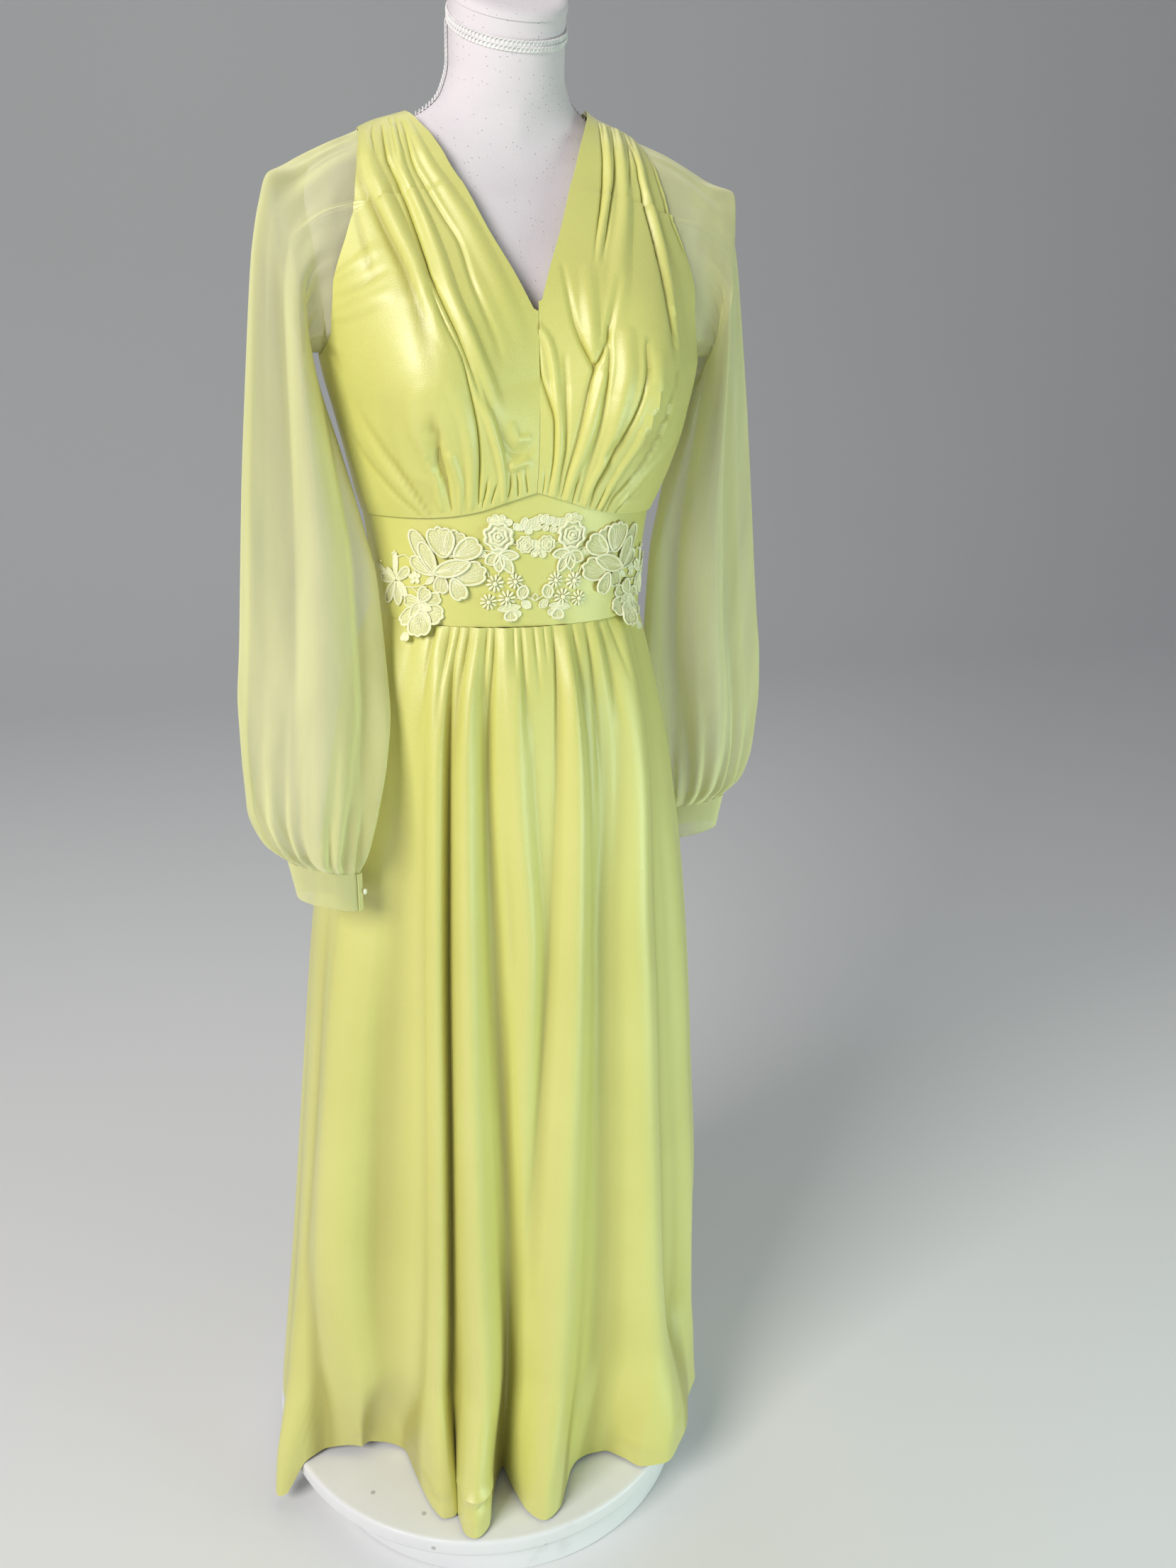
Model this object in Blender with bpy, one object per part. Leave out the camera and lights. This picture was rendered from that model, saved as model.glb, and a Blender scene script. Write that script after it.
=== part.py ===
"""Maxi dress with chiffon bishop sleeves on a limbless dress form.

Metres, +Z up, the front of the dress towards -Y, the wearer's left towards +X.
The origin is the centre of the stand's underside, on the floor.
"""

import math
from collections import namedtuple

import bmesh
import bpy
import numpy as np
from mathutils import Vector

GAP = 0.0003
SATIN_WALL = 0.0015
CHIFFON_WALL = 0.0010
CUFF_WALL = 0.0018
LACE_WALL = 0.0016
BRAID_WALL = 0.0018

BODY_X = 0.0075
SKIRT_X = 0.003
EASE = 0.004
SHOULDER_EASE = 0.0006
SHOULDER_LIFT = 0.0016
SHOULDER_SHARE = 0.80
SHOULDER_SEAM_Y = -0.0155

FORM_BOTTOM_Z = 0.80
NECK_TOP_Z = 1.497
NECK_BRAID_Z = (1.4755, 1.4845)
SIDE_BRAID_Z = (1.422, 1.430, 1.455, 1.4735)
WAIST_Z = 1.012
SIDE_BAND_TOP_Z = 1.098
PEAK_Z = 1.126
V_POINT_Z = 1.260
UNDERARM_Z = 1.228
NECK_SEAM_Z = 1.4135
BACK_RISE_Z = 1.462

LOWER_DISC_RADIUS = 0.218
LOWER_DISC_TOP = 0.036
UPPER_DISC_RADIUS = 0.243
UPPER_DISC_TOP = 0.0575
UPPER_DISC_CENTRE = (-0.009, 0.018)
POLE_RADIUS = 0.015
COLLAR_RADIUS = 0.040
COLLAR_HEIGHT = 0.012

CUFF_HEIGHT = 0.036
CUFF_HALF_DEPTH = 0.0150
CUFF_LAP = 0.07
BUTTON_RADIUS = 0.0028

FRONT_GATHERS = 15
GATHER_START = -50.0
GATHER_END = 45.0
SIDE_COLUMNS_RIGHT = (-90, -84, -78, -74, -71.5, -69, -66.5, -64, -59)
UNDERBUST_GATHERS = 10
SHOULDER_FOLDS = 5
SLEEVE_GATHERS = 10
SLEEVE_COLUMNS = 30
ARMHOLE_SEAM = 0.0007

BodyRow = namedtuple("BodyRow", "z half_width front back centre_y tilt squareness")
BODY = [
    BodyRow(0.800, 0.126, 0.078, 0.092, -0.012, 0.0, 2.2),
    BodyRow(0.830, 0.141, 0.087, 0.103, -0.012, 0.0, 2.2),
    BodyRow(0.880, 0.145, 0.093, 0.107, -0.014, 0.0, 2.2),
    BodyRow(0.950, 0.132, 0.094, 0.098, -0.016, 0.0, 2.2),
    BodyRow(1.012, 0.1195, 0.100, 0.080, -0.017, 0.0, 2.2),
    BodyRow(1.060, 0.1205, 0.1035, 0.080, -0.017, 0.0, 2.2),
    BodyRow(1.110, 0.1265, 0.1035, 0.083, -0.017, 0.0, 2.2),
    BodyRow(1.170, 0.138, 0.100, 0.088, -0.017, 0.0, 2.2),
    BodyRow(1.220, 0.150, 0.097, 0.090, -0.017, 0.0, 2.2),
    BodyRow(1.270, 0.157, 0.096, 0.092, -0.017, 0.0, 2.2),
    BodyRow(1.320, 0.165, 0.077, 0.092, -0.017, 0.0, 2.1),
    BodyRow(1.350, 0.170, 0.063, 0.086, -0.017, 0.0, 2.0),
    BodyRow(1.372, 0.166, 0.052, 0.072, -0.016, 0.0, 1.9),
    BodyRow(1.388, 0.142, 0.048, 0.060, -0.015, 0.0, 1.6),
    BodyRow(1.400, 0.112, 0.046, 0.054, -0.015, 0.0, 1.4),
    BodyRow(1.412, 0.0755, 0.046, 0.052, -0.015, 0.0, 1.5),
    BodyRow(1.428, 0.0530, 0.046, 0.052, -0.017, 0.12, 1.9),
    BodyRow(1.450, 0.0465, 0.046, 0.050, -0.019, 0.30, 2.1),
    BodyRow(1.480, 0.0465, 0.046, 0.049, -0.020, 0.50, 2.1),
    BodyRow(1.497, 0.0475, 0.047, 0.050, -0.020, 0.50, 2.1),
]

FormRow = namedtuple("FormRow", "z out drop")
FORM_FIT = [
    FormRow(0.800, -0.010, 0.0),
    FormRow(0.812, -0.002, 0.0),
    FormRow(0.985, -0.006, 0.0),
    FormRow(1.012, -0.001, 0.0),
    FormRow(1.050, 0.0018, 0.0),
    FormRow(1.110, 0.0006, 0.0),
    FormRow(1.220, 0.0, 0.0),
    FormRow(1.350, -0.004, 0.0030),
    FormRow(1.380, -0.004, 0.0050),
    FormRow(1.403, -0.001, 0.0035),
    FormRow(1.414, 0.0, 0.0025),
    FormRow(1.431, 0.0, 0.0),
    FormRow(1.497, 0.0, 0.0),
]

BustRow = namedtuple("BustRow", "angle z angle_spread z_spread height")
BUST = BustRow(30.0, 1.212, 17.0, 0.040, 0.034)

BandTopRow = namedtuple("BandTopRow", "angle rise")
BAND_TOP = [
    BandTopRow(0, 0.028),
    BandTopRow(10, 0.020),
    BandTopRow(20, 0.0125),
    BandTopRow(35, 0.007),
    BandTopRow(60, 0.0035),
    BandTopRow(90, 0.0),
    BandTopRow(180, 0.0),
]

ShoulderRow = namedtuple("ShoulderRow", "neck_x end_x end_z")
SHOULDERS = {
    -1: ShoulderRow(0.083, 0.121, 1.3965),
    1: ShoulderRow(0.066, 0.109, 1.4000),
}

NecklineRow = namedtuple("NecklineRow", "z right left")
NECKLINE = [
    NecklineRow(1.2600, 0.0000, 0.0000),
    NecklineRow(1.2750, 0.0090, 0.0040),
    NecklineRow(1.2940, 0.0190, 0.0110),
    NecklineRow(1.3220, 0.0340, 0.0235),
    NecklineRow(1.3510, 0.0475, 0.0355),
    NecklineRow(1.3700, 0.0580, 0.0430),
    NecklineRow(1.4135, 0.0800, 0.0610),
]

ArmholeRow = namedtuple("ArmholeRow", "z right left")
ARMHOLE_SHARE = 0.45
ARMHOLE = [
    ArmholeRow(1.245, 0.1500, 0.1500),
    ArmholeRow(1.280, 0.1490, 0.1490),
    ArmholeRow(1.320, 0.1390, 0.1385),
    ArmholeRow(1.360, 0.1280, 0.1225),
    ArmholeRow(1.385, 0.1240, 0.1120),
    ArmholeRow(1.400, 0.1200, 0.1090),
]

FanRow = namedtuple("FanRow", "z reach")
FAN_EDGE = [
    FanRow(1.100, 0.080),
    FanRow(1.200, 0.076),
    FanRow(1.270, 0.080),
    FanRow(1.320, 0.094),
    FanRow(1.360, 0.108),
    FanRow(1.385, 0.113),
    FanRow(1.400, 0.113),
]

BlouseRow = namedtuple("BlouseRow", "z right left")
BLOUSE = [
    BlouseRow(1.098, 0.000, 0.000),
    BlouseRow(1.112, 0.001, 0.003),
    BlouseRow(1.140, 0.002, 0.009),
    BlouseRow(1.180, 0.003, 0.014),
    BlouseRow(1.225, 0.003, 0.013),
    BlouseRow(1.270, 0.002, 0.006),
    BlouseRow(1.330, 0.001, 0.001),
]

SkirtRow = namedtuple("SkirtRow", "z right left front back centre_y")
SKIRT = [
    SkirtRow(0.000, 0.250, 0.2255, 0.147, 0.190, 0.008),
    SkirtRow(0.060, 0.248, 0.2265, 0.147, 0.190, 0.008),
    SkirtRow(0.150, 0.2395, 0.2320, 0.146, 0.187, 0.005),
    SkirtRow(0.300, 0.2235, 0.2310, 0.144, 0.180, 0.000),
    SkirtRow(0.500, 0.2045, 0.2150, 0.140, 0.168, -0.005),
    SkirtRow(0.700, 0.1850, 0.1940, 0.135, 0.150, -0.010),
    SkirtRow(0.850, 0.1635, 0.1690, 0.128, 0.132, -0.015),
    SkirtRow(0.950, 0.1435, 0.145, 0.117, 0.108, -0.017),
    SkirtRow(1.013, 0.1185, 0.1270, 0.1035, 0.084, -0.017),
]

SKIRT_ROWS_Z = [1.0, 0.985, 0.955, 0.90, 0.82, 0.70, 0.56, 0.42, 0.29, 0.18, 0.11]

FoldRow = namedtuple("FoldRow", "z angle half_width height")
FRONT_FOLDS = {
    "side_panel": [
        FoldRow(0.06, -46, 17, -0.020), FoldRow(0.20, -47, 16, 0.004), FoldRow(0.36, -50, 18, 0.006),
        FoldRow(0.70, -53, 18, 0.004), FoldRow(0.90, -56, 18, 0.001)],
    "trailing_corner": [
        FoldRow(0.02, -69, 8.0, 0.042), FoldRow(0.07, -69, 8.0, 0.038), FoldRow(0.17, -73, 11, 0.014),
        FoldRow(0.36, -78, 12, 0.003),
        FoldRow(0.60, -80, 10, 0.0)],
    "inner_hollow": [
        FoldRow(0.06, -33, 9, -0.022), FoldRow(0.20, -34, 8, -0.004), FoldRow(0.36, -36, 8, -0.006),
        FoldRow(0.70, -39, 8, -0.005), FoldRow(0.90, -43, 8, -0.002)],
    "narrow_fold": [
        FoldRow(0.06, -22.5, 6.0, 0.056), FoldRow(0.20, -23.4, 5.0, 0.014), FoldRow(0.36, -24.3, 4.5, 0.010),
        FoldRow(0.70, -27.5, 4.5, 0.008), FoldRow(0.91, -31.5, 4.5, 0.006), FoldRow(1.0, -33.0, 4.0, 0.002)],
    "front_fold": [
        FoldRow(0.06, -15.2, 6.2, 0.074), FoldRow(0.20, -12.6, 7.0, 0.026), FoldRow(0.36, -14.5, 6.5, 0.018),
        FoldRow(0.70, -18.5, 5.5, 0.013), FoldRow(0.91, -21.6, 5.0, 0.008), FoldRow(1.0, -22.5, 4.0, 0.002)],
    "deep_valley": [
        FoldRow(0.06, -5.6, 4.0, -0.004), FoldRow(0.20, -5.2, 3.6, -0.012), FoldRow(0.36, -5.6, 4.6, -0.010),
        FoldRow(0.70, -10.7, 4.5, -0.007), FoldRow(0.91, -15.1, 3.5, -0.005), FoldRow(1.0, -16.0, 3.0, 0.0)],
    "fading_fold": [
        FoldRow(0.34, -2.0, 4.0, 0.0), FoldRow(0.50, -2.0, 4.5, 0.004), FoldRow(0.70, -1.5, 5.0, 0.008),
        FoldRow(0.91, -6.0, 6.0, 0.006), FoldRow(1.0, -6.5, 4.0, 0.002)],
    "middle_fold": [
        FoldRow(0.06, 2.2, 7.6, 0.068), FoldRow(0.20, 5.6, 9.5, 0.026), FoldRow(0.36, 7.3, 9.0, 0.020),
        FoldRow(0.70, 11.0, 7.0, 0.014), FoldRow(0.91, 13.0, 6.0, 0.009), FoldRow(1.0, 13.0, 4.0, 0.002)],
    "shaded_step": [
        FoldRow(0.06, 15.0, 7.0, 0.010), FoldRow(0.20, 19.0, 4.0, -0.006), FoldRow(0.36, 19.5, 4.0, -0.006),
        FoldRow(0.70, 20.0, 3.5, -0.005), FoldRow(0.91, 24.5, 4.5, -0.003), FoldRow(1.0, 25.0, 3.0, 0.0)],
    "left_fold": [
        FoldRow(0.06, 38.0, 19.0, 0.070), FoldRow(0.20, 35.0, 13.0, 0.028), FoldRow(0.36, 33.0, 11.0, 0.020),
        FoldRow(0.70, 33.0, 10.5, 0.014), FoldRow(0.91, 38.5, 9.0, 0.007), FoldRow(1.0, 39.0, 5.0, 0.002)],
    "left_side_fold": [
        FoldRow(0.06, 62.0, 9.0, 0.030), FoldRow(0.20, 60.0, 9.0, 0.010), FoldRow(0.36, 58.0, 9.0, 0.006),
        FoldRow(0.70, 58.0, 9.0, 0.003), FoldRow(0.91, 58.0, 8.0, 0.0)],
}

HemRow = namedtuple("HemRow", "angle z")
FRONT_HEM = [
    HemRow(-90, 0.062), HemRow(-78, 0.062), HemRow(-74.5, 0.061), HemRow(-72, 0.026), HemRow(-70, 0.018),
    HemRow(-68, 0.020), HemRow(-66.5, 0.030), HemRow(-64, 0.0615), HemRow(-46, 0.072), HemRow(-32, 0.070),
    HemRow(-26, 0.064), HemRow(-14, 0.0605), HemRow(-5, 0.066), HemRow(2, 0.0605), HemRow(14, 0.064),
    HemRow(24, 0.063), HemRow(36, 0.0605), HemRow(48, 0.061), HemRow(55, 0.066), HemRow(62, 0.064),
    HemRow(72, 0.078), HemRow(90, 0.070),
]

BACK_FOLDS = 4
BACK_FOLD_HEIGHT = 0.010

SleeveRow = namedtuple(
    "SleeveRow", "outer_x outer_z inner_x inner_z centre_y half_depth twist fold gather blend")
SLEEVE_RIGHT = [
    SleeveRow(0.1500, 1.3830, 0.1655, 1.243, -0.016, 0.054, 0.0, 0.000, 0.0015, 0.35),
    SleeveRow(0.1780, 1.3710, 0.1680, 1.224, -0.016, 0.055, 0.0, 0.001, 0.0010, 0.75),
    SleeveRow(0.1940, 1.3620, 0.1650, 1.203, -0.016, 0.055, 0.0, 0.002, 0.0, 1.0),
    SleeveRow(0.2025, 1.3400, 0.1600, 1.188, -0.018, 0.054, 0.0, 0.002, 0.0, 1.0),
    SleeveRow(0.2095, 1.3050, 0.1530, 1.165, -0.021, 0.052, 0.0, 0.003, 0.0, 1.0),
    SleeveRow(0.2215, 1.1900, 0.1370, 1.090, -0.034, 0.048, 0.005, 0.004, 0.0, 1.0),
    SleeveRow(0.2280, 1.1250, 0.1300, 1.045, -0.043, 0.047, 0.010, 0.004, 0.0, 1.0),
    SleeveRow(0.2395, 0.9950, 0.1290, 0.950, -0.068, 0.047, 0.020, 0.004, 0.0, 1.0),
    SleeveRow(0.2455, 0.9400, 0.1340, 0.905, -0.081, 0.047, 0.022, 0.004, 0.0005, 1.0),
    SleeveRow(0.2480, 0.8950, 0.1400, 0.870, -0.093, 0.044, 0.020, 0.003, 0.0010, 1.0),
    SleeveRow(0.2465, 0.8560, 0.1470, 0.840, -0.101, 0.038, 0.018, 0.002, 0.0020, 1.0),
    SleeveRow(0.2380, 0.8220, 0.1545, 0.816, -0.107, 0.028, 0.012, 0.001, 0.0026, 1.0),
    SleeveRow(0.2225, 0.8030, 0.1580, 0.803, -0.110, 0.0155, 0.008, 0.0, 0.0008, 1.0),
]
SLEEVE_LEFT = [
    SleeveRow(0.1460, 1.3850, 0.1735, 1.2445, -0.016, 0.054, 0.0, 0.000, 0.0015, 0.35),
    SleeveRow(0.1775, 1.3720, 0.1770, 1.2245, -0.016, 0.055, 0.0, 0.001, 0.0010, 0.75),
    SleeveRow(0.1965, 1.3640, 0.1735, 1.203, -0.016, 0.055, 0.0, 0.002, 0.0, 1.0),
    SleeveRow(0.1975, 1.3400, 0.1720, 1.188, -0.015, 0.054, 0.0, 0.002, 0.0, 1.0),
    SleeveRow(0.2040, 1.3080, 0.1690, 1.165, -0.013, 0.052, 0.0, 0.003, 0.0, 1.0),
    SleeveRow(0.2240, 1.1900, 0.1570, 1.090, -0.004, 0.048, 0.0, 0.004, 0.0, 1.0),
    SleeveRow(0.2355, 1.1200, 0.1530, 1.045, 0.003, 0.047, 0.0, 0.004, 0.0, 1.0),
    SleeveRow(0.2565, 0.9950, 0.1560, 0.950, 0.017, 0.047, 0.0, 0.004, 0.0, 1.0),
    SleeveRow(0.2680, 0.9350, 0.1640, 0.900, 0.024, 0.047, 0.0, 0.004, 0.0005, 1.0),
    SleeveRow(0.2755, 0.8800, 0.1720, 0.855, 0.030, 0.044, 0.0, 0.003, 0.0010, 1.0),
    SleeveRow(0.2770, 0.8350, 0.1800, 0.815, 0.034, 0.038, 0.0, 0.002, 0.0020, 1.0),
    SleeveRow(0.2720, 0.7950, 0.1870, 0.788, 0.037, 0.028, 0.0, 0.001, 0.0026, 1.0),
    SleeveRow(0.2565, 0.7700, 0.1910, 0.770, 0.038, 0.0155, 0.0, 0.0, 0.0008, 1.0),
]

Petals = namedtuple("Petals", "along height count inner outer width turn")
Leaf = namedtuple("Leaf", "along height length width turn")
LACE_FLOWERS = [
    Petals(0.073, 1.074, 7, 0.004, 0.031, 0.0115, 12),
    Petals(0.124, 1.052, 6, 0.002, 0.023, 0.0055, 20),
    Petals(0.097, 1.020, 5, 0.003, 0.020, 0.0095, 50),
    Petals(0.033, 1.0905, 8, 0.006, 0.0135, 0.0062, 0),
    Petals(0.0135, 1.084, 6, 0.004, 0.0095, 0.0050, 10),
    Petals(0.036, 1.0525, 8, 0.002, 0.0080, 0.0034, 0),
    Petals(0.021, 1.0535, 8, 0.002, 0.0075, 0.0034, 0),
    Petals(0.027, 1.039, 8, 0.002, 0.0080, 0.0034, 20),
    Petals(0.042, 1.036, 8, 0.002, 0.0075, 0.0034, 0),
    Petals(0.104, 1.054, 4, 0.002, 0.0080, 0.0038, 45),
]
LACE_LEAVES = [
    Leaf(0.030, 1.069, 0.017, 0.007, 250),
    Leaf(0.038, 1.071, 0.017, 0.007, 290),
    Leaf(0.022, 1.073, 0.014, 0.006, 215),
    Leaf(0.048, 1.078, 0.020, 0.008, 0),
    Leaf(0.058, 1.048, 0.022, 0.010, 285),
    Leaf(0.050, 1.058, 0.022, 0.010, 235),
    Leaf(0.056, 1.040, 0.022, 0.004, 170),
    Leaf(0.012, 1.044, 0.016, 0.009, 90),
    Leaf(0.020, 1.030, 0.014, 0.008, 260),
    Leaf(0.033, 1.030, 0.014, 0.007, 200),
    Leaf(0.140, 1.062, 0.022, 0.0035, 25),
    Leaf(0.122, 1.070, 0.018, 0.0035, 90),
    Leaf(0.110, 1.046, 0.030, 0.004, 200),
    Leaf(0.096, 1.038, 0.024, 0.004, 90),
    Leaf(0.105, 1.006, 0.014, 0.004, 260),
    Leaf(0.026, 1.103, 0.016, 0.007, 20),
    Leaf(0.038, 1.105, 0.016, 0.007, 160),
    Leaf(0.085, 1.048, 0.020, 0.004, 200),
]
GARLAND_LEAVES = [
    Leaf(-0.014, 1.101, 0.013, 0.0060, 200),
    Leaf(-0.012, 1.108, 0.012, 0.0055, 130),
    Leaf(-0.006, 1.105, 0.013, 0.0060, 60),
    Leaf(-0.004, 1.099, 0.012, 0.0055, 300),
    Leaf(0.003, 1.107, 0.013, 0.0060, 120),
    Leaf(0.006, 1.102, 0.013, 0.0060, 30),
    Leaf(0.013, 1.106, 0.012, 0.0055, 160),
    Leaf(0.013, 1.100, 0.012, 0.0055, 320),
]
LACE_CELL = 0.0018
LACE_TOLERANCE = 0.0012
LACE_FUSING = 0.0010
LACE_STRIP = 0.011
LACE_STANDOFF = 0.0006

Finish = namedtuple("Finish", "colour roughness")
SATIN = Finish((0.70, 0.72, 0.17), 0.38)
CHIFFON = Finish((0.72, 0.76, 0.34), 0.60)
LACE = Finish((0.76, 0.77, 0.36), 0.70)
JERSEY = Finish((0.75, 0.73, 0.76), 0.85)
GIMP = Finish((0.82, 0.81, 0.80), 0.70)
PAINT = Finish((0.80, 0.81, 0.82), 0.45)
PEARL = Finish((0.82, 0.83, 0.72), 0.25)


class Track:
    """A smooth monotone curve through the named values of a table."""

    def __init__(self, xs, ys):
        order = np.argsort(xs)
        self.xs = np.array(xs, float)[order]
        self.ys = np.array(ys, float)[order]
        steps = np.diff(self.xs)
        slopes = np.diff(self.ys) / steps
        self.tangents = np.zeros(len(self.xs))
        for i in range(1, len(self.xs) - 1):
            before, after = slopes[i - 1], slopes[i]
            if before * after > 0:
                weight_a = 2 * steps[i] + steps[i - 1]
                weight_b = steps[i] + 2 * steps[i - 1]
                self.tangents[i] = (weight_a + weight_b) / (weight_a / before + weight_b / after)
        self.tangents[0] = slopes[0]
        self.tangents[-1] = slopes[-1]

    def __call__(self, x):
        x = min(max(x, self.xs[0]), self.xs[-1])
        i = min(max(int(np.searchsorted(self.xs, x)) - 1, 0), len(self.xs) - 2)
        step = self.xs[i + 1] - self.xs[i]
        t = (x - self.xs[i]) / step
        near = (1 + 2 * t) * (1 - t) ** 2 * self.ys[i] + t * (1 - t) ** 2 * step * self.tangents[i]
        far = t * t * (3 - 2 * t) * self.ys[i + 1] + t * t * (t - 1) * step * self.tangents[i + 1]
        return float(near + far)


def table_tracks(rows, key="z"):
    """A Track for each other column of a table, by the column's name."""
    keys = [getattr(row, key) for row in rows]
    return {
        name: Track(keys, [getattr(row, name) for row in rows])
        for name in rows[0]._fields if name != key
    }


def blend(a, b, t):
    return a + (b - a) * t


def ease_in_out(t):
    t = min(max(t, 0.0), 1.0)
    return t * t * (3 - 2 * t)


def signed_power(value, power):
    return math.copysign(abs(value) ** power, value)


BODY_TRACKS = table_tracks(BODY)
FORM_TRACKS = table_tracks(FORM_FIT)
SKIRT_TRACKS = table_tracks(SKIRT)
BAND_TOP_TRACK = Track([r.angle for r in BAND_TOP], [r.rise for r in BAND_TOP])
ARMHOLE_TRACKS = table_tracks(ARMHOLE)
NECKLINE_TRACKS = table_tracks(NECKLINE)
FAN_TRACK = Track([r.z for r in FAN_EDGE], [r.reach for r in FAN_EDGE])
BLOUSE_TRACKS = table_tracks(BLOUSE)
HEM_TRACK = Track([r.angle for r in FRONT_HEM], [r.z for r in FRONT_HEM])
FOLD_TRACKS = {name: table_tracks(rows) for name, rows in FRONT_FOLDS.items()}


def bust_swell(angle, z):
    across = (abs(angle) - BUST.angle) / BUST.angle_spread
    spread = BUST.z_spread * (1.25 if z > BUST.z else 1.0)
    along = (z - BUST.z) / spread
    return BUST.height * math.exp(-0.5 * (across * across + along * along))


def body_point(angle, z, out=0.0):
    """A point of the figure at an angle from the front, moved out from it."""
    half_width = BODY_TRACKS["half_width"](z)
    turn = math.radians(angle)
    facing = math.cos(turn)
    depth = BODY_TRACKS["front"](z) if facing > 0 else BODY_TRACKS["back"](z)
    squareness = BODY_TRACKS["squareness"](z)
    power = 2 / squareness
    x = half_width * signed_power(math.sin(turn), power)
    y = -depth * signed_power(facing, power)
    nx = signed_power(x / half_width, squareness - 1) / half_width
    ny = signed_power(y / depth, squareness - 1) / depth
    length = math.hypot(nx, ny)
    swell = bust_swell(angle, z)
    x += out * nx / length + 0.25 * swell * max(-1.0, min(1.0, angle / 15))
    y += out * ny / length - swell
    return Vector((BODY_X + x, BODY_TRACKS["centre_y"](z) + y, z))


def angle_at(reach, z, out):
    """The angle at which the figure's front is this far out from its middle."""
    ratio = min(reach / (BODY_TRACKS["half_width"](z) + out), 1.0)
    return math.degrees(math.asin(ratio ** (BODY_TRACKS["squareness"](z) / 2)))


def band_top(angle):
    return SIDE_BAND_TOP_Z + BAND_TOP_TRACK(abs(angle))


def side_word(side):
    return "left" if side > 0 else "right"


def armhole_angle(side, z):
    """How far round from the front the armhole's front edge lies at a height."""
    if z <= UNDERARM_Z:
        return 90.0
    lowest = ARMHOLE[0].z
    held = max(z, lowest)
    edge = angle_at(ARMHOLE_TRACKS[side_word(side)](held), held, EASE)
    if z < lowest:
        t = (z - UNDERARM_Z) / (lowest - UNDERARM_Z)
        return blend(90.0, edge, math.sqrt(max(t, 0.0)))
    return edge


def grid_normals(points, closed):
    """Unit normals of a grid of points, rows by columns."""
    if closed:
        across = np.roll(points, -1, axis=1) - np.roll(points, 1, axis=1)
    else:
        across = np.gradient(points, axis=1)
    along = np.gradient(points, axis=0)
    normals = np.cross(across, along)
    lengths = np.linalg.norm(normals, axis=2, keepdims=True)
    return normals / np.maximum(lengths, 1e-12)


def material_for(name, finish):
    material = bpy.data.materials.new(name)
    material.use_nodes = True
    shader = material.node_tree.nodes["Principled BSDF"]
    shader.inputs["Base Color"].default_value = (*finish.colour, 1.0)
    shader.inputs["Roughness"].default_value = finish.roughness
    shader.inputs["Metallic"].default_value = 0.0
    return material


def add_object(name, vertices, faces, finish):
    mesh = bpy.data.meshes.new(name)
    mesh.from_pydata([tuple(v) for v in vertices], [], faces)
    work = bmesh.new()
    work.from_mesh(mesh)
    bmesh.ops.recalc_face_normals(work, faces=work.faces[:])
    work.to_mesh(mesh)
    work.free()
    mesh.materials.append(material_for(name + "_finish", finish))
    mesh.shade_smooth()
    mesh.set_sharp_from_angle(angle=math.radians(50))
    placed = bpy.data.objects.new(name, mesh)
    bpy.context.scene.collection.objects.link(placed)
    return placed


def square_edges(normals, seams):
    """Normals turned so that each named edge of the wall stands square to its seam's axis."""
    places = {"bottom": (0, slice(None)), "top": (-1, slice(None)),
              "start": (slice(None), 0), "end": (slice(None), -1)}
    for edge, axis in seams.items():
        chosen = normals[places[edge]]
        chosen[:, axis] = 0.0
        chosen /= np.maximum(np.linalg.norm(chosen, axis=1, keepdims=True), 1e-12)
        normals[places[edge]] = chosen
    return normals


def wall_normals(inside, closed, flip, seams):
    normals = grid_normals(inside, closed)
    return square_edges(-normals if flip else normals, seams or {})


def add_wall(name, inside, wall, finish, closed=False, flip=False, seams=None):
    """A cloth wall: the grid is its inner face, the outer one is moved out by the wall."""
    inside = np.array(inside, float)
    normals = wall_normals(inside, closed, flip, seams)
    outside = inside + normals * wall
    rows, columns = inside.shape[:2]
    vertices = list(inside.reshape(-1, 3)) + list(outside.reshape(-1, 3))
    count = rows * columns
    faces = []

    def index(row, column, layer):
        return layer * count + row * columns + column % columns

    last = columns if closed else columns - 1
    for r in range(rows - 1):
        for c in range(last):
            a, b = index(r, c, 0), index(r, c + 1, 0)
            d, e = index(r + 1, c, 0), index(r + 1, c + 1, 0)
            faces += [(a, b, e), (a, e, d)]
            faces += [(a + count, e + count, b + count), (a + count, d + count, e + count)]
    for c in range(last):
        for r in (0, rows - 1):
            a, b = index(r, c, 0), index(r, c + 1, 0)
            faces.append((a, b, b + count, a + count))
    if not closed:
        for r in range(rows - 1):
            for c in (0, columns - 1):
                a, b = index(r, c, 0), index(r + 1, c, 0)
                faces.append((a, b, b + count, a + count))
    return add_object(name, vertices, faces, finish)


def add_stack(name, rings, finish):
    """A closed solid through rings of points, with a flat face at each end."""
    columns = len(rings[0])
    vertices = [point for ring in rings for point in ring]
    faces = []
    for r in range(len(rings) - 1):
        for c in range(columns):
            a, b = r * columns + c, r * columns + (c + 1) % columns
            faces.append((a, b, b + columns, a + columns))
    faces.append(tuple(range(columns)))
    top = (len(rings) - 1) * columns
    faces.append(tuple(range(top, top + columns)))
    return add_object(name, vertices, faces, finish)


def add_turned(name, profile, centre, segments, finish):
    """A round piece from (radius, z) rows, turned about a vertical line."""
    rings = []
    for radius, z in profile:
        rings.append([
            Vector((centre[0] + radius * math.cos(a), centre[1] + radius * math.sin(a), z))
            for a in (2 * math.pi * k / segments for k in range(segments))
        ])
    return add_stack(name, rings, finish)


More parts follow.
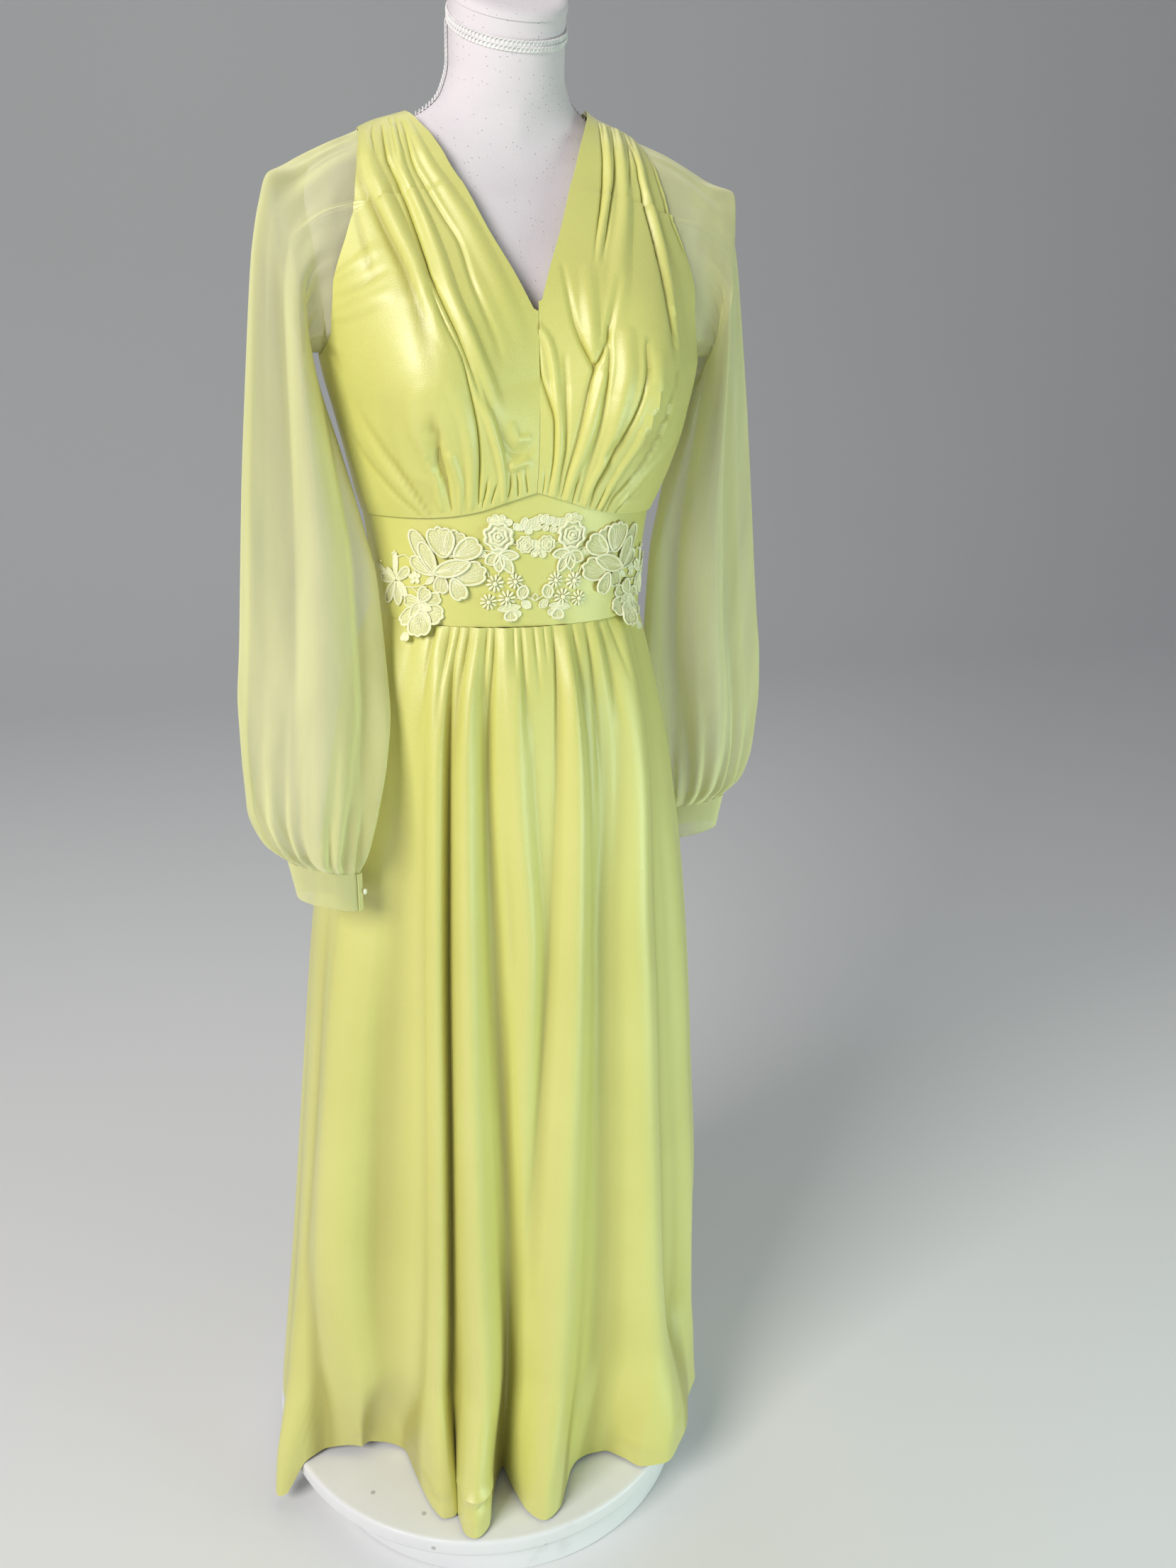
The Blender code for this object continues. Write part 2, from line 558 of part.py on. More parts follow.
def neck_tilted(angle, z, out):
    """A point of the neck, where rings lean forward with height."""
    point = body_point(angle, z, out)
    point.z += BODY_TRACKS["tilt"](z) * (point.y - BODY_TRACKS["centre_y"](z))
    return point


def build_form():
    columns = 28
    levels = [FORM_BOTTOM_Z, 0.812, 0.84, 0.90, 0.95, 0.985, 1.012, 1.05, 1.11, 1.17, 1.22, 1.27, 1.32,
              1.35, 1.367, 1.38, 1.392, 1.403, 1.414, 1.421, 1.43, 1.455, *NECK_BRAID_Z, NECK_TOP_Z]
    rings = []
    for z in levels:
        out = FORM_TRACKS["out"](z)
        sink = Vector((0, 0, FORM_TRACKS["drop"](z)))
        rings.append([neck_tilted(360 * c / columns, z, out) - sink for c in range(columns)])
    add_stack("form_torso", rings, JERSEY)
    cap_rings = []
    for rise, out in ((GAP, 0.0008), (0.0045, 0.0008), (0.0075, -0.0015), (0.0085, -0.006)):
        ring = [neck_tilted(360 * c / columns, NECK_TOP_Z, out) for c in range(columns)]
        cap_rings.append([point + Vector((0, 0, rise)) for point in ring])
    add_stack("form_neck_cap", cap_rings, JERSEY)


def build_braids():
    columns = 28
    grid = []
    for z in NECK_BRAID_Z:
        grid.append([neck_tilted(360 * c / columns, z, GAP) for c in range(columns)])
    add_wall("neck_braid", grid, BRAID_WALL, GIMP, closed=True)
    for side, name in ((-1, "side_braid_right"), (1, "side_braid_left")):
        grid = []
        for z in SIDE_BRAID_Z:
            lean = blend(0.0, 10.0, (z - SIDE_BRAID_Z[0]) / 0.055)
            middle = side * (96 + lean)
            grid.append([neck_tilted(middle + offset, z, 3 * GAP) for offset in (-4.5, 4.5)])
        add_wall(name, grid, BRAID_WALL, GIMP)


def build_stand():
    edge = 0.004
    lower = [(LOWER_DISC_RADIUS - edge, 0.0), (LOWER_DISC_RADIUS, edge),
             (LOWER_DISC_RADIUS, LOWER_DISC_TOP - edge), (LOWER_DISC_RADIUS - edge, LOWER_DISC_TOP)]
    add_turned("stand_lower_disc", lower, (0.0, 0.0), 36, PAINT)
    bottom = LOWER_DISC_TOP + GAP
    upper = [(UPPER_DISC_RADIUS - edge, bottom), (UPPER_DISC_RADIUS, bottom + edge),
             (UPPER_DISC_RADIUS, UPPER_DISC_TOP - 0.006), (UPPER_DISC_RADIUS - 0.0018, UPPER_DISC_TOP - 0.002),
             (UPPER_DISC_RADIUS - 0.006, UPPER_DISC_TOP)]
    add_turned("stand_upper_disc", upper, UPPER_DISC_CENTRE, 36, PAINT)
    foot = UPPER_DISC_TOP + GAP
    pole = [(COLLAR_RADIUS, foot), (COLLAR_RADIUS, foot + COLLAR_HEIGHT - 0.003),
            (COLLAR_RADIUS - 0.004, foot + COLLAR_HEIGHT), (POLE_RADIUS, foot + COLLAR_HEIGHT + 0.004),
            (POLE_RADIUS, FORM_BOTTOM_Z - GAP)]
    add_turned("stand_pole", pole, (0.0, 0.0), 16, PAINT)


def bodice_ease(z):
    return blend(EASE, SHOULDER_EASE, ease_in_out((z - 1.30) / 0.07))


def shoulder_height(x, y):
    """The height of the figure's shoulder at a place, x from its middle."""
    low, high = 1.34, 1.43
    for _ in range(24):
        z = (low + high) / 2
        dy = y - BODY_TRACKS["centre_y"](z)
        depth = BODY_TRACKS["front" if dy < 0 else "back"](z)
        squareness = BODY_TRACKS["squareness"](z)
        across = abs(x / BODY_TRACKS["half_width"](z)) ** squareness
        if across + abs(dy / depth) ** squareness < 1:
            low = z
        else:
            high = z
    return low


def over_shoulder(start, v, along, rounded=False):
    """A point of the cloth on its way from chest or back to the shoulder seam."""
    t = (v - SHOULDER_SHARE) / (1 - SHOULDER_SHARE)
    back = 1 - math.cos(math.pi * t / 2) if rounded else t
    side = 1 if start.x > BODY_X else -1
    end = blend(SHOULDERS[side].neck_x, SHOULDERS[side].end_x, along)
    x = blend(abs(start.x - BODY_X), end, math.sin(math.pi * t / 2))
    y = blend(start.y, SHOULDER_SEAM_Y, back)
    return Vector((BODY_X + side * x, y, shoulder_height(x, y) + SHOULDER_LIFT))


def stage(bottom, middle, top, v):
    """A height between three stages, with the middle one at the armhole's foot."""
    if v < ARMHOLE_SHARE:
        return blend(bottom, middle, v / ARMHOLE_SHARE)
    return blend(middle, top, (v - ARMHOLE_SHARE) / (1 - ARMHOLE_SHARE))


def bodice_front_grid(side):
    """The inner face of a gathered front, from the band up to the shoulder seam."""
    fan_columns = 2 * UNDERBUST_GATHERS
    side_columns = 5
    levels = [0.0, 0.04, 0.11, 0.21, 0.33, 0.45, 0.57, 0.69, 0.80, 0.88, 0.94, 1.0]
    blouse = BLOUSE_TRACKS[side_word(side)]
    neckline = NECKLINE_TRACKS[side_word(side)]
    grid = []
    chest = {}
    for v in levels:
        row = []
        for c in range(fan_columns + side_columns + 1):
            fan = min(c / fan_columns, 1.0)
            beyond = max(c - fan_columns, 0) / side_columns
            share = 0.55 * fan + 0.45 * beyond
            z = blend(stage(PEAK_Z, V_POINT_Z, NECK_SEAM_Z, v),
                      stage(SIDE_BAND_TOP_Z, UNDERARM_Z, SHOULDERS[side].end_z, v), share)
            inner = angle_at(neckline(z), z, EASE)
            fan_edge = angle_at(FAN_TRACK(z), z, EASE)
            outer = armhole_angle(side, z)
            angle = blend(inner, fan_edge, fan) if beyond == 0 else blend(fan_edge, outer, beyond)
            bottom_error = band_top(angle) - z if v == 0 else 0.0
            if v < 0.3:
                straight = blend(PEAK_Z, SIDE_BAND_TOP_Z, share)
                bottom_error = (band_top(angle) - straight) * (1 - v / 0.3) ** 1.5
            z += bottom_error
            puff = 0.004 * math.sin(math.pi * min(v / 0.3, 1.0)) * (1 - beyond)
            out = bodice_ease(z) + blouse(z) * math.sin(math.radians(angle)) ** 2 + puff
            point = body_point(side * angle, z, out)
            if v <= SHOULDER_SHARE:
                chest[c] = point
            else:
                point = over_shoulder(chest[c], v, share)
            fold_strength = Track([0, 0.3, 0.5, 0.76, 0.9, 1.0], [0, 0.001, 0.003, 0.0035, 0.0018, 0.0007])(v)
            gather_strength = Track([0, 0.04, 0.15, 0.35, 1.0], [0.002, 0.0035, 0.0025, 0, 0])(v)
            wave = 0.5 - 0.5 * math.cos(2 * math.pi * SHOULDER_FOLDS * fan)
            tuck = 0.5 - 0.5 * math.cos(math.pi * c)
            lift = 0.0
            if beyond == 0:
                lift = fold_strength * wave + gather_strength * tuck
            row.append((point, lift))
        grid.append(row)
    points = np.array([[tuple(p) for p, _ in row] for row in grid])
    lifts = np.array([[lift for _, lift in row] for row in grid])
    normals = grid_normals(points, False) * side
    points = points + normals * lifts[:, :, None]
    points[:, 0, 0] = np.where(
        np.abs(points[:, 0, 0] - BODY_X) < 0.002, BODY_X + side * GAP / 2, points[:, 0, 0])
    points[0, :, 2] += GAP / 2
    return points


def bodice_back_grid(side):
    """The inner face of a plain back, from the band up to the shoulder and back neck."""
    columns = 8
    levels = [0.0, 0.12, 0.28, 0.45, 0.57, 0.69, 0.80, 0.88, 0.94, 1.0]
    grid = []
    nape = {}
    for v in levels:
        row = []
        for c in range(columns + 1):
            share = c / columns
            inner_z = stage(SIDE_BAND_TOP_Z, V_POINT_Z, BACK_RISE_Z, v)
            outer_z = stage(SIDE_BAND_TOP_Z, UNDERARM_Z, SHOULDERS[side].end_z, v)
            z = blend(inner_z, outer_z, share)
            angle = blend(0.0, armhole_angle(side, z), share)
            out = bodice_ease(z) + 0.003 * math.sin(math.pi * v) * (1 - share)
            point = body_point(side * (180 - angle), z, out)
            if v <= SHOULDER_SHARE:
                nape[c] = Vector((point.x + side * 0.0001, point.y, point.z))
            else:
                point = over_shoulder(nape[c], v, share, rounded=True)
            row.append(tuple(point))
        grid.append(row)
    points = np.array(grid)
    near_middle = np.abs(points[:, 0, 0] - BODY_X) < 0.002
    points[:, 0, 0] = np.where(near_middle, BODY_X + side * GAP / 2, points[:, 0, 0])
    points[0, :, 2] += GAP / 2
    return points


def armhole_edge(front, front_normals, back, back_normals):
    """The armhole as a ring of points and normals, down its front and up its back."""
    def above_foot(points):
        return [k for k in range(len(points)) if points[k, 2] > UNDERARM_Z - 0.002]

    down, up = above_foot(front)[::-1], above_foot(back)
    corners = [(front[k], front_normals[k]) for k in down] + [(back[k], back_normals[k]) for k in up]
    parts = [2, 2, 2, 3, 3, 3] + [0] + [3, 3, 3, 2, 2, 2]
    places, normals = [], []
    for k, count in enumerate(parts):
        (a, m), (b, n) = corners[k], corners[k + 1]
        for j in range(count):
            places.append(blend(a, b, j / count))
            normal = blend(m, n, j / count)
            normals.append(normal / np.linalg.norm(normal))
    return np.array(places), np.array(normals)


def build_bodice():
    """The fronts and backs; returns each side's armhole edges, front and back."""
    edges = {}
    for side, word in ((-1, "right"), (1, "left")):
        front = bodice_front_grid(side)
        front[:, -1, 1] -= GAP / 2
        front[-1, :, 1] -= GAP / 2
        seams = {"bottom": 2, "top": 1, "start": 0}
        add_wall("bodice_front_" + word, front, SATIN_WALL, SATIN, flip=side < 0, seams=seams)
        back = bodice_back_grid(side)
        back[:, -1, 1] += GAP / 2
        back[-1, :, 1] += GAP / 2
        add_wall("bodice_back_" + word, back, SATIN_WALL, SATIN, flip=side > 0, seams=seams)
        front_normals = wall_normals(front, False, side < 0, seams)
        back_normals = wall_normals(back, False, side > 0, seams)
        edges[side] = armhole_edge(front[:, -1], front_normals[:, -1], back[:, -1], back_normals[:, -1])
    return edges


def band_point(angle, z, out=0.0):
    return body_point(angle, z, 0.003 + out)


def build_midriff():
    rows = 3
    spans = [("midriff_front", -90, 90, 30), ("midriff_back_left", 90, 180, 8),
             ("midriff_back_right", 180, 270, 8)]
    for name, start, end, columns in spans:
        grid = []
        for r in range(rows + 1):
            row = []
            for c in range(columns + 1):
                angle = blend(start, end, c / columns)
                folded = angle - 360 if angle > 180 else angle
                low = WAIST_Z + GAP / 2
                high = band_top(folded) - GAP
                row.append(tuple(band_point(folded, blend(low, high, r / rows))))
            grid.append(row)
        points = np.array(grid)
        middle = 1 if name != "midriff_back_right" else -1
        if name == "midriff_front":
            points[:, 0, 1] -= GAP / 2
            points[:, -1, 1] -= GAP / 2
        elif name == "midriff_back_left":
            points[:, 0, 1] += GAP / 2
            points[:, -1, 0] = BODY_X + middle * GAP / 2
        else:
            points[:, -1, 1] += GAP / 2
            points[:, 0, 0] = BODY_X + middle * GAP / 2
        ends = {"midriff_front": (1, 1), "midriff_back_left": (1, 0), "midriff_back_right": (0, 1)}[name]
        seams = {"bottom": 2, "top": 2, "start": ends[0], "end": ends[1]}
        add_wall(name, points, SATIN_WALL, SATIN, seams=seams)


def skirt_base(angle, z, out=0.0):
    """A point of the skirt without folds, moved out from it."""
    turn = math.radians(angle)
    half_width = SKIRT_TRACKS["left" if angle >= 0 else "right"](z)
    facing = math.cos(turn)
    depth = SKIRT_TRACKS["front" if facing > 0 else "back"](z)
    x = half_width * math.sin(turn)
    y = -depth * facing
    nx, ny = x / half_width ** 2, y / depth ** 2
    length = math.hypot(nx, ny)
    x += out * nx / length
    y += out * ny / length
    return Vector((SKIRT_X + x, SKIRT_TRACKS["centre_y"](z) + y, z))


def front_fold_height(angle, z):
    total = 0.0
    for tracks in FOLD_TRACKS.values():
        apart = abs(angle - tracks["angle"](z)) / tracks["half_width"](z)
        if apart < 1:
            roundness = blend(0.6, 0.8, ease_in_out((z - 0.06) / 0.20))
            total += tracks["height"](z) * (0.5 + 0.5 * math.cos(math.pi * apart)) ** roundness
    return total * ease_in_out((1.010 - z) / 0.05)


def gather_height(angle, z):
    if not GATHER_START < angle < GATHER_END:
        return 0.0
    pitch = (GATHER_END - GATHER_START) / FRONT_GATHERS
    phase = (angle - GATHER_START) / pitch
    strength = Track([0.86, 0.93, 0.985, 1.012], [0.0, 0.0022, 0.0048, 0.0016])(z) if z > 0.86 else 0.0
    return strength * (1 - math.cos(2 * math.pi * phase)) / 1.5


def front_skirt_angles():
    """Column angles: three to each gather, wider on the smooth sides."""
    pitch = (GATHER_END - GATHER_START) / FRONT_GATHERS
    angles = list(SIDE_COLUMNS_RIGHT)
    for k in range(FRONT_GATHERS):
        angles += [GATHER_START + pitch * (k + part / 3) for part in range(3)]
    angles += [blend(GATHER_END, 90, k / 8) for k in range(9)]
    return angles


def build_skirt():
    angles = front_skirt_angles()
    grid = []
    for level in range(len(SKIRT_ROWS_Z) + 2):
        row = []
        for angle in angles:
            hem = HEM_TRACK(angle)
            if level == 0:
                z = WAIST_Z - GAP / 2
            elif level <= len(SKIRT_ROWS_Z):
                z = SKIRT_ROWS_Z[level - 1]
                lift = ease_in_out((0.5 - z) / 0.5)
                z = blend(z, max(z, hem + 0.05 * (1 - (level - 7) / 5)), lift) if level > 7 else z
            else:
                z = hem
            out = front_fold_height(angle, z) + gather_height(angle, z)
            row.append(tuple(skirt_base(angle, z, out)))
        grid.append(row)
    points = np.array(grid)
    points[:, 0, 1] -= GAP / 2
    points[:, -1, 1] -= GAP / 2
    add_wall("skirt_front", points, SATIN_WALL, SATIN, flip=True, seams={"bottom": 2, "start": 1, "end": 1})
    for side, word in ((1, "left"), (-1, "right")):
        columns = 12
        grid = []
        for level in range(len(SKIRT_ROWS_Z) + 2):
            row = []
            for c in range(columns + 1):
                share = c / columns
                angle = side * blend(90, 180, share)
                side_hem = HEM_TRACK(side * 90)
                hem = blend(side_hem, 0.062, ease_in_out(share * 3))
                if level == 0:
                    z = WAIST_Z - GAP / 2
                elif level <= len(SKIRT_ROWS_Z):
                    z = SKIRT_ROWS_Z[level - 1]
                else:
                    z = hem
                strength = BACK_FOLD_HEIGHT * ease_in_out((1.0 - z) / 0.9)
                out = strength * (0.5 - 0.5 * math.cos(2 * math.pi * BACK_FOLDS * share))
                row.append(tuple(skirt_base(angle, z, out)))
            grid.append(row)
        points = np.array(grid)
        points[:, 0, 1] += GAP / 2
        points[:, -1, 0] = SKIRT_X + side * GAP / 2
        seams = {"bottom": 2, "start": 1, "end": 0}
        add_wall("skirt_back_" + word, points, SATIN_WALL, SATIN, flip=side > 0, seams=seams)


def into_armhole(places, normals):
    """Unit ways off the armhole's edge along the cloth, into the opening."""
    tangents = np.roll(places, -1, axis=0) - np.roll(places, 1, axis=0)
    away = np.cross(tangents, normals)
    away /= np.linalg.norm(away, axis=1, keepdims=True)
    outwards = math.copysign(1, places[:, 0].mean() - BODY_X)
    return away if away[:, 0].sum() * outwards > 0 else -away


def keep_off(point, margin_body, margin_skirt):
    """The point pushed out of the figure and the skirt where it lies in them."""
    x, y, z = point
    if z < 1.375:
        centre = BODY_TRACKS["centre_y"](z)
        dx, dy = x - BODY_X, y - centre
        power = BODY_TRACKS["squareness"](z) / 2
        depth = BODY_TRACKS["front" if dy < 0 else "back"](z)
        across = abs(dx / BODY_TRACKS["half_width"](z)) ** power
        turn = math.atan2(across, -signed_power(dy / depth, power))
        blouse = BLOUSE_TRACKS["left" if dx > 0 else "right"](z) * math.sin(turn) ** 2
        surface = body_point(math.copysign(math.degrees(turn), dx), z, margin_body + blouse)
        level = math.hypot(dx, dy) / math.hypot(surface.x - BODY_X, surface.y - centre)
        if level < 1:
            x, y = BODY_X + dx / level, centre + dy / level
    if z < WAIST_Z:
        half_width = SKIRT_TRACKS["left" if x > SKIRT_X else "right"](z) + margin_skirt
        centre = SKIRT_TRACKS["centre_y"](z)
        depth = SKIRT_TRACKS["front" if y < centre else "back"](z) + margin_skirt
        dx, dy = x - SKIRT_X, y - centre
        level = math.hypot(dx / half_width, dy / depth)
        if level < 1:
            x, y = SKIRT_X + dx / level, centre + dy / level
    return np.array((x, y, z))


def sleeve_ring(side, row, columns, start_ring):
    """One ring of a sleeve, from its table row, blended with the armhole's edge."""
    outer = np.array((BODY_X + side * row.outer_x, row.centre_y + row.twist, row.outer_z))
    inner = np.array((BODY_X + side * row.inner_x, row.centre_y - row.twist, row.inner_z))
    middle = (outer + inner) / 2
    reach = (outer - inner) / 2
    facing = np.array((0.0, -1.0, 0.0))
    ring = []
    for c in range(columns):
        turn = 2 * math.pi * c / columns
        swell = row.fold * math.cos(5 * turn + 0.6)
        swell += row.gather * math.cos(SLEEVE_GATHERS * turn)
        free = middle + reach * math.cos(turn) + facing * row.half_depth * math.sin(turn)
        away = reach * math.cos(turn) / np.linalg.norm(reach) + facing * math.sin(turn)
        free = free + away * swell
        offset = (start_ring[c] - np.mean(start_ring, axis=0)) + middle
        point = blend(offset, free, row.blend)
        ring.append(keep_off(point, 0.0105, 0.008))
    return ring


def build_sleeves(armholes):
    for side, word, rows in ((-1, "right", SLEEVE_RIGHT), (1, "left", SLEEVE_LEFT)):
        places, normals = armholes[side]
        away = into_armhole(places, normals)
        start = places + away * ARMHOLE_SEAM
        grid = [start]
        for row in rows:
            grid.append(sleeve_ring(side, row, SLEEVE_COLUMNS, start))
        grid = np.array(grid)
        alike = (wall_normals(grid, True, side < 0, {})[0] * normals).sum(axis=1, keepdims=True)
        grid[0] += away * 2 * CHIFFON_WALL * (1 - np.clip(alike, 0.0, 1.0))
        add_wall("sleeve_" + word, grid, CHIFFON_WALL, CHIFFON, closed=True, flip=side < 0,
                 seams={"top": 2})
        build_cuff(side, word, rows[-1])


def cuff_point(side, row, turn, drop, out):
    """A point of a cuff's flattened ring, at a part turn from the inner side."""
    half_width = (row.outer_x - row.inner_x) / 2 + out
    half_depth = CUFF_HALF_DEPTH + out
    middle_x = BODY_X + side * (row.outer_x + row.inner_x) / 2
    around = 2 * math.pi * turn
    across = signed_power(math.cos(around), 0.9)
    x = middle_x - side * half_width * across
    y = row.centre_y - half_depth * signed_power(math.sin(around), 0.9) - row.twist * across
    slant = (row.outer_z - row.inner_z) / 2
    z = (row.outer_z + row.inner_z) / 2 - slant * across - GAP - drop
    return Vector((x, y, z))


def build_cuff(side, word, row):
    steps = 21
    spiral = CUFF_WALL + 2 * GAP
    grid = []
    for drop in (0.0, CUFF_HEIGHT / 2, CUFF_HEIGHT):
        line = []
        for k in range(steps + 1):
            turn = blend(0.02, 1.02 + CUFF_LAP, k / steps)
            out = spiral * (k / steps) * (1 + CUFF_LAP) - 0.0012
            line.append(tuple(cuff_point(side, row, turn, drop, out)))
        grid.append(line)
    add_wall("cuff_" + word, np.array(grid), CUFF_WALL, CHIFFON, flip=side > 0)
    lap_turn = 0.045
    seat = spiral * (1 + CUFF_LAP) - 0.0012 + CUFF_WALL + GAP
    base = cuff_point(side, row, lap_turn, CUFF_HEIGHT * 0.5, seat)
    far = cuff_point(side, row, lap_turn, CUFF_HEIGHT * 0.5, seat + 0.01)
    away = (far - base).normalized()
    profile = [(0.6, 0.0), (1.0, 0.35), (0.8, 0.8), (0.35, 1.1)]
    side_way = away.cross(Vector((0, 0, 1))).normalized()
    up_way = side_way.cross(away)
    rings = []
    for radius, rise in profile:
        ring = []
        for k in range(8):
            a = 2 * math.pi * k / 8
            spread = side_way * math.cos(a) + up_way * math.sin(a)
            ring.append(base + away * (rise * BUTTON_RADIUS + 0.0004) + spread * radius * BUTTON_RADIUS)
        rings.append(ring)
    add_stack("cuff_button_" + word, rings, PEARL)


def flower_distance(flower, x, y):
    """How far outside a flower's petals each point lies, negative inside."""
    best = np.hypot(x - flower.along, y - flower.height) - flower.inner
    for k in range(flower.count):
        a = math.radians(flower.turn + 360 * k / flower.count)
        tip = flower.outer - flower.width
        cx = flower.along + tip * math.cos(a)
        cy = flower.height + tip * math.sin(a)
        reach = np.hypot(x - cx, y - cy) - flower.width
        stalk = segment_distance(x, y, (flower.along, flower.height), (cx, cy)) - flower.width * 0.5
        best = np.minimum(best, np.minimum(reach, stalk))
    return best


def segment_distance(x, y, start, end):
    dx, dy = end[0] - start[0], end[1] - start[1]
    t = ((x - start[0]) * dx + (y - start[1]) * dy) / (dx * dx + dy * dy)
    t = np.clip(t, 0, 1)
    return np.hypot(x - start[0] - t * dx, y - start[1] - t * dy)


def leaf_distance(leaf, x, y):
    """How far outside a pointed leaf each point lies, negative inside."""
    a = math.radians(leaf.turn)
    along = (x - leaf.along) * math.cos(a) + (y - leaf.height) * math.sin(a)
    across = -(x - leaf.along) * math.sin(a) + (y - leaf.height) * math.cos(a)
    t = np.clip(along / leaf.length, 0, 1)
    half = leaf.width / 2 * np.sin(math.pi * np.clip(t * 0.92 + 0.06, 0, 1)) ** 0.7
    outside_end = np.maximum(np.abs(along - leaf.length / 2) - leaf.length / 2, 0)
    return np.hypot(np.maximum(np.abs(across) - half, 0), outside_end) - np.maximum(half - np.abs(across), 0)


def contour_loops(field, xs, ys):
    """Closed loops round the region where the field is below zero."""
    rows, columns = field.shape
    links = {}
    places = {}

    def crossing(r1, c1, r2, c2):
        key = (min((r1, c1), (r2, c2)), max((r1, c1), (r2, c2)))
        if key not in places:
            a, b = field[r1, c1], field[r2, c2]
            t = a / (a - b)
            places[key] = (blend(xs[c1], xs[c2], t), blend(ys[r1], ys[r2], t))
        return key

    for r in range(rows - 1):
        for c in range(columns - 1):
            corners = [(r, c), (r, c + 1), (r + 1, c + 1), (r + 1, c)]
            inside = [field[q] < 0 for q in corners]
            if all(inside) or not any(inside):
                continue
            entries, exits = [], []
            for k in range(4):
                a, b = corners[k], corners[(k + 1) % 4]
                if inside[k] and not inside[(k + 1) % 4]:
                    exits.append(crossing(*a, *b))
                elif inside[(k + 1) % 4] and not inside[k]:
                    entries.append(crossing(*a, *b))
            for leave, enter in zip(exits, entries):
                links[leave] = enter
    loops = []
    while links:
        start, nxt = next(iter(links.items()))
        loop = []
        key = start
        while key in links:
            loop.append(places[key])
            key = links.pop(key)
        loops.append(loop)
    return loops


def simplified(loop, tolerance):
    """The loop with only the points that its shape needs."""
    points = np.array(loop)

    def keep(first, last):
        if last - first < 2:
            return []
        a, b = points[first], points[last % len(points)]
        run = points[first + 1:last]
        d = b - a
        length = math.hypot(*d)
        if length < 1e-9:
            away = np.hypot(*(run - a).T)
        else:
            away = np.abs(d[0] * (run[:, 1] - a[1]) - d[1] * (run[:, 0] - a[0])) / length
        k = int(np.argmax(away))
        if away[k] < tolerance:
            return []
        middle = first + 1 + k
        return keep(first, middle) + [middle] + keep(middle, last)

    half = len(points) // 2
    kept = [0] + keep(0, half) + [half] + keep(half, len(points))
    return [tuple(points[k]) for k in kept]


def loop_area(loop):
    return 0.5 * sum(a[0] * b[1] - b[0] * a[1] for a, b in zip(loop, loop[1:] + loop[:1]))


def lace_surface(along, height, out):
    """A point on the band, or on the skirt's top below it, at a length from the middle."""
    sign = 1 if along >= 0 else -1
    angle = sign * ARC_TRACK(abs(along))
    point = band_point(angle, max(height, WAIST_Z), SATIN_WALL + LACE_STANDOFF + out)
    if height < WAIST_Z:
        slope = 0.36 * (WAIST_Z - height)
        lift = 0.0050
        middle = Vector((BODY_X, -0.017, point.z))
        away = (point - middle).normalized()
        point = point + away * (slope + lift)
        point.z = height
    elif height < WAIST_Z + 0.010:
        middle = Vector((BODY_X, -0.017, point.z))
        away = (point - middle).normalized()
        point = point + away * 0.0050 * ease_in_out((WAIST_Z + 0.010 - height) / 0.010)
    return point


def band_arc_track():
    lengths, angles = [0.0], [0.0]
    last = band_point(0, 1.05)
    for k in range(1, 56):
        point = band_point(2.0 * k, 1.05)
        lengths.append(lengths[-1] + (point - last).length)
        angles.append(2.0 * k)
        last = point
    return Track(lengths, angles)


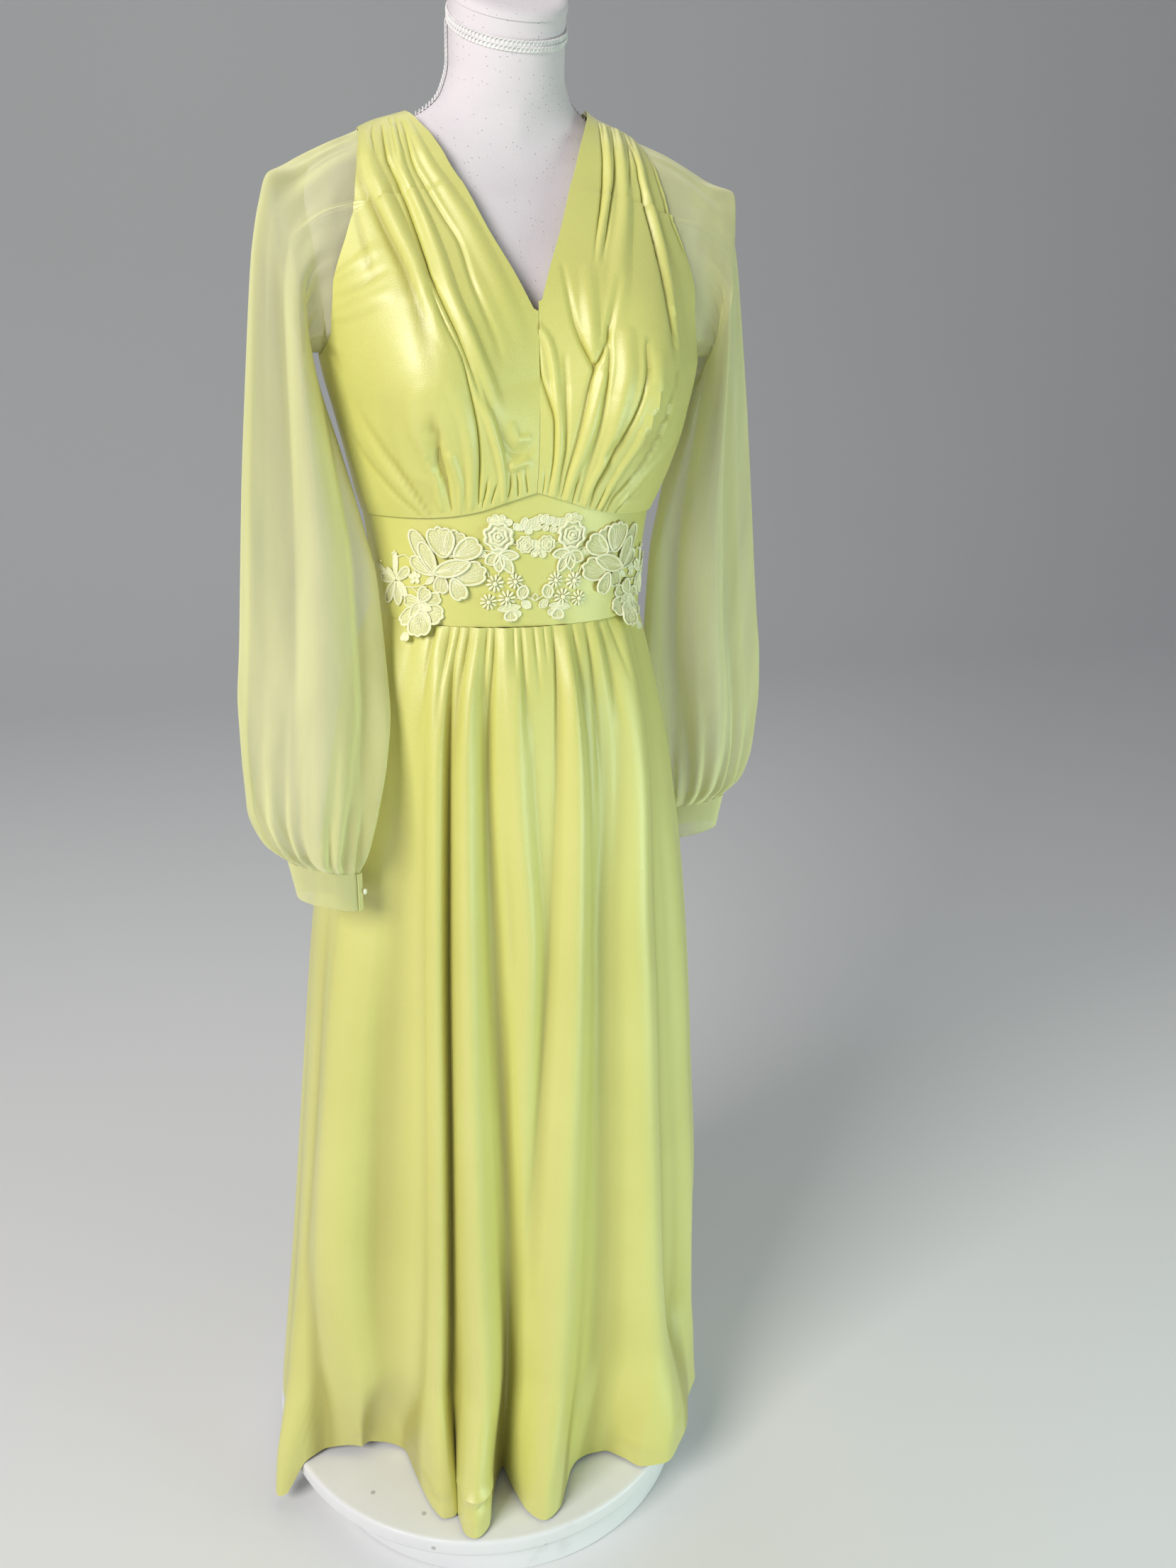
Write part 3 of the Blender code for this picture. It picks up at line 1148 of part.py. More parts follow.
def add_lace(name, flowers, leaves, mirror):
    """Flat lace cut from its motifs' outline, then laid on the band."""
    margin = 0.006
    reach_x = [f.along for f in flowers] + [f.along for f in leaves]
    reach_y = [f.height for f in flowers] + [f.height for f in leaves]
    span = 0.036
    xs = np.arange(min(reach_x) - span, max(reach_x) + span, LACE_CELL)
    ys = np.arange(min(reach_y) - span, max(reach_y) + span, LACE_CELL)
    grid_x, grid_y = np.meshgrid(xs, ys)
    fused = np.zeros(grid_x.shape)
    for flower in flowers:
        fused += np.exp(-flower_distance(flower, grid_x, grid_y) / LACE_FUSING)
    for leaf in leaves:
        fused += np.exp(-leaf_distance(leaf, grid_x, grid_y) / LACE_FUSING)
    field = -LACE_FUSING * np.log(fused + 1e-30)
    loops = [simplified(loop, LACE_TOLERANCE) for loop in contour_loops(field, xs, ys) if len(loop) > 8]
    loops = [loop for loop in loops if len(loop) >= 3]
    outer = max(loops, key=lambda loop: abs(loop_area(loop)))
    turn = math.copysign(1, loop_area(outer))
    holes = [
        loop for loop in loops
        if loop is not outer and loop_area(loop) * turn < 0 and abs(loop_area(loop)) > margin ** 2 / 2
    ]
    work = bmesh.new()
    edges = []
    for loop in [outer] + holes:
        ring = [work.verts.new((x, y, 0)) for x, y in loop]
        edges += [work.edges.new((a, b)) for a, b in zip(ring, ring[1:] + ring[:1])]
    bmesh.ops.triangle_fill(work, use_beauty=True, use_dissolve=False, edges=edges)
    first = math.floor(xs[0] / LACE_STRIP)
    last = math.ceil(xs[-1] / LACE_STRIP)
    for k in range(first, last + 1):
        geometry = work.verts[:] + work.edges[:] + work.faces[:]
        bmesh.ops.bisect_plane(work, geom=geometry, plane_co=(k * LACE_STRIP, 0, 0), plane_no=(1, 0, 0))
    bmesh.ops.remove_doubles(work, verts=work.verts[:], dist=0.00012)
    bmesh.ops.triangulate(work, faces=work.faces[:])
    work.verts.ensure_lookup_table()
    work.verts.index_update()
    count = len(work.verts)
    lower = [lace_surface(mirror * v.co.x, v.co.y, 0.0) for v in work.verts]
    upper = [lace_surface(mirror * v.co.x, v.co.y, LACE_WALL) for v in work.verts]
    faces = []
    for face in work.faces:
        ring = [v.index for v in face.verts]
        faces.append(tuple(ring))
        faces.append(tuple(k + count for k in reversed(ring)))
    for edge in work.edges:
        if len(edge.link_faces) == 1:
            a, b = (v.index for v in edge.verts)
            faces.append((a, b, b + count, a + count))
    work.free()
    return add_object(name, lower + upper, faces, LACE)


def build_lace():
    add_lace("lace_right", LACE_FLOWERS, LACE_LEAVES, -1)
    add_lace("lace_left", LACE_FLOWERS, LACE_LEAVES, 1)
    add_lace("lace_garland", [], GARLAND_LEAVES, 1)


ARC_TRACK = band_arc_track()


def clear_scene():
    for old in list(bpy.data.objects):
        bpy.data.objects.remove(old, do_unlink=True)


clear_scene()
build_stand()
build_form()
build_braids()
armhole_edges = build_bodice()
build_midriff()
build_skirt()
build_sleeves(armhole_edges)
build_lace()
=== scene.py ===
"""Looks of a maxi dress with sheer bishop sleeves, worn by a limbless dress form on a round stand.

Metres, +Z up, the front of the dress towards -Y, the wearer's left towards +X.
"""

import logging
import math
from dataclasses import dataclass
from enum import Enum
from functools import cache

import bpy
import numpy as np
from mathutils import Matrix, Vector


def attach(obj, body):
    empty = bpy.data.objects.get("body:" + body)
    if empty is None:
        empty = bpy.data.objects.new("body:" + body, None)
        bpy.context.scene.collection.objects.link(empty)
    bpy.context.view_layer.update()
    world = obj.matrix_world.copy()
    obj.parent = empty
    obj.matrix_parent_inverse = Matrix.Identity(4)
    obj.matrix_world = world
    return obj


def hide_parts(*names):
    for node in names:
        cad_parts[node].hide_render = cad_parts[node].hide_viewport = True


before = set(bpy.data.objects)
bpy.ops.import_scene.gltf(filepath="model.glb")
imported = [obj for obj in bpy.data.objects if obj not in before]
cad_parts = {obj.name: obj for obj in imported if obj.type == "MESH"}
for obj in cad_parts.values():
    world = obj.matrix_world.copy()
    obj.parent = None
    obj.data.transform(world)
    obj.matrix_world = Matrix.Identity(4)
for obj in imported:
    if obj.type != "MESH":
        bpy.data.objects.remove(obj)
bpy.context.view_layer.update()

LOG = logging.getLogger("dress")
Array = np.ndarray

MM = 0.001
GAP = 0.0003
SATIN_LIFT = 0.0002
SATIN_WALL = 0.0010
CUFF_WALL = 0.0010
CAD_CUFF_WALL = 0.0018

BODY_X = 0.0075
BODY_Y = -0.017
SKIRT_X = 0.003
EASE = 0.004
SHOULDER_EASE = 0.0006
SHOULDER_LIFT = 0.0016
SHOULDER_SHARE = 0.80
SHOULDER_SEAM_Y = -0.0155
ARMHOLE_SHARE = 0.45
EASE_FADE_Z = 1.30
EASE_FADE = 0.07
BAND_OUT = 0.003
SEAM_REACH = 0.003
SEAM_SHIFT = 0.0001
FAN_SHARE = 0.55
BEYOND_SHARE = 0.45
RISE_SHARE = 0.3
TINY = 1e-12
HALVINGS = 24
STEPS = 4
NEIGHBOURS = 4
NEAR_SOFTENING = 0.0002
TROUGH_POWER = 1.3
RIDGE_POWER = 0.85
STEM_STEPS = 7
PETAL_FOOT = 0.6
PETAL_TIP = 1.12
POINTED_POWER = 1.5
NOTCH_SPAN = 1.8
NOTCH_DEPTH = 0.17
NOTCH_WIDTH = 0.16

FORM_BOTTOM_Z = 0.80
NECK_TOP_Z = 1.497
WAIST_Z = 1.012
SIDE_BAND_TOP_Z = 1.098
PEAK_Z = 1.126
V_POINT_Z = 1.260
UNDERARM_Z = 1.228
ARMHOLE_LOW_Z = 1.245
CHEST_TOP_Z = 1.375
SHOULDER_LOW_Z = 1.34
SHOULDER_HIGH_Z = 1.43
NECK_SEAM_Z = 1.4135
BACK_RISE_Z = 1.462


class Side(Enum):
    """A side of the wearer, valued by the sign of its x."""

    RIGHT = -1
    LEFT = 1

    @property
    def word(self) -> str:
        """The side's name as the nodes write it."""
        return self.name.lower()


class Track:
    """A smooth monotone curve through the values of a table, for whole arrays."""

    def __init__(self, xs: Array, ys: Array) -> None:
        """Stores the curve.

        Args:
            xs: The places where the value is known.
            ys: The values there.
        """
        order = np.argsort(xs)
        self.xs = np.asarray(xs, float)[order]
        self.ys = np.asarray(ys, float)[order]
        steps = np.diff(self.xs)
        slopes = np.diff(self.ys) / steps
        self.tangents = np.zeros(len(self.xs))
        before, after = slopes[:-1], slopes[1:]
        same = before * after > 0
        near = 2 * steps[1:] + steps[:-1]
        far = steps[1:] + 2 * steps[:-1]
        safe_before = np.where(same, before, 1.0)
        safe_after = np.where(same, after, 1.0)
        self.tangents[1:-1] = np.where(same, (near + far) / (near / safe_before + far / safe_after), 0.0)
        self.tangents[0] = slopes[0]
        self.tangents[-1] = slopes[-1]

    def __call__(self, x: Array) -> Array:
        """Reads the curve.

        Args:
            x: Places, of any shape.

        Returns:
            The values there, held constant past the ends.
        """
        x = np.clip(np.asarray(x, float), self.xs[0], self.xs[-1])
        i = np.clip(np.searchsorted(self.xs, x) - 1, 0, len(self.xs) - 2)
        step = self.xs[i + 1] - self.xs[i]
        t = (x - self.xs[i]) / step
        near = (1 + 2 * t) * (1 - t) ** 2 * self.ys[i] + t * (1 - t) ** 2 * step * self.tangents[i]
        far = t * t * (3 - 2 * t) * self.ys[i + 1] + t * t * (t - 1) * step * self.tangents[i + 1]
        return near + far


class Table:
    """Smooth curves over a table's first column, by the other columns' names."""

    def __init__(self, columns: str, rows: list[tuple[float, ...]]) -> None:
        """Stores the curves.

        Args:
            columns: The columns' names, the key first.
            rows: The rows, in any order.
        """
        data = np.array(rows, float)
        names = columns.split()
        self.tracks = {name: Track(data[:, 0], data[:, k]) for k, name in enumerate(names) if k}

    def __getitem__(self, name: str) -> Track:
        """The curve of a column."""
        return self.tracks[name]


def blend(a: Array, b: Array, t: Array) -> Array:
    """A value part of the way from one to the other."""
    return a + (b - a) * t


def ease_in_out(t: Array) -> Array:
    """A soft step from 0 to 1."""
    t = np.clip(t, 0.0, 1.0)
    return t * t * (3 - 2 * t)


def step(value: Array, start: float, span: float) -> Array:
    """A soft step from 0 at a value to 1 a span further on, or further back for a negative span."""
    return ease_in_out((value - start) / span)


def hump(apart: Array) -> Array:
    """A round hump, 1 at no distance and 0 from a distance of 1 on."""
    return np.maximum(0.5 + 0.5 * np.cos(math.pi * np.minimum(apart, 1.0)), 0.0)


def signed_power(value: Array, power: Array) -> Array:
    """A power that keeps the sign."""
    return np.copysign(np.abs(value) ** power, value)


def folded(angle: Array) -> Array:
    """An angle from 0 to 360 degrees as one from -180 to 180."""
    return np.where(angle > 180, angle - 360, angle)


def turned_round(columns: int) -> Array:
    """The angles of a ring's points in degrees, from -180 to 180, in one row from the front."""
    return folded(np.linspace(0, 360, columns, endpoint=False))[None, :]


BODY = Table("z half_width front back centre_y tilt squareness", [
    (0.800, 0.126, 0.078, 0.092, -0.012, 0.0, 2.2),
    (0.830, 0.141, 0.087, 0.103, -0.012, 0.0, 2.2),
    (0.880, 0.145, 0.093, 0.107, -0.014, 0.0, 2.2),
    (0.950, 0.132, 0.094, 0.098, -0.016, 0.0, 2.2),
    (1.012, 0.1195, 0.100, 0.080, -0.017, 0.0, 2.2),
    (1.060, 0.1205, 0.1035, 0.080, -0.017, 0.0, 2.2),
    (1.110, 0.1265, 0.1035, 0.083, -0.017, 0.0, 2.2),
    (1.170, 0.138, 0.100, 0.088, -0.017, 0.0, 2.2),
    (1.220, 0.150, 0.097, 0.090, -0.017, 0.0, 2.2),
    (1.270, 0.157, 0.096, 0.092, -0.017, 0.0, 2.2),
    (1.320, 0.165, 0.077, 0.092, -0.017, 0.0, 2.1),
    (1.350, 0.170, 0.063, 0.086, -0.017, 0.0, 2.0),
    (1.372, 0.166, 0.052, 0.072, -0.016, 0.0, 1.9),
    (1.388, 0.142, 0.048, 0.060, -0.015, 0.0, 1.6),
    (1.400, 0.112, 0.046, 0.054, -0.015, 0.0, 1.4),
    (1.412, 0.0755, 0.046, 0.052, -0.015, 0.0, 1.5),
    (1.428, 0.0530, 0.046, 0.052, -0.017, 0.12, 1.9),
    (1.450, 0.0465, 0.046, 0.050, -0.019, 0.30, 2.1),
    (1.480, 0.0465, 0.046, 0.049, -0.020, 0.50, 2.1),
    (1.497, 0.0475, 0.047, 0.050, -0.020, 0.50, 2.1),
])
FORM_FIT = Table("z out drop", [
    (0.800, -0.010, 0.0), (0.812, -0.002, 0.0), (0.985, -0.006, 0.0), (1.012, -0.001, 0.0),
    (1.050, 0.0018, 0.0), (1.110, 0.0006, 0.0), (1.220, 0.0, 0.0), (1.350, -0.004, 0.0030),
    (1.380, -0.004, 0.0050), (1.403, -0.001, 0.0035), (1.414, 0.0, 0.0025), (1.431, 0.0, 0.0),
    (1.497, 0.0, 0.0),
])
CAP_PROFILE = [(GAP, 0.0008), (0.0015, 0.0010), (0.0035, 0.0010), (0.0050, 0.0007), (0.0064, -0.0004),
               (0.0075, -0.0020), (0.0082, -0.0040), (0.0085, -0.0065)]
BAND_TOP = Table("angle rise", [
    (0, 0.028), (10, 0.020), (20, 0.0125), (35, 0.007), (60, 0.0035), (90, 0.0), (180, 0.0)])
NECKLINE = Table("z right left", [
    (1.2600, 0.0000, 0.0000), (1.2750, 0.0090, 0.0040), (1.2940, 0.0190, 0.0110), (1.3220, 0.0340, 0.0235),
    (1.3510, 0.0475, 0.0355), (1.3700, 0.0580, 0.0430), (1.4135, 0.0800, 0.0610)])
ARMHOLE = Table("z right left", [
    (1.245, 0.1500, 0.1500), (1.280, 0.1490, 0.1490), (1.320, 0.1390, 0.1385), (1.360, 0.1280, 0.1225),
    (1.385, 0.1240, 0.1120), (1.400, 0.1200, 0.1090)])
# Places round an armhole from the shoulder down, and the shares of the way up a panel there.
ARMHOLE_WAY = (np.array([0, 2, 4, 6, 9, 12, 15]) / 30, [1.0, 0.94, 0.88, 0.80, 0.69, 0.57, 0.45])
FAN_EDGE = Table("z reach", [
    (1.100, 0.080), (1.200, 0.076), (1.270, 0.080), (1.320, 0.094), (1.360, 0.108), (1.385, 0.113),
    (1.400, 0.113)])
BLOUSE = Table("z right left", [
    (1.098, 0.000, 0.000), (1.112, 0.001, 0.003), (1.140, 0.002, 0.009), (1.180, 0.003, 0.014),
    (1.225, 0.003, 0.013), (1.270, 0.002, 0.006), (1.330, 0.001, 0.001)])
FRONT_FULLNESS = Table("share lift", [
    (0.0, 0.0015), (0.06, 0.0035), (0.3, 0.0050), (0.8, 0.0042), (0.95, 0.0026), (1.0, 0.0018)])
GATHER_FULLNESS = Table("z lift", [(0.80, 0.0), (0.90, 0.0026), (0.985, 0.0042), (1.012, 0.0016)])
GATHER_FADE = Table("way share", [(0.0, 0.35), (0.14, 1.0), (0.45, 0.75), (1.0, 0.0)])
FRONT_ANGLES = Table("share angle", [(0.0, -90.0), (0.17, -48.0), (0.86, 50.0), (1.0, 90.0)])
SKIRT = Table("z right left front back centre_y", [
    (0.000, 0.250, 0.2255, 0.147, 0.190, 0.008),
    (0.060, 0.248, 0.2265, 0.147, 0.190, 0.008),
    (0.150, 0.2395, 0.2320, 0.146, 0.187, 0.005),
    (0.300, 0.2235, 0.2310, 0.144, 0.180, 0.000),
    (0.500, 0.2045, 0.2150, 0.140, 0.168, -0.005),
    (0.700, 0.1850, 0.1940, 0.135, 0.150, -0.010),
    (0.850, 0.1635, 0.1690, 0.128, 0.132, -0.015),
    (0.950, 0.1435, 0.145, 0.117, 0.108, -0.017),
    (1.013, 0.1185, 0.1270, 0.1035, 0.084, -0.017),
])
FOLD_COLUMNS = "z angle half_width height"
FRONT_FOLDS = {
    "side_panel": Table(FOLD_COLUMNS, [
        (0.06, -46, 17, -0.020), (0.20, -55, 15, 0.006), (0.36, -60, 15, 0.015), (0.60, -60, 14, 0.011),
        (0.74, -60, 14, 0.004), (0.90, -58, 16, 0.001)]),
    "trailing_corner": Table(FOLD_COLUMNS, [
        (0.02, -69, 8.0, 0.042), (0.07, -69, 8.0, 0.038), (0.17, -73, 11, 0.014), (0.36, -78, 12, 0.003),
        (0.60, -80, 10, 0.0)]),
    "inner_hollow": Table(FOLD_COLUMNS, [
        (0.06, -33, 9, -0.022), (0.20, -37, 10, -0.007), (0.36, -40, 12, -0.011), (0.60, -40, 11, -0.009),
        (0.74, -40, 9, -0.005), (0.90, -43, 8, -0.002)]),
    "narrow_fold": Table(FOLD_COLUMNS, [
        (0.06, -22.5, 6.0, 0.056), (0.20, -23.4, 5.0, 0.014), (0.36, -24.3, 4.5, 0.010),
        (0.70, -27.5, 4.5, 0.008), (0.91, -31.5, 4.5, 0.006), (1.0, -33.0, 4.0, 0.002)]),
    "front_fold": Table(FOLD_COLUMNS, [
        (0.06, -15.2, 6.2, 0.074), (0.20, -12.6, 7.0, 0.026), (0.36, -14.5, 6.5, 0.018),
        (0.70, -18.5, 5.5, 0.013), (0.91, -21.6, 5.0, 0.008), (1.0, -22.5, 4.0, 0.002)]),
    "deep_valley": Table(FOLD_COLUMNS, [
        (0.06, -5.6, 4.0, -0.004), (0.20, -5.2, 3.6, -0.012), (0.36, -5.6, 4.6, -0.010),
        (0.70, -10.7, 4.5, -0.007), (0.91, -15.1, 3.5, -0.005), (1.0, -16.0, 3.0, 0.0)]),
    "dark_line": Table(FOLD_COLUMNS, [
        (0.06, -20.6, 2.0, -0.020), (0.20, -20.9, 1.9, -0.012), (0.36, -21.8, 1.9, -0.011),
        (0.70, -25.0, 1.9, -0.009), (0.91, -28.0, 1.8, -0.005), (1.0, -29.0, 1.6, 0.0)]),
    "fading_fold": Table(FOLD_COLUMNS, [
        (0.34, -2.0, 4.0, 0.0), (0.50, -2.0, 4.5, 0.004), (0.70, -1.5, 5.0, 0.008),
        (0.91, -6.0, 6.0, 0.006), (1.0, -6.5, 4.0, 0.002)]),
    "middle_fold": Table(FOLD_COLUMNS, [
        (0.06, 2.2, 7.6, 0.068), (0.20, 5.6, 9.5, 0.026), (0.36, 7.3, 9.0, 0.020), (0.70, 11.0, 7.0, 0.014),
        (0.91, 13.0, 6.0, 0.009), (1.0, 13.0, 4.0, 0.002)]),
    "shaded_step": Table(FOLD_COLUMNS, [
        (0.06, 15.0, 7.0, 0.010), (0.20, 19.0, 4.0, -0.004), (0.36, 19.5, 4.0, -0.0035),
        (0.70, 20.0, 3.5, -0.003), (0.91, 24.5, 4.5, -0.002), (1.0, 25.0, 3.0, 0.0)]),
    "left_fold": Table(FOLD_COLUMNS, [
        (0.06, 38.0, 19.0, 0.070), (0.20, 35.0, 13.0, 0.028), (0.36, 33.0, 11.0, 0.020),
        (0.70, 33.0, 10.5, 0.014), (0.91, 38.5, 9.0, 0.007), (1.0, 39.0, 5.0, 0.002)]),
    "left_side_fold": Table(FOLD_COLUMNS, [
        (0.06, 62.0, 9.0, 0.030), (0.20, 60.0, 9.0, 0.010), (0.36, 58.0, 9.0, 0.006),
        (0.70, 58.0, 9.0, 0.003), (0.91, 58.0, 8.0, 0.0)]),
}
# Hanging folds of each back panel: share of its width at top and foot, half width, height in mm, top.
BACK_FOLDS = {
    Side.RIGHT: [(0.09, 0.12, 0.11, 7, 0.80), (0.29, 0.35, 0.14, 11, 0.95), (0.50, 0.56, 0.09, 6, 0.60),
                 (0.66, 0.74, 0.13, 10, 0.985), (0.88, 0.92, 0.08, 6, 0.72)],
    Side.LEFT: [(0.13, 0.10, 0.12, 9, 0.92), (0.37, 0.31, 0.10, 6, 0.66), (0.53, 0.55, 0.15, 11, 0.97),
                (0.82, 0.78, 0.11, 8, 0.84), (0.93, 0.94, 0.06, 4, 0.50)],
}
GATHERS = [
    (-39.7, -37.0, 0.930, 1.8, -2.2), (-32.4, -31.5, 0.900, 1.6, -3.0), (-28.5, -29.0, 0.955, 1.3, -2.4),
    (-24.3, -25.5, 0.880, 1.6, -3.4), (-17.1, -17.5, 0.940, 1.4, -2.8), (-14.0, -14.0, 0.860, 1.7, -3.6),
    (-6.5, -6.0, 0.965, 1.2, -2.0), (-3.4, -2.7, 0.900, 1.7, -3.4), (1.7, 2.5, 0.950, 1.3, -2.4),
    (5.6, 5.6, 0.972, 1.0, -1.6), (9.5, 7.5, 0.840, 1.8, -3.6), (17.8, 18.0, 0.930, 1.5, -2.6),
    (23.9, 22.0, 0.840, 1.8, -3.4), (31.0, 33.0, 0.900, 1.8, -2.6), (36.0, 40.0, 0.950, 1.5, -1.6),
    (-36.5, -35.0, 0.860, 3.0, 2.6), (-20.6, -22.0, 0.870, 2.4, 3.0), (-10.0, -10.0, 0.900, 2.6, 2.8),
    (13.7, 13.0, 0.860, 3.0, 3.2), (27.5, 28.0, 0.930, 2.4, 2.0), (42.0, 44.0, 0.870, 4.5, 2.6),
]
FRONT_HEM = Table("angle z", [
    (-90, 0.062), (-78, 0.062), (-75, 0.050), (-73, 0.028), (-71, 0.019), (-68.5, 0.018), (-66.5, 0.024),
    (-65, 0.045), (-63.5, 0.0615), (-46, 0.072), (-36, 0.066), (-29, 0.0605), (-24, 0.0605), (-20, 0.064),
    (-14, 0.0605), (-5, 0.064), (4, 0.0605), (18, 0.063), (24, 0.062), (36, 0.0605), (48, 0.061),
    (55, 0.066), (62, 0.064), (72, 0.078), (90, 0.070)])
HEM_PLAN = Table("angle x y", [
    (-52, -0.204, -0.076), (-44, -0.179, -0.067), (-36, -0.148, -0.071), (-30, -0.124, -0.084),
    (-27.5, -0.117, -0.122), (-25.6, -0.108, -0.163), (-24.0, -0.098, -0.181), (-22.6, -0.088, -0.182),
    (-21.2, -0.080, -0.170), (-19.5, -0.077, -0.152), (-17.6, -0.083, -0.172), (-15.6, -0.081, -0.203),
    (-13.5, -0.070, -0.213), (-11.4, -0.056, -0.204), (-9.4, -0.045, -0.174), (-7.0, -0.034, -0.150),
    (-4.5, -0.024, -0.138), (-2.0, -0.019, -0.166), (1.0, -0.010, -0.198), (4.5, 0.005, -0.212),
    (8.0, 0.022, -0.203), (11.0, 0.036, -0.180), (14.5, 0.048, -0.160), (18.0, 0.059, -0.151),
    (21.5, 0.075, -0.147), (25.0, 0.090, -0.147), (30.0, 0.109, -0.161), (34.0, 0.125, -0.177),
    (40.0, 0.151, -0.180), (48.0, 0.178, -0.158), (58.0, 0.208, -0.120), (66.0, 0.222, -0.085)])
SLEEVE_FOLDS = Table("turn height", [
    (-0.06, 0.3), (0.00, -0.5), (0.06, 0.8), (0.12, -0.3), (0.19, -0.9), (0.26, 0.9), (0.33, 0.1),
    (0.39, -0.9), (0.46, 0.7), (0.54, 0.2), (0.62, -0.8), (0.70, 0.6), (0.80, -0.5), (0.88, 0.9),
    (0.94, 0.3), (1.00, -0.5), (1.06, 0.8)])
WRIST_FOLDS = Table("turn height", [
    (-0.03, 0.9), (0.00, -0.6), (0.022, 1.0), (0.05, -0.8), (0.075, 0.5), (0.10, -1.0), (0.14, 1.0),
    (0.17, -0.6), (0.19, 0.7), (0.22, -1.0), (0.26, 0.9), (0.29, -0.7), (0.31, 0.6), (0.345, -1.0),
    (0.385, 1.0), (0.42, -0.8), (0.445, 0.5), (0.47, -1.0), (0.51, 0.9), (0.55, -0.9), (0.59, 0.8),
    (0.63, -1.0), (0.67, 1.0), (0.71, -0.7), (0.74, 0.6), (0.78, -1.0), (0.82, 0.9), (0.86, -0.8),
    (0.89, 0.7), (0.93, -1.0), (0.97, 0.9), (1.0, -0.6), (1.022, 1.0)])
# A sleeve's rings: outer x, z, inner x, z, centre y, half depth, twist, fold, gather, blend.
SLEEVES = {
    Side.RIGHT: [
        (0.1500, 1.3830, 0.1655, 1.243, -0.016, 0.054, 0.0, 0.000, 0.0015, 0.35),
        (0.1780, 1.3710, 0.1680, 1.224, -0.016, 0.055, 0.0, 0.001, 0.0010, 0.75),
        (0.1940, 1.3620, 0.1650, 1.203, -0.016, 0.055, 0.0, 0.002, 0.0, 1.0),
        (0.2025, 1.3400, 0.1600, 1.188, -0.018, 0.054, 0.0, 0.002, 0.0, 1.0),
        (0.2095, 1.3050, 0.1530, 1.165, -0.021, 0.052, 0.0, 0.003, 0.0, 1.0),
        (0.2215, 1.1900, 0.1370, 1.090, -0.034, 0.048, 0.005, 0.004, 0.0, 1.0),
        (0.2280, 1.1250, 0.1300, 1.045, -0.043, 0.047, 0.010, 0.004, 0.0, 1.0),
        (0.2395, 0.9950, 0.1290, 0.950, -0.068, 0.047, 0.020, 0.004, 0.0, 1.0),
        (0.2455, 0.9400, 0.1340, 0.905, -0.081, 0.047, 0.022, 0.004, 0.0005, 1.0),
        (0.2480, 0.8950, 0.1400, 0.870, -0.093, 0.044, 0.020, 0.003, 0.0010, 1.0),
        (0.2465, 0.8560, 0.1470, 0.840, -0.101, 0.038, 0.018, 0.002, 0.0020, 1.0),
        (0.2345, 0.8245, 0.1545, 0.812, -0.107, 0.028, 0.012, 0.001, 0.0026, 1.0),
        (0.2170, 0.8075, 0.1580, 0.797, -0.110, 0.0155, 0.008, 0.0, 0.0008, 1.0),
    ],
    Side.LEFT: [
        (0.1460, 1.3850, 0.1735, 1.2445, -0.016, 0.054, 0.0, 0.000, 0.0015, 0.35),
        (0.1775, 1.3720, 0.1770, 1.2245, -0.016, 0.055, 0.0, 0.001, 0.0010, 0.75),
        (0.1965, 1.3640, 0.1735, 1.203, -0.016, 0.055, 0.0, 0.002, 0.0, 1.0),
        (0.1975, 1.3400, 0.1720, 1.188, -0.015, 0.054, 0.0, 0.002, 0.0, 1.0),
        (0.2040, 1.3080, 0.1690, 1.165, -0.013, 0.052, 0.0, 0.003, 0.0, 1.0),
        (0.2240, 1.1900, 0.1570, 1.090, -0.004, 0.048, 0.0, 0.004, 0.0, 1.0),
        (0.2355, 1.1200, 0.1530, 1.045, 0.003, 0.047, 0.0, 0.004, 0.0, 1.0),
        (0.2565, 0.9950, 0.1560, 0.950, 0.017, 0.047, 0.0, 0.004, 0.0, 1.0),
        (0.2680, 0.9350, 0.1640, 0.900, 0.024, 0.047, 0.0, 0.004, 0.0005, 1.0),
        (0.2755, 0.8800, 0.1720, 0.855, 0.030, 0.044, 0.0, 0.003, 0.0010, 1.0),
        (0.2770, 0.8350, 0.1800, 0.815, 0.034, 0.038, 0.0, 0.002, 0.0020, 1.0),
        (0.2715, 0.7975, 0.1870, 0.785, 0.037, 0.028, 0.0, 0.001, 0.0026, 1.0),
        (0.2560, 0.7750, 0.1910, 0.765, 0.038, 0.0155, 0.0, 0.0, 0.0008, 1.0),
    ],
}


@dataclass(frozen=True)
class Shoulder:
    """Where a shoulder seam starts at the neck and ends at the sleeve."""

    neck_x: float
    end_x: float
    end_z: float


SHOULDERS = {Side.RIGHT: Shoulder(0.083, 0.121, 1.3965), Side.LEFT: Shoulder(0.066, 0.109, 1.4000)}


@dataclass(frozen=True)
class Bust:
    """The swell of the general figure's chest."""

    angle: float = 30.0
    z: float = 1.212
    angle_spread: float = 17.0
    z_spread: float = 0.040
    height: float = 0.034
    upper_stretch: float = 1.25
    spread_share: float = 0.25
    spread_angle: float = 15.0

    def swell(self, angle: Array, z: Array) -> Array:
        """How far the chest swells out at an angle and height.

        Args:
            angle: Degrees from the front, positive to the wearer's left.
            z: Height.

        Returns:
            How far the chest swells out there.
        """
        across = (np.abs(angle) - self.angle) / self.angle_spread
        spread = np.where(z > self.z, self.upper_stretch, 1.0) * self.z_spread
        along = (z - self.z) / spread
        return self.height * np.exp(-0.5 * (across * across + along * along))


BUST = Bust()


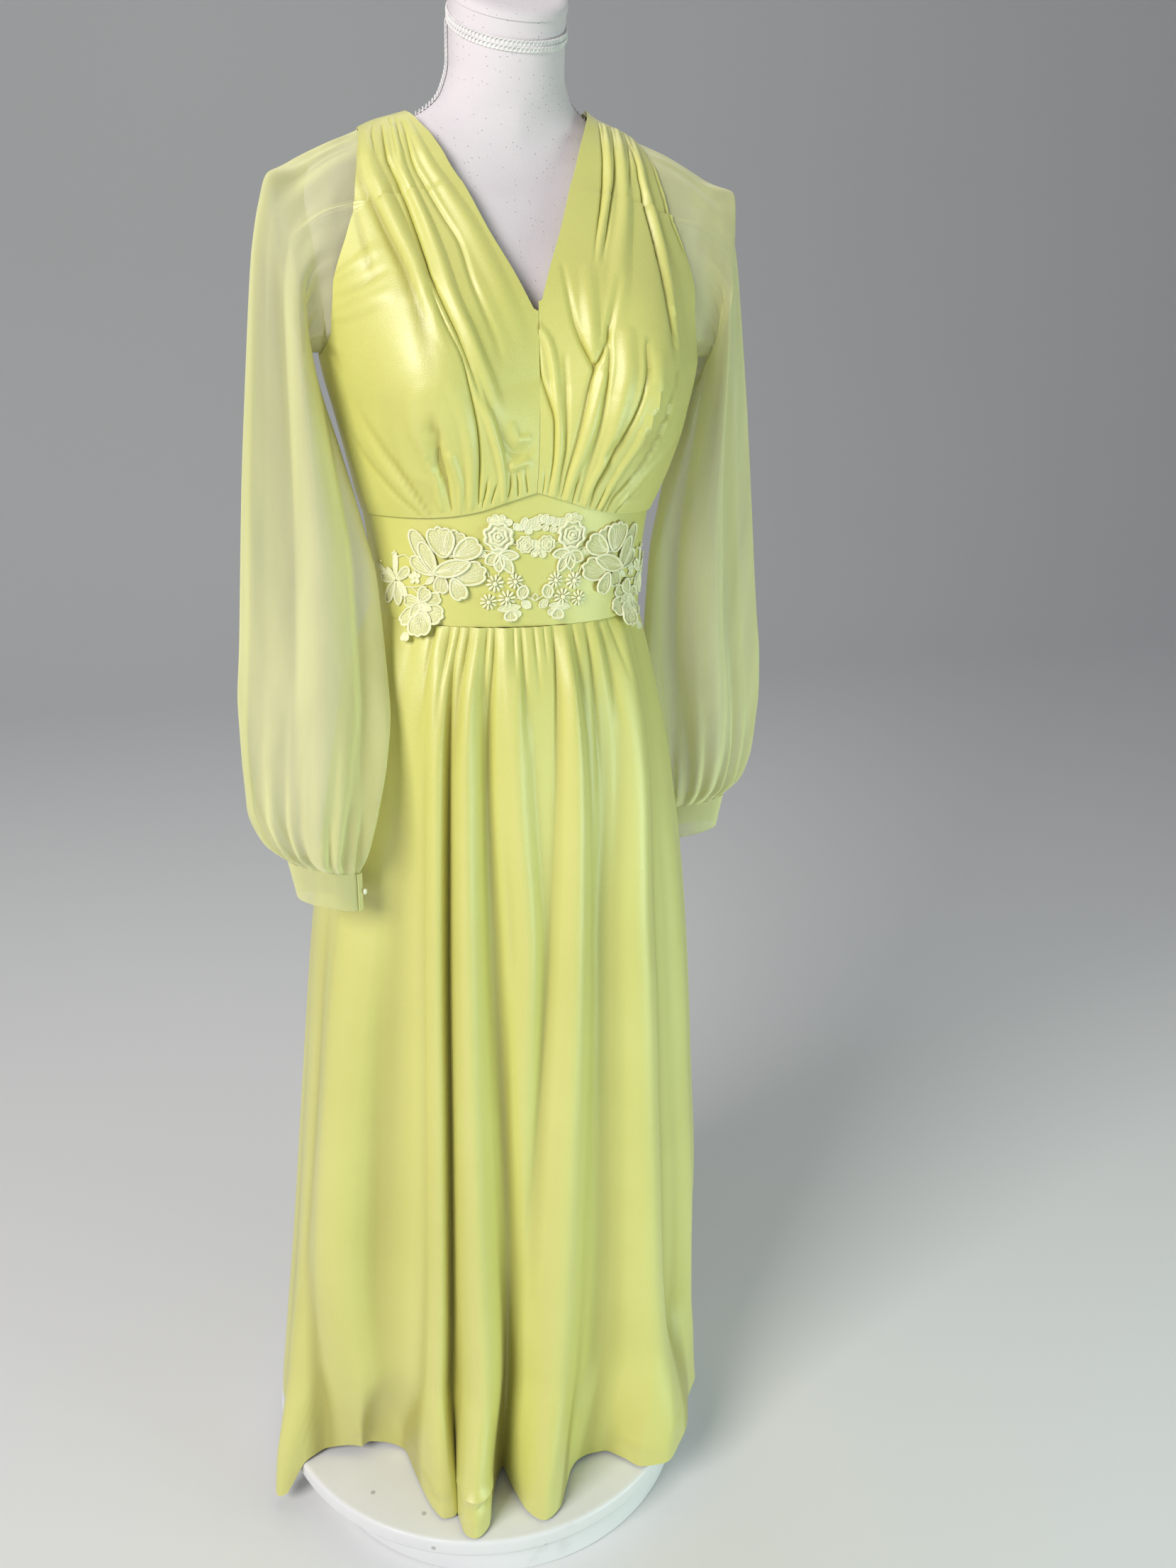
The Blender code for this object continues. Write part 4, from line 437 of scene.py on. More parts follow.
class Figure:
    """The general figure that the dress form has and the cloth follows."""

    @staticmethod
    def point(angle: Array, z: Array, out: Array = 0.0) -> Array:
        """A point of the figure.

        Args:
            angle: Degrees from the front, positive to the wearer's left.
            z: Height.
            out: How far out from the figure.

        Returns:
            Points, in the last axis.
        """
        angle, z, out = np.broadcast_arrays(np.asarray(angle, float), np.asarray(z, float), out)
        half_width = BODY["half_width"](z)
        turn = np.radians(angle)
        facing = np.cos(turn)
        depth = np.where(facing > 0, BODY["front"](z), BODY["back"](z))
        squareness = BODY["squareness"](z)
        x = half_width * signed_power(np.sin(turn), 2 / squareness)
        y = -depth * signed_power(facing, 2 / squareness)
        nx = signed_power(x / half_width, squareness - 1) / half_width
        ny = signed_power(y / depth, squareness - 1) / depth
        length = np.hypot(nx, ny)
        swell = BUST.swell(angle, z)
        spread = BUST.spread_share * swell * np.clip(angle / BUST.spread_angle, -1.0, 1.0)
        x = x + out * nx / length + spread
        y = y + out * ny / length - swell
        return np.stack([BODY_X + x, BODY["centre_y"](z) + y, z], axis=-1)

    @staticmethod
    def angle_at(reach: Array, z: Array, out: float) -> Array:
        """The angle at which the figure's front is this far out from its middle."""
        ratio = np.minimum(reach / (BODY["half_width"](z) + out), 1.0)
        return np.degrees(np.arcsin(ratio ** (BODY["squareness"](z) / 2)))

    @staticmethod
    def neck(angle: Array, z: Array, out: Array) -> Array:
        """A point of the neck, where rings lean forward with height.

        Args:
            angle: Degrees from the front, positive to the wearer's left.
            z: Height.
            out: How far out from the surface.

        Returns:
            Points of the neck.
        """
        point = Figure.point(angle, z, out)
        point[..., 2] += BODY["tilt"](z) * (point[..., 1] - BODY["centre_y"](z))
        return point

    @staticmethod
    def shoulder_height(x: Array, y: Array) -> Array:
        """The height of the shoulder at a place, x from the middle.

        Args:
            x: Places across, from the middle.
            y: Places in depth.

        Returns:
            The heights there.
        """
        low = np.full(np.shape(x), SHOULDER_LOW_Z)
        high = np.full(np.shape(x), SHOULDER_HIGH_Z)
        for _ in range(HALVINGS):
            z = (low + high) / 2
            dy = y - BODY["centre_y"](z)
            depth = np.where(dy < 0, BODY["front"](z), BODY["back"](z))
            squareness = BODY["squareness"](z)
            level = np.abs(x / BODY["half_width"](z)) ** squareness + np.abs(dy / depth) ** squareness
            low, high = np.where(level < 1, z, low), np.where(level < 1, high, z)
        return low

    @staticmethod
    def over_shoulder(side: Side, start: Array, v: Array, along: Array, rounded: bool) -> Array:
        """Points of the cloth on its way from chest or back to the shoulder seam.

        Args:
            side: The wearer's side.
            start: Where the cloth leaves the chest or back.
            v: Share of the way up the panel.
            along: Share of the shoulder seam, from neck to sleeve.
            rounded: Whether the way leaves its start straight up.

        Returns:
            Points over the shoulder.
        """
        t = (v - SHOULDER_SHARE) / (1 - SHOULDER_SHARE)
        back = 1 - np.cos(math.pi * t / 2) if rounded else t
        end = blend(SHOULDERS[side].neck_x, SHOULDERS[side].end_x, along)
        x = blend(np.abs(start[..., 0] - BODY_X), end, np.sin(math.pi * t / 2))
        y = blend(start[..., 1], SHOULDER_SEAM_Y, back)
        z = Figure.shoulder_height(x, y) + SHOULDER_LIFT
        return np.stack([BODY_X + side.value * x, y, z], axis=-1)


def band_top(angle: Array) -> Array:
    """The height of the waist band's top edge at an angle."""
    return SIDE_BAND_TOP_Z + BAND_TOP["rise"](np.abs(angle))


def grid_normals(points: Array, closed: bool = False) -> Array:
    """Unit normals of a grid of points, rows by columns.

    Args:
        points: Points of a grid, rows by columns.
        closed: Whether the columns go all round.

    Returns:
        A unit normal for each point.
    """
    if closed:
        across = np.roll(points, -1, axis=1) - np.roll(points, 1, axis=1)
    else:
        across = np.gradient(points, axis=1)
    normals = np.cross(across, np.gradient(points, axis=0))
    return normals / np.maximum(np.linalg.norm(normals, axis=2, keepdims=True), TINY)


def hollows(lift: Array, reach: int, depth: float) -> Array:
    """How deep each point lies under the mean of its row's points near it, the mask for the satin's painted
    shade.

    Args:
        lift: The cloth's lift, rows by columns.
        reach: How many columns to each side the mean takes.
        depth: The depth that counts as 1.

    Returns:
        Values from 0 to 1.
    """
    padded = np.pad(lift, ((0, 0), (reach + 1, reach)), mode="edge")
    total = np.cumsum(padded, axis=1)
    mean = (total[:, 2 * reach + 1:] - total[:, :-2 * reach - 1]) / (2 * reach + 1)
    return np.clip((mean - lift) / depth, 0.0, 1.0)


def smooth_line(knots: Array, count: int) -> Array:
    """A smooth line of points through knots, one in a row.

    Args:
        knots: The known points, one in a row.
        count: How many points to make.

    Returns:
        The line's points.
    """
    places = np.arange(len(knots))
    fine = np.linspace(0, len(knots) - 1, count)
    return np.stack([Track(places, column)(fine) for column in knots.T], axis=1)


@dataclass(frozen=True)
class Crease:
    """A soft ridge or trough laid on a panel.

    Its stations are (across from the middle, height, half width, lift) in millimetres, the last negative
    for a trough, and lean makes the side to the right of its way wider, from -0.9 to 0.9.
    """

    stations: tuple[tuple[float, float, float, float], ...]
    lean: float = 0.0

    def lift(self, panel: Array, normals: Array) -> Array:
        """How far the crease lifts each point of a panel.

        Args:
            panel: The panel's points, rows by columns.
            normals: The panel's normals.

        Returns:
            The lift, in metres.
        """
        knots = np.array(self.stations, float) * MM
        line = smooth_line(knots, STEPS * (len(knots) - 1) + 1)
        flat = panel.reshape(-1, 3)
        apart = np.hypot(flat[None, :, 0] - BODY_X - line[:, :1], flat[None, :, 2] - line[:, 1:2])
        near = np.argpartition(apart, NEIGHBOURS, axis=1)[:, :NEIGHBOURS]
        weight = 1 / (np.take_along_axis(apart, near, axis=1) + NEAR_SOFTENING) ** 2
        places = (flat[near] * weight[:, :, None]).sum(axis=1) / weight.sum(axis=1)[:, None]
        nearest = np.full(panel.shape[:2], np.inf)
        lift = np.zeros(panel.shape[:2])
        for a, b, here, there in zip(places[:-1], places[1:], line[:-1], line[1:]):
            way = b - a
            share = np.clip(((panel - a) @ way) / max(float(way @ way), TINY), 0, 1)
            off = panel - a - share[..., None] * way
            distance = np.linalg.norm(off, axis=2)
            right = np.sign((np.cross(way, normals) * off).sum(axis=2))
            width = blend(here[2], there[2], share) * (1 + self.lean * right)
            height = blend(here[3], there[3], share)
            shape = hump(distance / width) ** np.where(height < 0, TROUGH_POWER, RIDGE_POWER)
            closer = distance < nearest
            nearest = np.where(closer, distance, nearest)
            lift = np.where(closer, height * shape, lift)
        return lift


def creased(creases: list[Crease], panel: Array, normals: Array) -> Array:
    """The sum of all the creases' lifts at each point of a panel.

    Args:
        creases: The creases.
        panel: The panel's points, rows by columns.
        normals: The panel's normals.

    Returns:
        The lift of each point, in metres.
    """
    total = np.zeros(panel.shape[:2])
    for crease in creases:
        total += crease.lift(panel, normals)
    return total


HEM_CREASES = [
    Crease(((-92, 104, 7, 0), (-82, 110, 8, 4), (-70, 110, 8, 5), (-58, 104, 7, 2.5), (-52, 98, 6, 0))),
    Crease(((-90, 93, 6, 0), (-79, 96, 7, -3.5), (-67, 95, 7, -4), (-57, 89, 6, 0))),
    Crease(((-126, 97, 6, 0), (-116, 92, 7, 3), (-105, 94, 6, 3), (-98, 101, 5, 0))),
    Crease(((-122, 85, 5, 0), (-112, 81, 6, -3), (-102, 83, 5, 0))),
    Crease(((-192, 92, 6, 0), (-181, 99, 7, 2), (-166, 104, 6, 0))),
    Crease(((94, 94, 5, 0), (113, 90, 6, 2.5), (135, 84, 6, 2), (152, 79, 5, 0))),
    Crease(((150, 110, 6, 0), (166, 100, 7, 2.5), (184, 96, 7, 0))),
]
FRONT_CREASES = {
    Side.RIGHT: [
        Crease(((-117, 1394, 5, .5), (-118, 1375, 7, 1.6), (-112, 1352, 9, 2.8), (-103, 1326, 9, 3.2),
                (-94, 1301, 8, 3.2), (-88, 1276, 7, 2.4), (-82, 1253, 6, 1), (-76, 1232, 5, 0))),
        Crease(((-127, 1382, 4, -.4), (-126, 1360, 6, -1.0), (-117, 1336, 7, -1.4), (-109, 1315, 7, -1.5),
                (-100, 1290, 7, -1.2), (-94, 1265, 8, -1), (-90, 1236, 9, -.6), (-89, 1210, 9, 0))),
        Crease(((-104, 1396, 2.5, -.9), (-105, 1376, 3, -1.8), (-98, 1354, 3.5, -2.4),
                (-92, 1333, 3.5, -2.8), (-87, 1312, 3.5, -3), (-83, 1290, 3.5, -2.8),
                (-78, 1274, 3.5, -2.4), (-70, 1253, 3.5, -2.1), (-62, 1232, 3.5, -1.9),
                (-55, 1210, 4, -1.5), (-48, 1192, 4, 0))),
        Crease(((-96, 1396, 4, .9), (-95, 1372, 5, 1.8), (-88, 1348, 5, 2.2), (-81, 1327, 6, 2.4),
                (-75, 1303, 7, 2.2), (-70, 1278, 7, 2), (-61, 1253, 7, 2.2), (-53, 1232, 7, 2),
                (-44, 1210, 8, 1.5), (-36, 1189, 8, 0))),
        Crease(((-88, 1399, 2.5, -.7), (-86, 1374, 3, -1.4), (-78, 1353, 4, -1.7), (-67, 1331, 4.5, -1.7),
                (-57, 1310, 5, -1.5), (-53, 1287, 5, -1.3), (-46, 1266, 6, -1), (-37, 1242, 7, -.6),
                (-33, 1223, 7, 0))),
        Crease(((-84, 1401, 3, .5), (-77, 1379, 5, 1.1), (-64, 1353, 7, 1.4), (-50, 1328, 9, 1.4),
                (-39, 1302, 10, 1.1), (-28, 1275, 10, .8), (-17, 1247, 10, .3), (-13, 1227, 8, 0))),
        Crease(((-110, 1399, 1.6, -.7), (-113, 1387, 2, -.8), (-113, 1373, 2.5, 0))),
        Crease(((-97, 1402, 1.6, -.7), (-97, 1389, 2, -.9), (-96, 1374, 2.5, -.5), (-92, 1361, 3, 0))),
        Crease(((-92, 1403, 1.6, -.6), (-93, 1389, 2, -.7), (-91, 1374, 2.5, 0))),
        Crease(((-84, 1278, 3, -.8), (-77, 1257, 3, -1.4), (-66, 1232, 3, -1.6), (-60, 1206, 3, -1.6),
                (-53, 1178, 3, -1.9), (-49, 1150, 3, -2.2), (-48, 1118, 2.5, -1.6))),
        Crease(((-59, 1221, 4, .5), (-51, 1199, 5, 1.8), (-42, 1180, 6, 2.4), (-35, 1161, 5, 2.2),
                (-30, 1140, 4, 1.6), (-28, 1120, 2.5, .8))),
        Crease(((-73, 1210, 9, .4), (-64, 1188, 8, 1), (-58, 1164, 7, 1.6), (-55, 1142, 5, 1.6),
                (-54, 1115, 3, .8))),
        Crease(((-38, 1183, 6, -.2), (-29, 1167, 7, -1.1), (-20, 1160, 8, -1.6), (-11, 1160, 7, -.8),
                (-6, 1168, 6, 0))),
        Crease(((-25, 1180, 6, .6), (-19, 1170, 5, 1.2), (-11, 1171, 5, .8))),
        Crease(((-22, 1149, 5, 1.6), (-13, 1152, 5, 1.2), (-5, 1149, 4, 0))),
        Crease(((-96, 1214, 6, 0), (-99, 1194, 7, 1.4), (-95, 1175, 7, 2), (-88, 1156, 6, 1.8),
                (-81, 1137, 5, 1.4), (-76, 1113, 3, .7))),
        Crease(((-88, 1190, 6, -.4), (-84, 1176, 9, -1.8), (-80, 1158, 9, -2.4), (-75, 1138, 7, -1.8),
                (-70, 1115, 4, -.8))),
        Crease(((-82, 1162, 5, -1.8), (-78, 1149, 6, -2.4), (-73, 1136, 4.5, -1.8), (-68, 1112, 2.5, -1))),
        Crease(((-72, 1158, 5, 1.6), (-67, 1145, 5, 1.6), (-63, 1130, 3.5, 1.2), (-62, 1112, 2.5, .6))),
        Crease(((-84, 1108, 3, -.8), (-97, 1130, 5, -1.2), (-112, 1153, 7, -1), (-127, 1178, 9, -.5),
                (-136, 1200, 9, 0))),
        Crease(((-91, 1106, 3, -.6), (-110, 1126, 5, -1), (-126, 1148, 6, -.8), (-139, 1172, 7, 0))),
        Crease(((-87, 1107, 3, .5), (-103, 1128, 6, 1), (-119, 1151, 8, .8), (-133, 1177, 9, 0))),
        Crease(((-149, 1285, 4, .5), (-138, 1293, 6, 1.5), (-125, 1302, 8, 1), (-113, 1311, 8, 0))),
        Crease(((-152, 1271, 4, -.5), (-139, 1276, 6, -1.2), (-124, 1285, 7, -1.1), (-109, 1294, 7, 0))),
        Crease(((-154, 1257, 5, .6), (-141, 1260, 7, 1.3), (-123, 1270, 9, 1.1), (-107, 1277, 8, 0))),
        Crease(((-156, 1237, 5, -.8), (-150, 1231, 7, -1), (-142, 1214, 9, 0))),
        Crease(((-132, 1351, 4, -.3), (-130, 1328, 6, -1), (-125, 1306, 7, -1.1), (-123, 1285, 7, 0))),
        Crease(((-45, 1116, 2, -1.4), (-43, 1129, 3, -1.8), (-42, 1142, 3, 0))),
        Crease(((-38, 1119, 2, -1.4), (-36, 1128, 2.5, -1.6), (-34, 1138, 2.5, 0))),
        Crease(((-24, 1124, 2, -1.5), (-23, 1133, 2.5, -1.8), (-24, 1147, 3, 0))),
        Crease(((-16, 1125, 2, -1.4), (-17, 1135, 2.5, -1.6), (-20, 1147, 3, 0))),
        Crease(((-8, 1127, 2, -1.2), (-10, 1137, 2.5, -1.2), (-12, 1149, 3, 0))),
    ],
    Side.LEFT: [
        Crease(((72, 1408, 1.8, -.8), (70, 1389, 2.6, -1.5), (67, 1366, 3, -1.9), (61, 1343, 3, -1.8),
                (55, 1323, 3, -1), (48, 1298, 4, 0))),
        Crease(((78, 1407, 2.5, .6), (75, 1387, 3.5, 1.4), (73, 1366, 4, 1.7), (66, 1343, 4, 1.5),
                (58, 1321, 5, .8), (51, 1298, 6, 0))),
        Crease(((85, 1406, 1.8, -.8), (81, 1387, 2.6, -1.5), (78, 1369, 3, -1.9), (70, 1346, 3, -1.7),
                (62, 1321, 3.5, -1.2), (54, 1298, 4, 0))),
        Crease(((91, 1405, 3, .6), (87, 1383, 5, 1.6), (85, 1358, 7, 2), (79, 1330, 9, 2),
                (70, 1299, 11, 1.4), (63, 1272, 11, .6), (59, 1250, 9, 0))),
        Crease(((98, 1403, 1.8, -.8), (95, 1386, 2.4, -1.2), (91, 1367, 3, -.9), (85, 1349, 3, 0))),
        Crease(((105, 1401, 2.5, .5), (103, 1379, 4, 1.4), (105, 1356, 5, 2), (110, 1329, 5, 2.2),
                (113, 1305, 5, 2), (113, 1278, 5, 1.8), (114, 1250, 5, 1.2), (116, 1225, 5, 0))),
        Crease(((98, 1393, 2, -.6), (100, 1372, 3, -1.4), (101, 1349, 3.5, -2), (105, 1322, 3.5, -2.2),
                (107, 1298, 3.5, -2), (108, 1273, 4, -1.8), (109, 1248, 4, -1.2), (109, 1226, 4, 0))),
        Crease(((114, 1389, 2, -.6), (119, 1369, 3, -1.4), (125, 1346, 3.5, -1.8), (134, 1324, 3.5, -1.8),
                (144, 1303, 4, -1.3), (152, 1280, 4, 0))),
        Crease(((130, 1363, 3, .6), (137, 1340, 4, 1.3), (149, 1315, 5, 1.5), (160, 1292, 5, 1),
                (155, 1269, 5, 0))),
        Crease(((22, 1297, 5, -.4), (25, 1276, 5, -1), (30, 1254, 5, -1.6), (37, 1237, 4, -2.2),
                (43, 1226, 4, -2.6))),
        Crease(((67, 1290, 6, -.4), (60, 1268, 6, -1.1), (55, 1248, 5, -1.8), (49, 1233, 4, -2.4),
                (44, 1225, 4, -2.6))),
        Crease(((42, 1294, 9, .6), (41, 1272, 9, 1.4), (42, 1254, 8, 1.8), (43, 1239, 6, 1))),
        Crease(((44, 1225, 4, -2.2), (40, 1210, 4, -1.8), (36, 1192, 5, -1.4), (31, 1168, 5, -1.3),
                (25, 1144, 4, -1.4), (21, 1122, 2.5, -1))),
        Crease(((51, 1219, 5, 1), (46, 1201, 6, 1.8), (41, 1180, 7, 2), (35, 1158, 6, 1.8),
                (29, 1139, 4, 1.4), (26, 1121, 2.5, .7))),
        Crease(((55, 1255, 4, -.6), (56, 1237, 4, -1.4), (54, 1215, 4, -1.8), (51, 1194, 5, -1.6),
                (47, 1173, 5, -1.4), (42, 1151, 5, -1.2), (36, 1118, 2.5, -.8))),
        Crease(((69, 1248, 9, 1), (69, 1226, 9, 1.8), (65, 1201, 9, 2.2), (60, 1178, 8, 2),
                (54, 1153, 6, 1.8), (45, 1131, 4, 1.2), (42, 1116, 2.5, .6))),
        Crease(((86, 1246, 4, -.6), (85, 1226, 4, -1.8), (81, 1204, 4, -2.4), (74, 1185, 4, -2.4),
                (66, 1168, 4.5, -2.2), (57, 1148, 4, -2), (49, 1129, 3, -1.5), (47, 1114, 2.5, -.9))),
        Crease(((95, 1233, 6, .8), (95, 1213, 6, 1.8), (90, 1192, 6, 2.2), (83, 1172, 6, 2),
                (73, 1152, 5, 1.8), (62, 1130, 4, 1.3), (56, 1111, 2.5, .7))),
        Crease(((112, 1221, 4, -.8), (108, 1197, 4, -2), (102, 1178, 4, -2.2), (94, 1157, 4, -2),
                (81, 1137, 3.5, -1.8), (67, 1120, 3, -1.3), (63, 1108, 2.5, -.8))),
        Crease(((139, 1189, 5, .8), (125, 1169, 5, 1.6), (107, 1151, 5, 1.6), (90, 1133, 4, 1.3),
                (75, 1115, 3, .8))),
        Crease(((61, 1168, 5, -1.5), (57, 1159, 5, -1.6), (54, 1152, 4, 0))),
        Crease(((0, 1255, 4, .8), (8, 1243, 5, 1.6), (13, 1223, 5, 1.8), (15, 1198, 5, 1.6),
                (17, 1173, 5, 1.5), (16, 1146, 4, 1.2), (14, 1124, 2.5, .6))),
        Crease(((0, 1240, 3, -.6), (2, 1220, 3, -1.4), (8, 1200, 3.5, -1.6), (13, 1182, 3.5, -1.6),
                (13, 1158, 3.5, -1.4), (9, 1125, 2.5, -.8))),
        Crease(((21, 1232, 5, -.4), (22, 1210, 5, -1.2), (22, 1187, 5, -1.4), (22, 1163, 4, -1.4),
                (19, 1142, 4, -1), (18, 1123, 2.5, -.6))),
        Crease(((5, 1126, 2, -1), (6, 1137, 2.5, -1), (6, 1149, 3, 0))),
        Crease(((31, 1119, 2, -1.2), (33, 1132, 2.5, -1.4), (36, 1144, 3, 0))),
        Crease(((58, 1109, 2, -1.2), (63, 1122, 2.5, -1.4), (69, 1132, 3, 0))),
        Crease(((72, 1106, 2, -1), (80, 1117, 2.5, -1.2), (91, 1128, 3, 0))),
        Crease(((53, 1112, 2, -1), (57, 1123, 2.5, -1.2), (60, 1133, 3, 0))),
    ],
}


SIDE_PETALS = [
    (-85.7, 1056, 116, 40.2, 16.2, 0, 5), (-83.7, 1056.8, 114, 28.4, 13.1, 0, 3, 1),
    (-85.6, 1056.6, 152, 23.9, 13.1, 0, 4), (-75.4, 1071.8, 97, 25.8, 25, 3, 7, 1),
    (-71.6, 1072.6, 64, 23.7, 18.8, 2, 6), (-66.8, 1072.3, 32, 25, 18.8, 2, 6, 1),
    (-84.7, 1057.7, 19, 32.4, 13.1, 0, 5, 2, 1), (-68.8, 1053, 21, 29.1, 21.2, 3, 5, 1),
    (-78.7, 1056, -96, 15.5, 13.8, 2, 3), (-68.8, 1054.2, -66, 19, 15, 2, 3, 2),
    (-126.4, 1046.7, 84, 25, 6, 0, 1), (-127.3, 1046.6, 161, 31.6, 5.5, 0, 1),
    (-128.2, 1046.4, -180, 18.4, 7.8, 0, 2), (-123.6, 1047.8, 38, 18, 8.2, 0, 3),
    (-125.4, 1046.9, 138, 13.3, 6.2, 0, 2, 1), (-126.4, 1045.4, -124, 24.3, 9.8, 0, 3),
    (-123.8, 1045.3, -89, 20.4, 10, 0, 3, 0, 1), (-121.9, 1046.2, -57, 15.2, 7.2, 0, 2, 0, 1),
    (-93.3, 1047.4, 40, 9.7, 3.8, 0, 0, 0, 1), (-104.3, 1052, 87, 5.2, 3.8), (-104.3, 1052, 26, 6.2, 3.5),
    (-104.3, 1052, -46, 5.8, 3.8), (-104.3, 1052, -121, 6.2, 3.5), (-104.3, 1052, 172, 5.7, 3.5),
    (-99.4, 1030.6, -179, 16.7, 11.9, 2, 3), (-99.4, 1031.8, 56, 14.5, 12.5, 2, 3, 1),
    (-96.6, 1031.5, 20, 17.4, 11.5, 2, 3), (-101, 1026.6, -136, 21.3, 14.4, 2, 4),
    (-98.2, 1024.4, -83, 21.6, 22.5, 3, 6, 1), (-96.7, 1025.2, -15, 19.5, 17.5, 3, 6),
    (-101.6, 1030.3, -20, 13.9, 7.2, 0, 3, 1, 1), (-99.4, 1030.6, -122, 16.1, 7.8, 0, 3, 1, 1),
    (-108.3, 1004.1, -111, 6.7, 5), (-107, 1003.7, -81, 5.7, 3.8), (-29.5, 1101.4, 160, 9.6, 5.8, 0, 1),
    (-29.5, 1101.4, 119, 7.6, 5.5, 0, 1), (-28.9, 1101.4, 65, 7, 5.5, 0, 1),
    (-28.9, 1101.4, 5, 9.5, 5.8, 0, 1), (-30.3, 1075.2, -148, 13.3, 9.5, 0, 3, 0, 1),
    (-29.7, 1075.5, -5, 15, 7.8, 0, 3, 0, 1), (-30.3, 1074.9, -92, 14, 8.5, 0, 3, 0, 1),
    (-29.1, 1074.9, -58, 17.7, 7.8, 0, 3, 0, 1), (-29.1, 1076.1, 153, 6.5, 5, 0, 1, 0, 1),
    (-45.3, 1077.7, -50, 6.1, 4.2, 0, 0, 0, 1), (-44.7, 1078.9, -109, 6.3, 3.8, 0, 0, 0, 1),
    (-12.3, 1037, 76, 12, 9, 0, 3, 0, 1), (-11, 1035.1, -40, 9.2, 6.8, 0, 3, 0, 1),
    (-31.6, 1028, 7, 19, 6.2, 0, 3, 0, 1), (-20.6, 1027.2, -90, 8.8, 11.5, 3, 3),
    (-17.6, 1026.5, -38, 6.4, 6.2, 0, 2),
]
GARLAND_PETALS = [
    (-13.6, 1095.4, 127, 6.7, 5.2, 0, 1, 0, 1), (-12.5, 1095.3, 73, 6.1, 4.8, 0, 1, 0, 1),
    (-10.1, 1095.9, 80, 10.1, 6.2, 0, 3, 0, 1), (-7.8, 1097, 50, 9.4, 6, 0, 3, 0, 1),
    (-9, 1095.9, -24, 6.2, 5.5, 0, 1, 0, 1), (-4.3, 1098.4, -6, 8.5, 5.8, 0, 3, 0, 1),
    (-2, 1099.2, 70, 7.3, 5.2, 0, 1, 0, 1), (5.1, 1101.4, 109, 6.9, 5.2, 0, 1, 0, 1),
    (6.2, 1101.3, 66, 7, 5.8, 0, 3, 0, 1), (8.6, 1100.4, 37, 7.9, 5.8, 0, 3, 0, 1),
    (8.7, 1099.5, -109, 5.2, 5, 0, 1, 0, 1), (13.5, 1098.7, 41, 8.3, 5.8, 0, 3, 0, 1),
    (14.7, 1097.8, -99, 5, 5.2, 0, 1, 0, 1), (19.6, 1097.6, 36, 7, 5.5, 0, 1, 0, 1),
    (20.8, 1096.9, -114, 5.6, 5.2, 0, 1, 0, 1), (24.5, 1097.1, -32, 6.5, 5.2, 0, 1, 0, 1),
    (2.4, 1079.5, 128, 8.5, 6.5, 0, 2), (2.4, 1079.5, 46, 8, 6.5, 0, 2), (2.1, 1079, -134, 7.6, 5.5, 0, 2),
    (2.8, 1078.9, -54, 7.7, 6, 0, 2),
]
SIDE_KNOTS = [
    (-78.5, 1078.1), (-75.9, 1076.7), (-73.1, 1077.9), (-71.1, 1076.2), (-69.1, 1077.9), (-66.5, 1077),
    (-65.4, 1075.3), (-77.6, 1074.6), (-74.6, 1074), (-72.2, 1073.2), (-69.1, 1073.6), (-66.2, 1072.9),
    (-70.4, 1080.4), (-67.5, 1080.3), (-63.8, 1073.6), (-102.7, 1013.8), (-99.1, 1013.6), (-95.6, 1014.7),
    (-101.3, 1010.8), (-97, 1011.3), (-92.8, 1015.6), (-91.4, 1018.3), (-99.8, 1007.8), (-95.9, 1008.6),
    (-126.4, 1069.7), (-121.8, 1070), (-123.7, 1071.8), (-155.7, 1057.5), (-151.2, 1056.1),
    (-144.9, 1059.9), (-157.7, 1053.7), (-104.3, 1052),
]
SIDE_STEMS = [
    [(-124.6, 1046), (-113.9, 1042.4), (-101.8, 1044), (-91.9, 1048.7), (-85.3, 1055.2)],
    [(-109.1, 1044), (-102, 1038.4), (-99.7, 1031.8)],
    [(-121.8, 1067.2), (-113.4, 1069.8), (-106.9, 1066.5)],
    [(-17.2, 1037.5), (-7.4, 1038.9), (-0.5, 1035.3), (2.3, 1038.3), (0, 1041.5)],
    [(-44.1, 1078.9), (-36, 1077.8), (-29.1, 1076.1)],
    [(-19, 1084.3), (-16.1, 1083.6)],
    [(-30.6, 1060.5), (-31.8, 1057.5)],
    [(-20.4, 1059.8), (-18.7, 1057.4)],
    [(-41.7, 1063.5), (-38.9, 1056.3)],
]
ROSES = [(-30.7, 1090.3, 12.2), (-9.0, 1083.5, 7.4)]
DAISIES = [(-34.2, 1050.9, 7.6), (-17.4, 1052.5, 6.8), (-24.2, 1037.6, 7.6), (-39.5, 1034.9, 7.2)]
GARLAND_STEMS = [
    [(-19.4, 1096), (-9, 1096.2), (0.4, 1100), (8.6, 1100.9), (19.6, 1098.1), (28.4, 1098.6)],
    [(-1.8, 1082.1), (2.4, 1079.5), (10.9, 1081.6)],
]
GARLAND_KNOTS = [(2.4, 1082.5), (2.4, 1079.5), (2.6, 1076.2)]


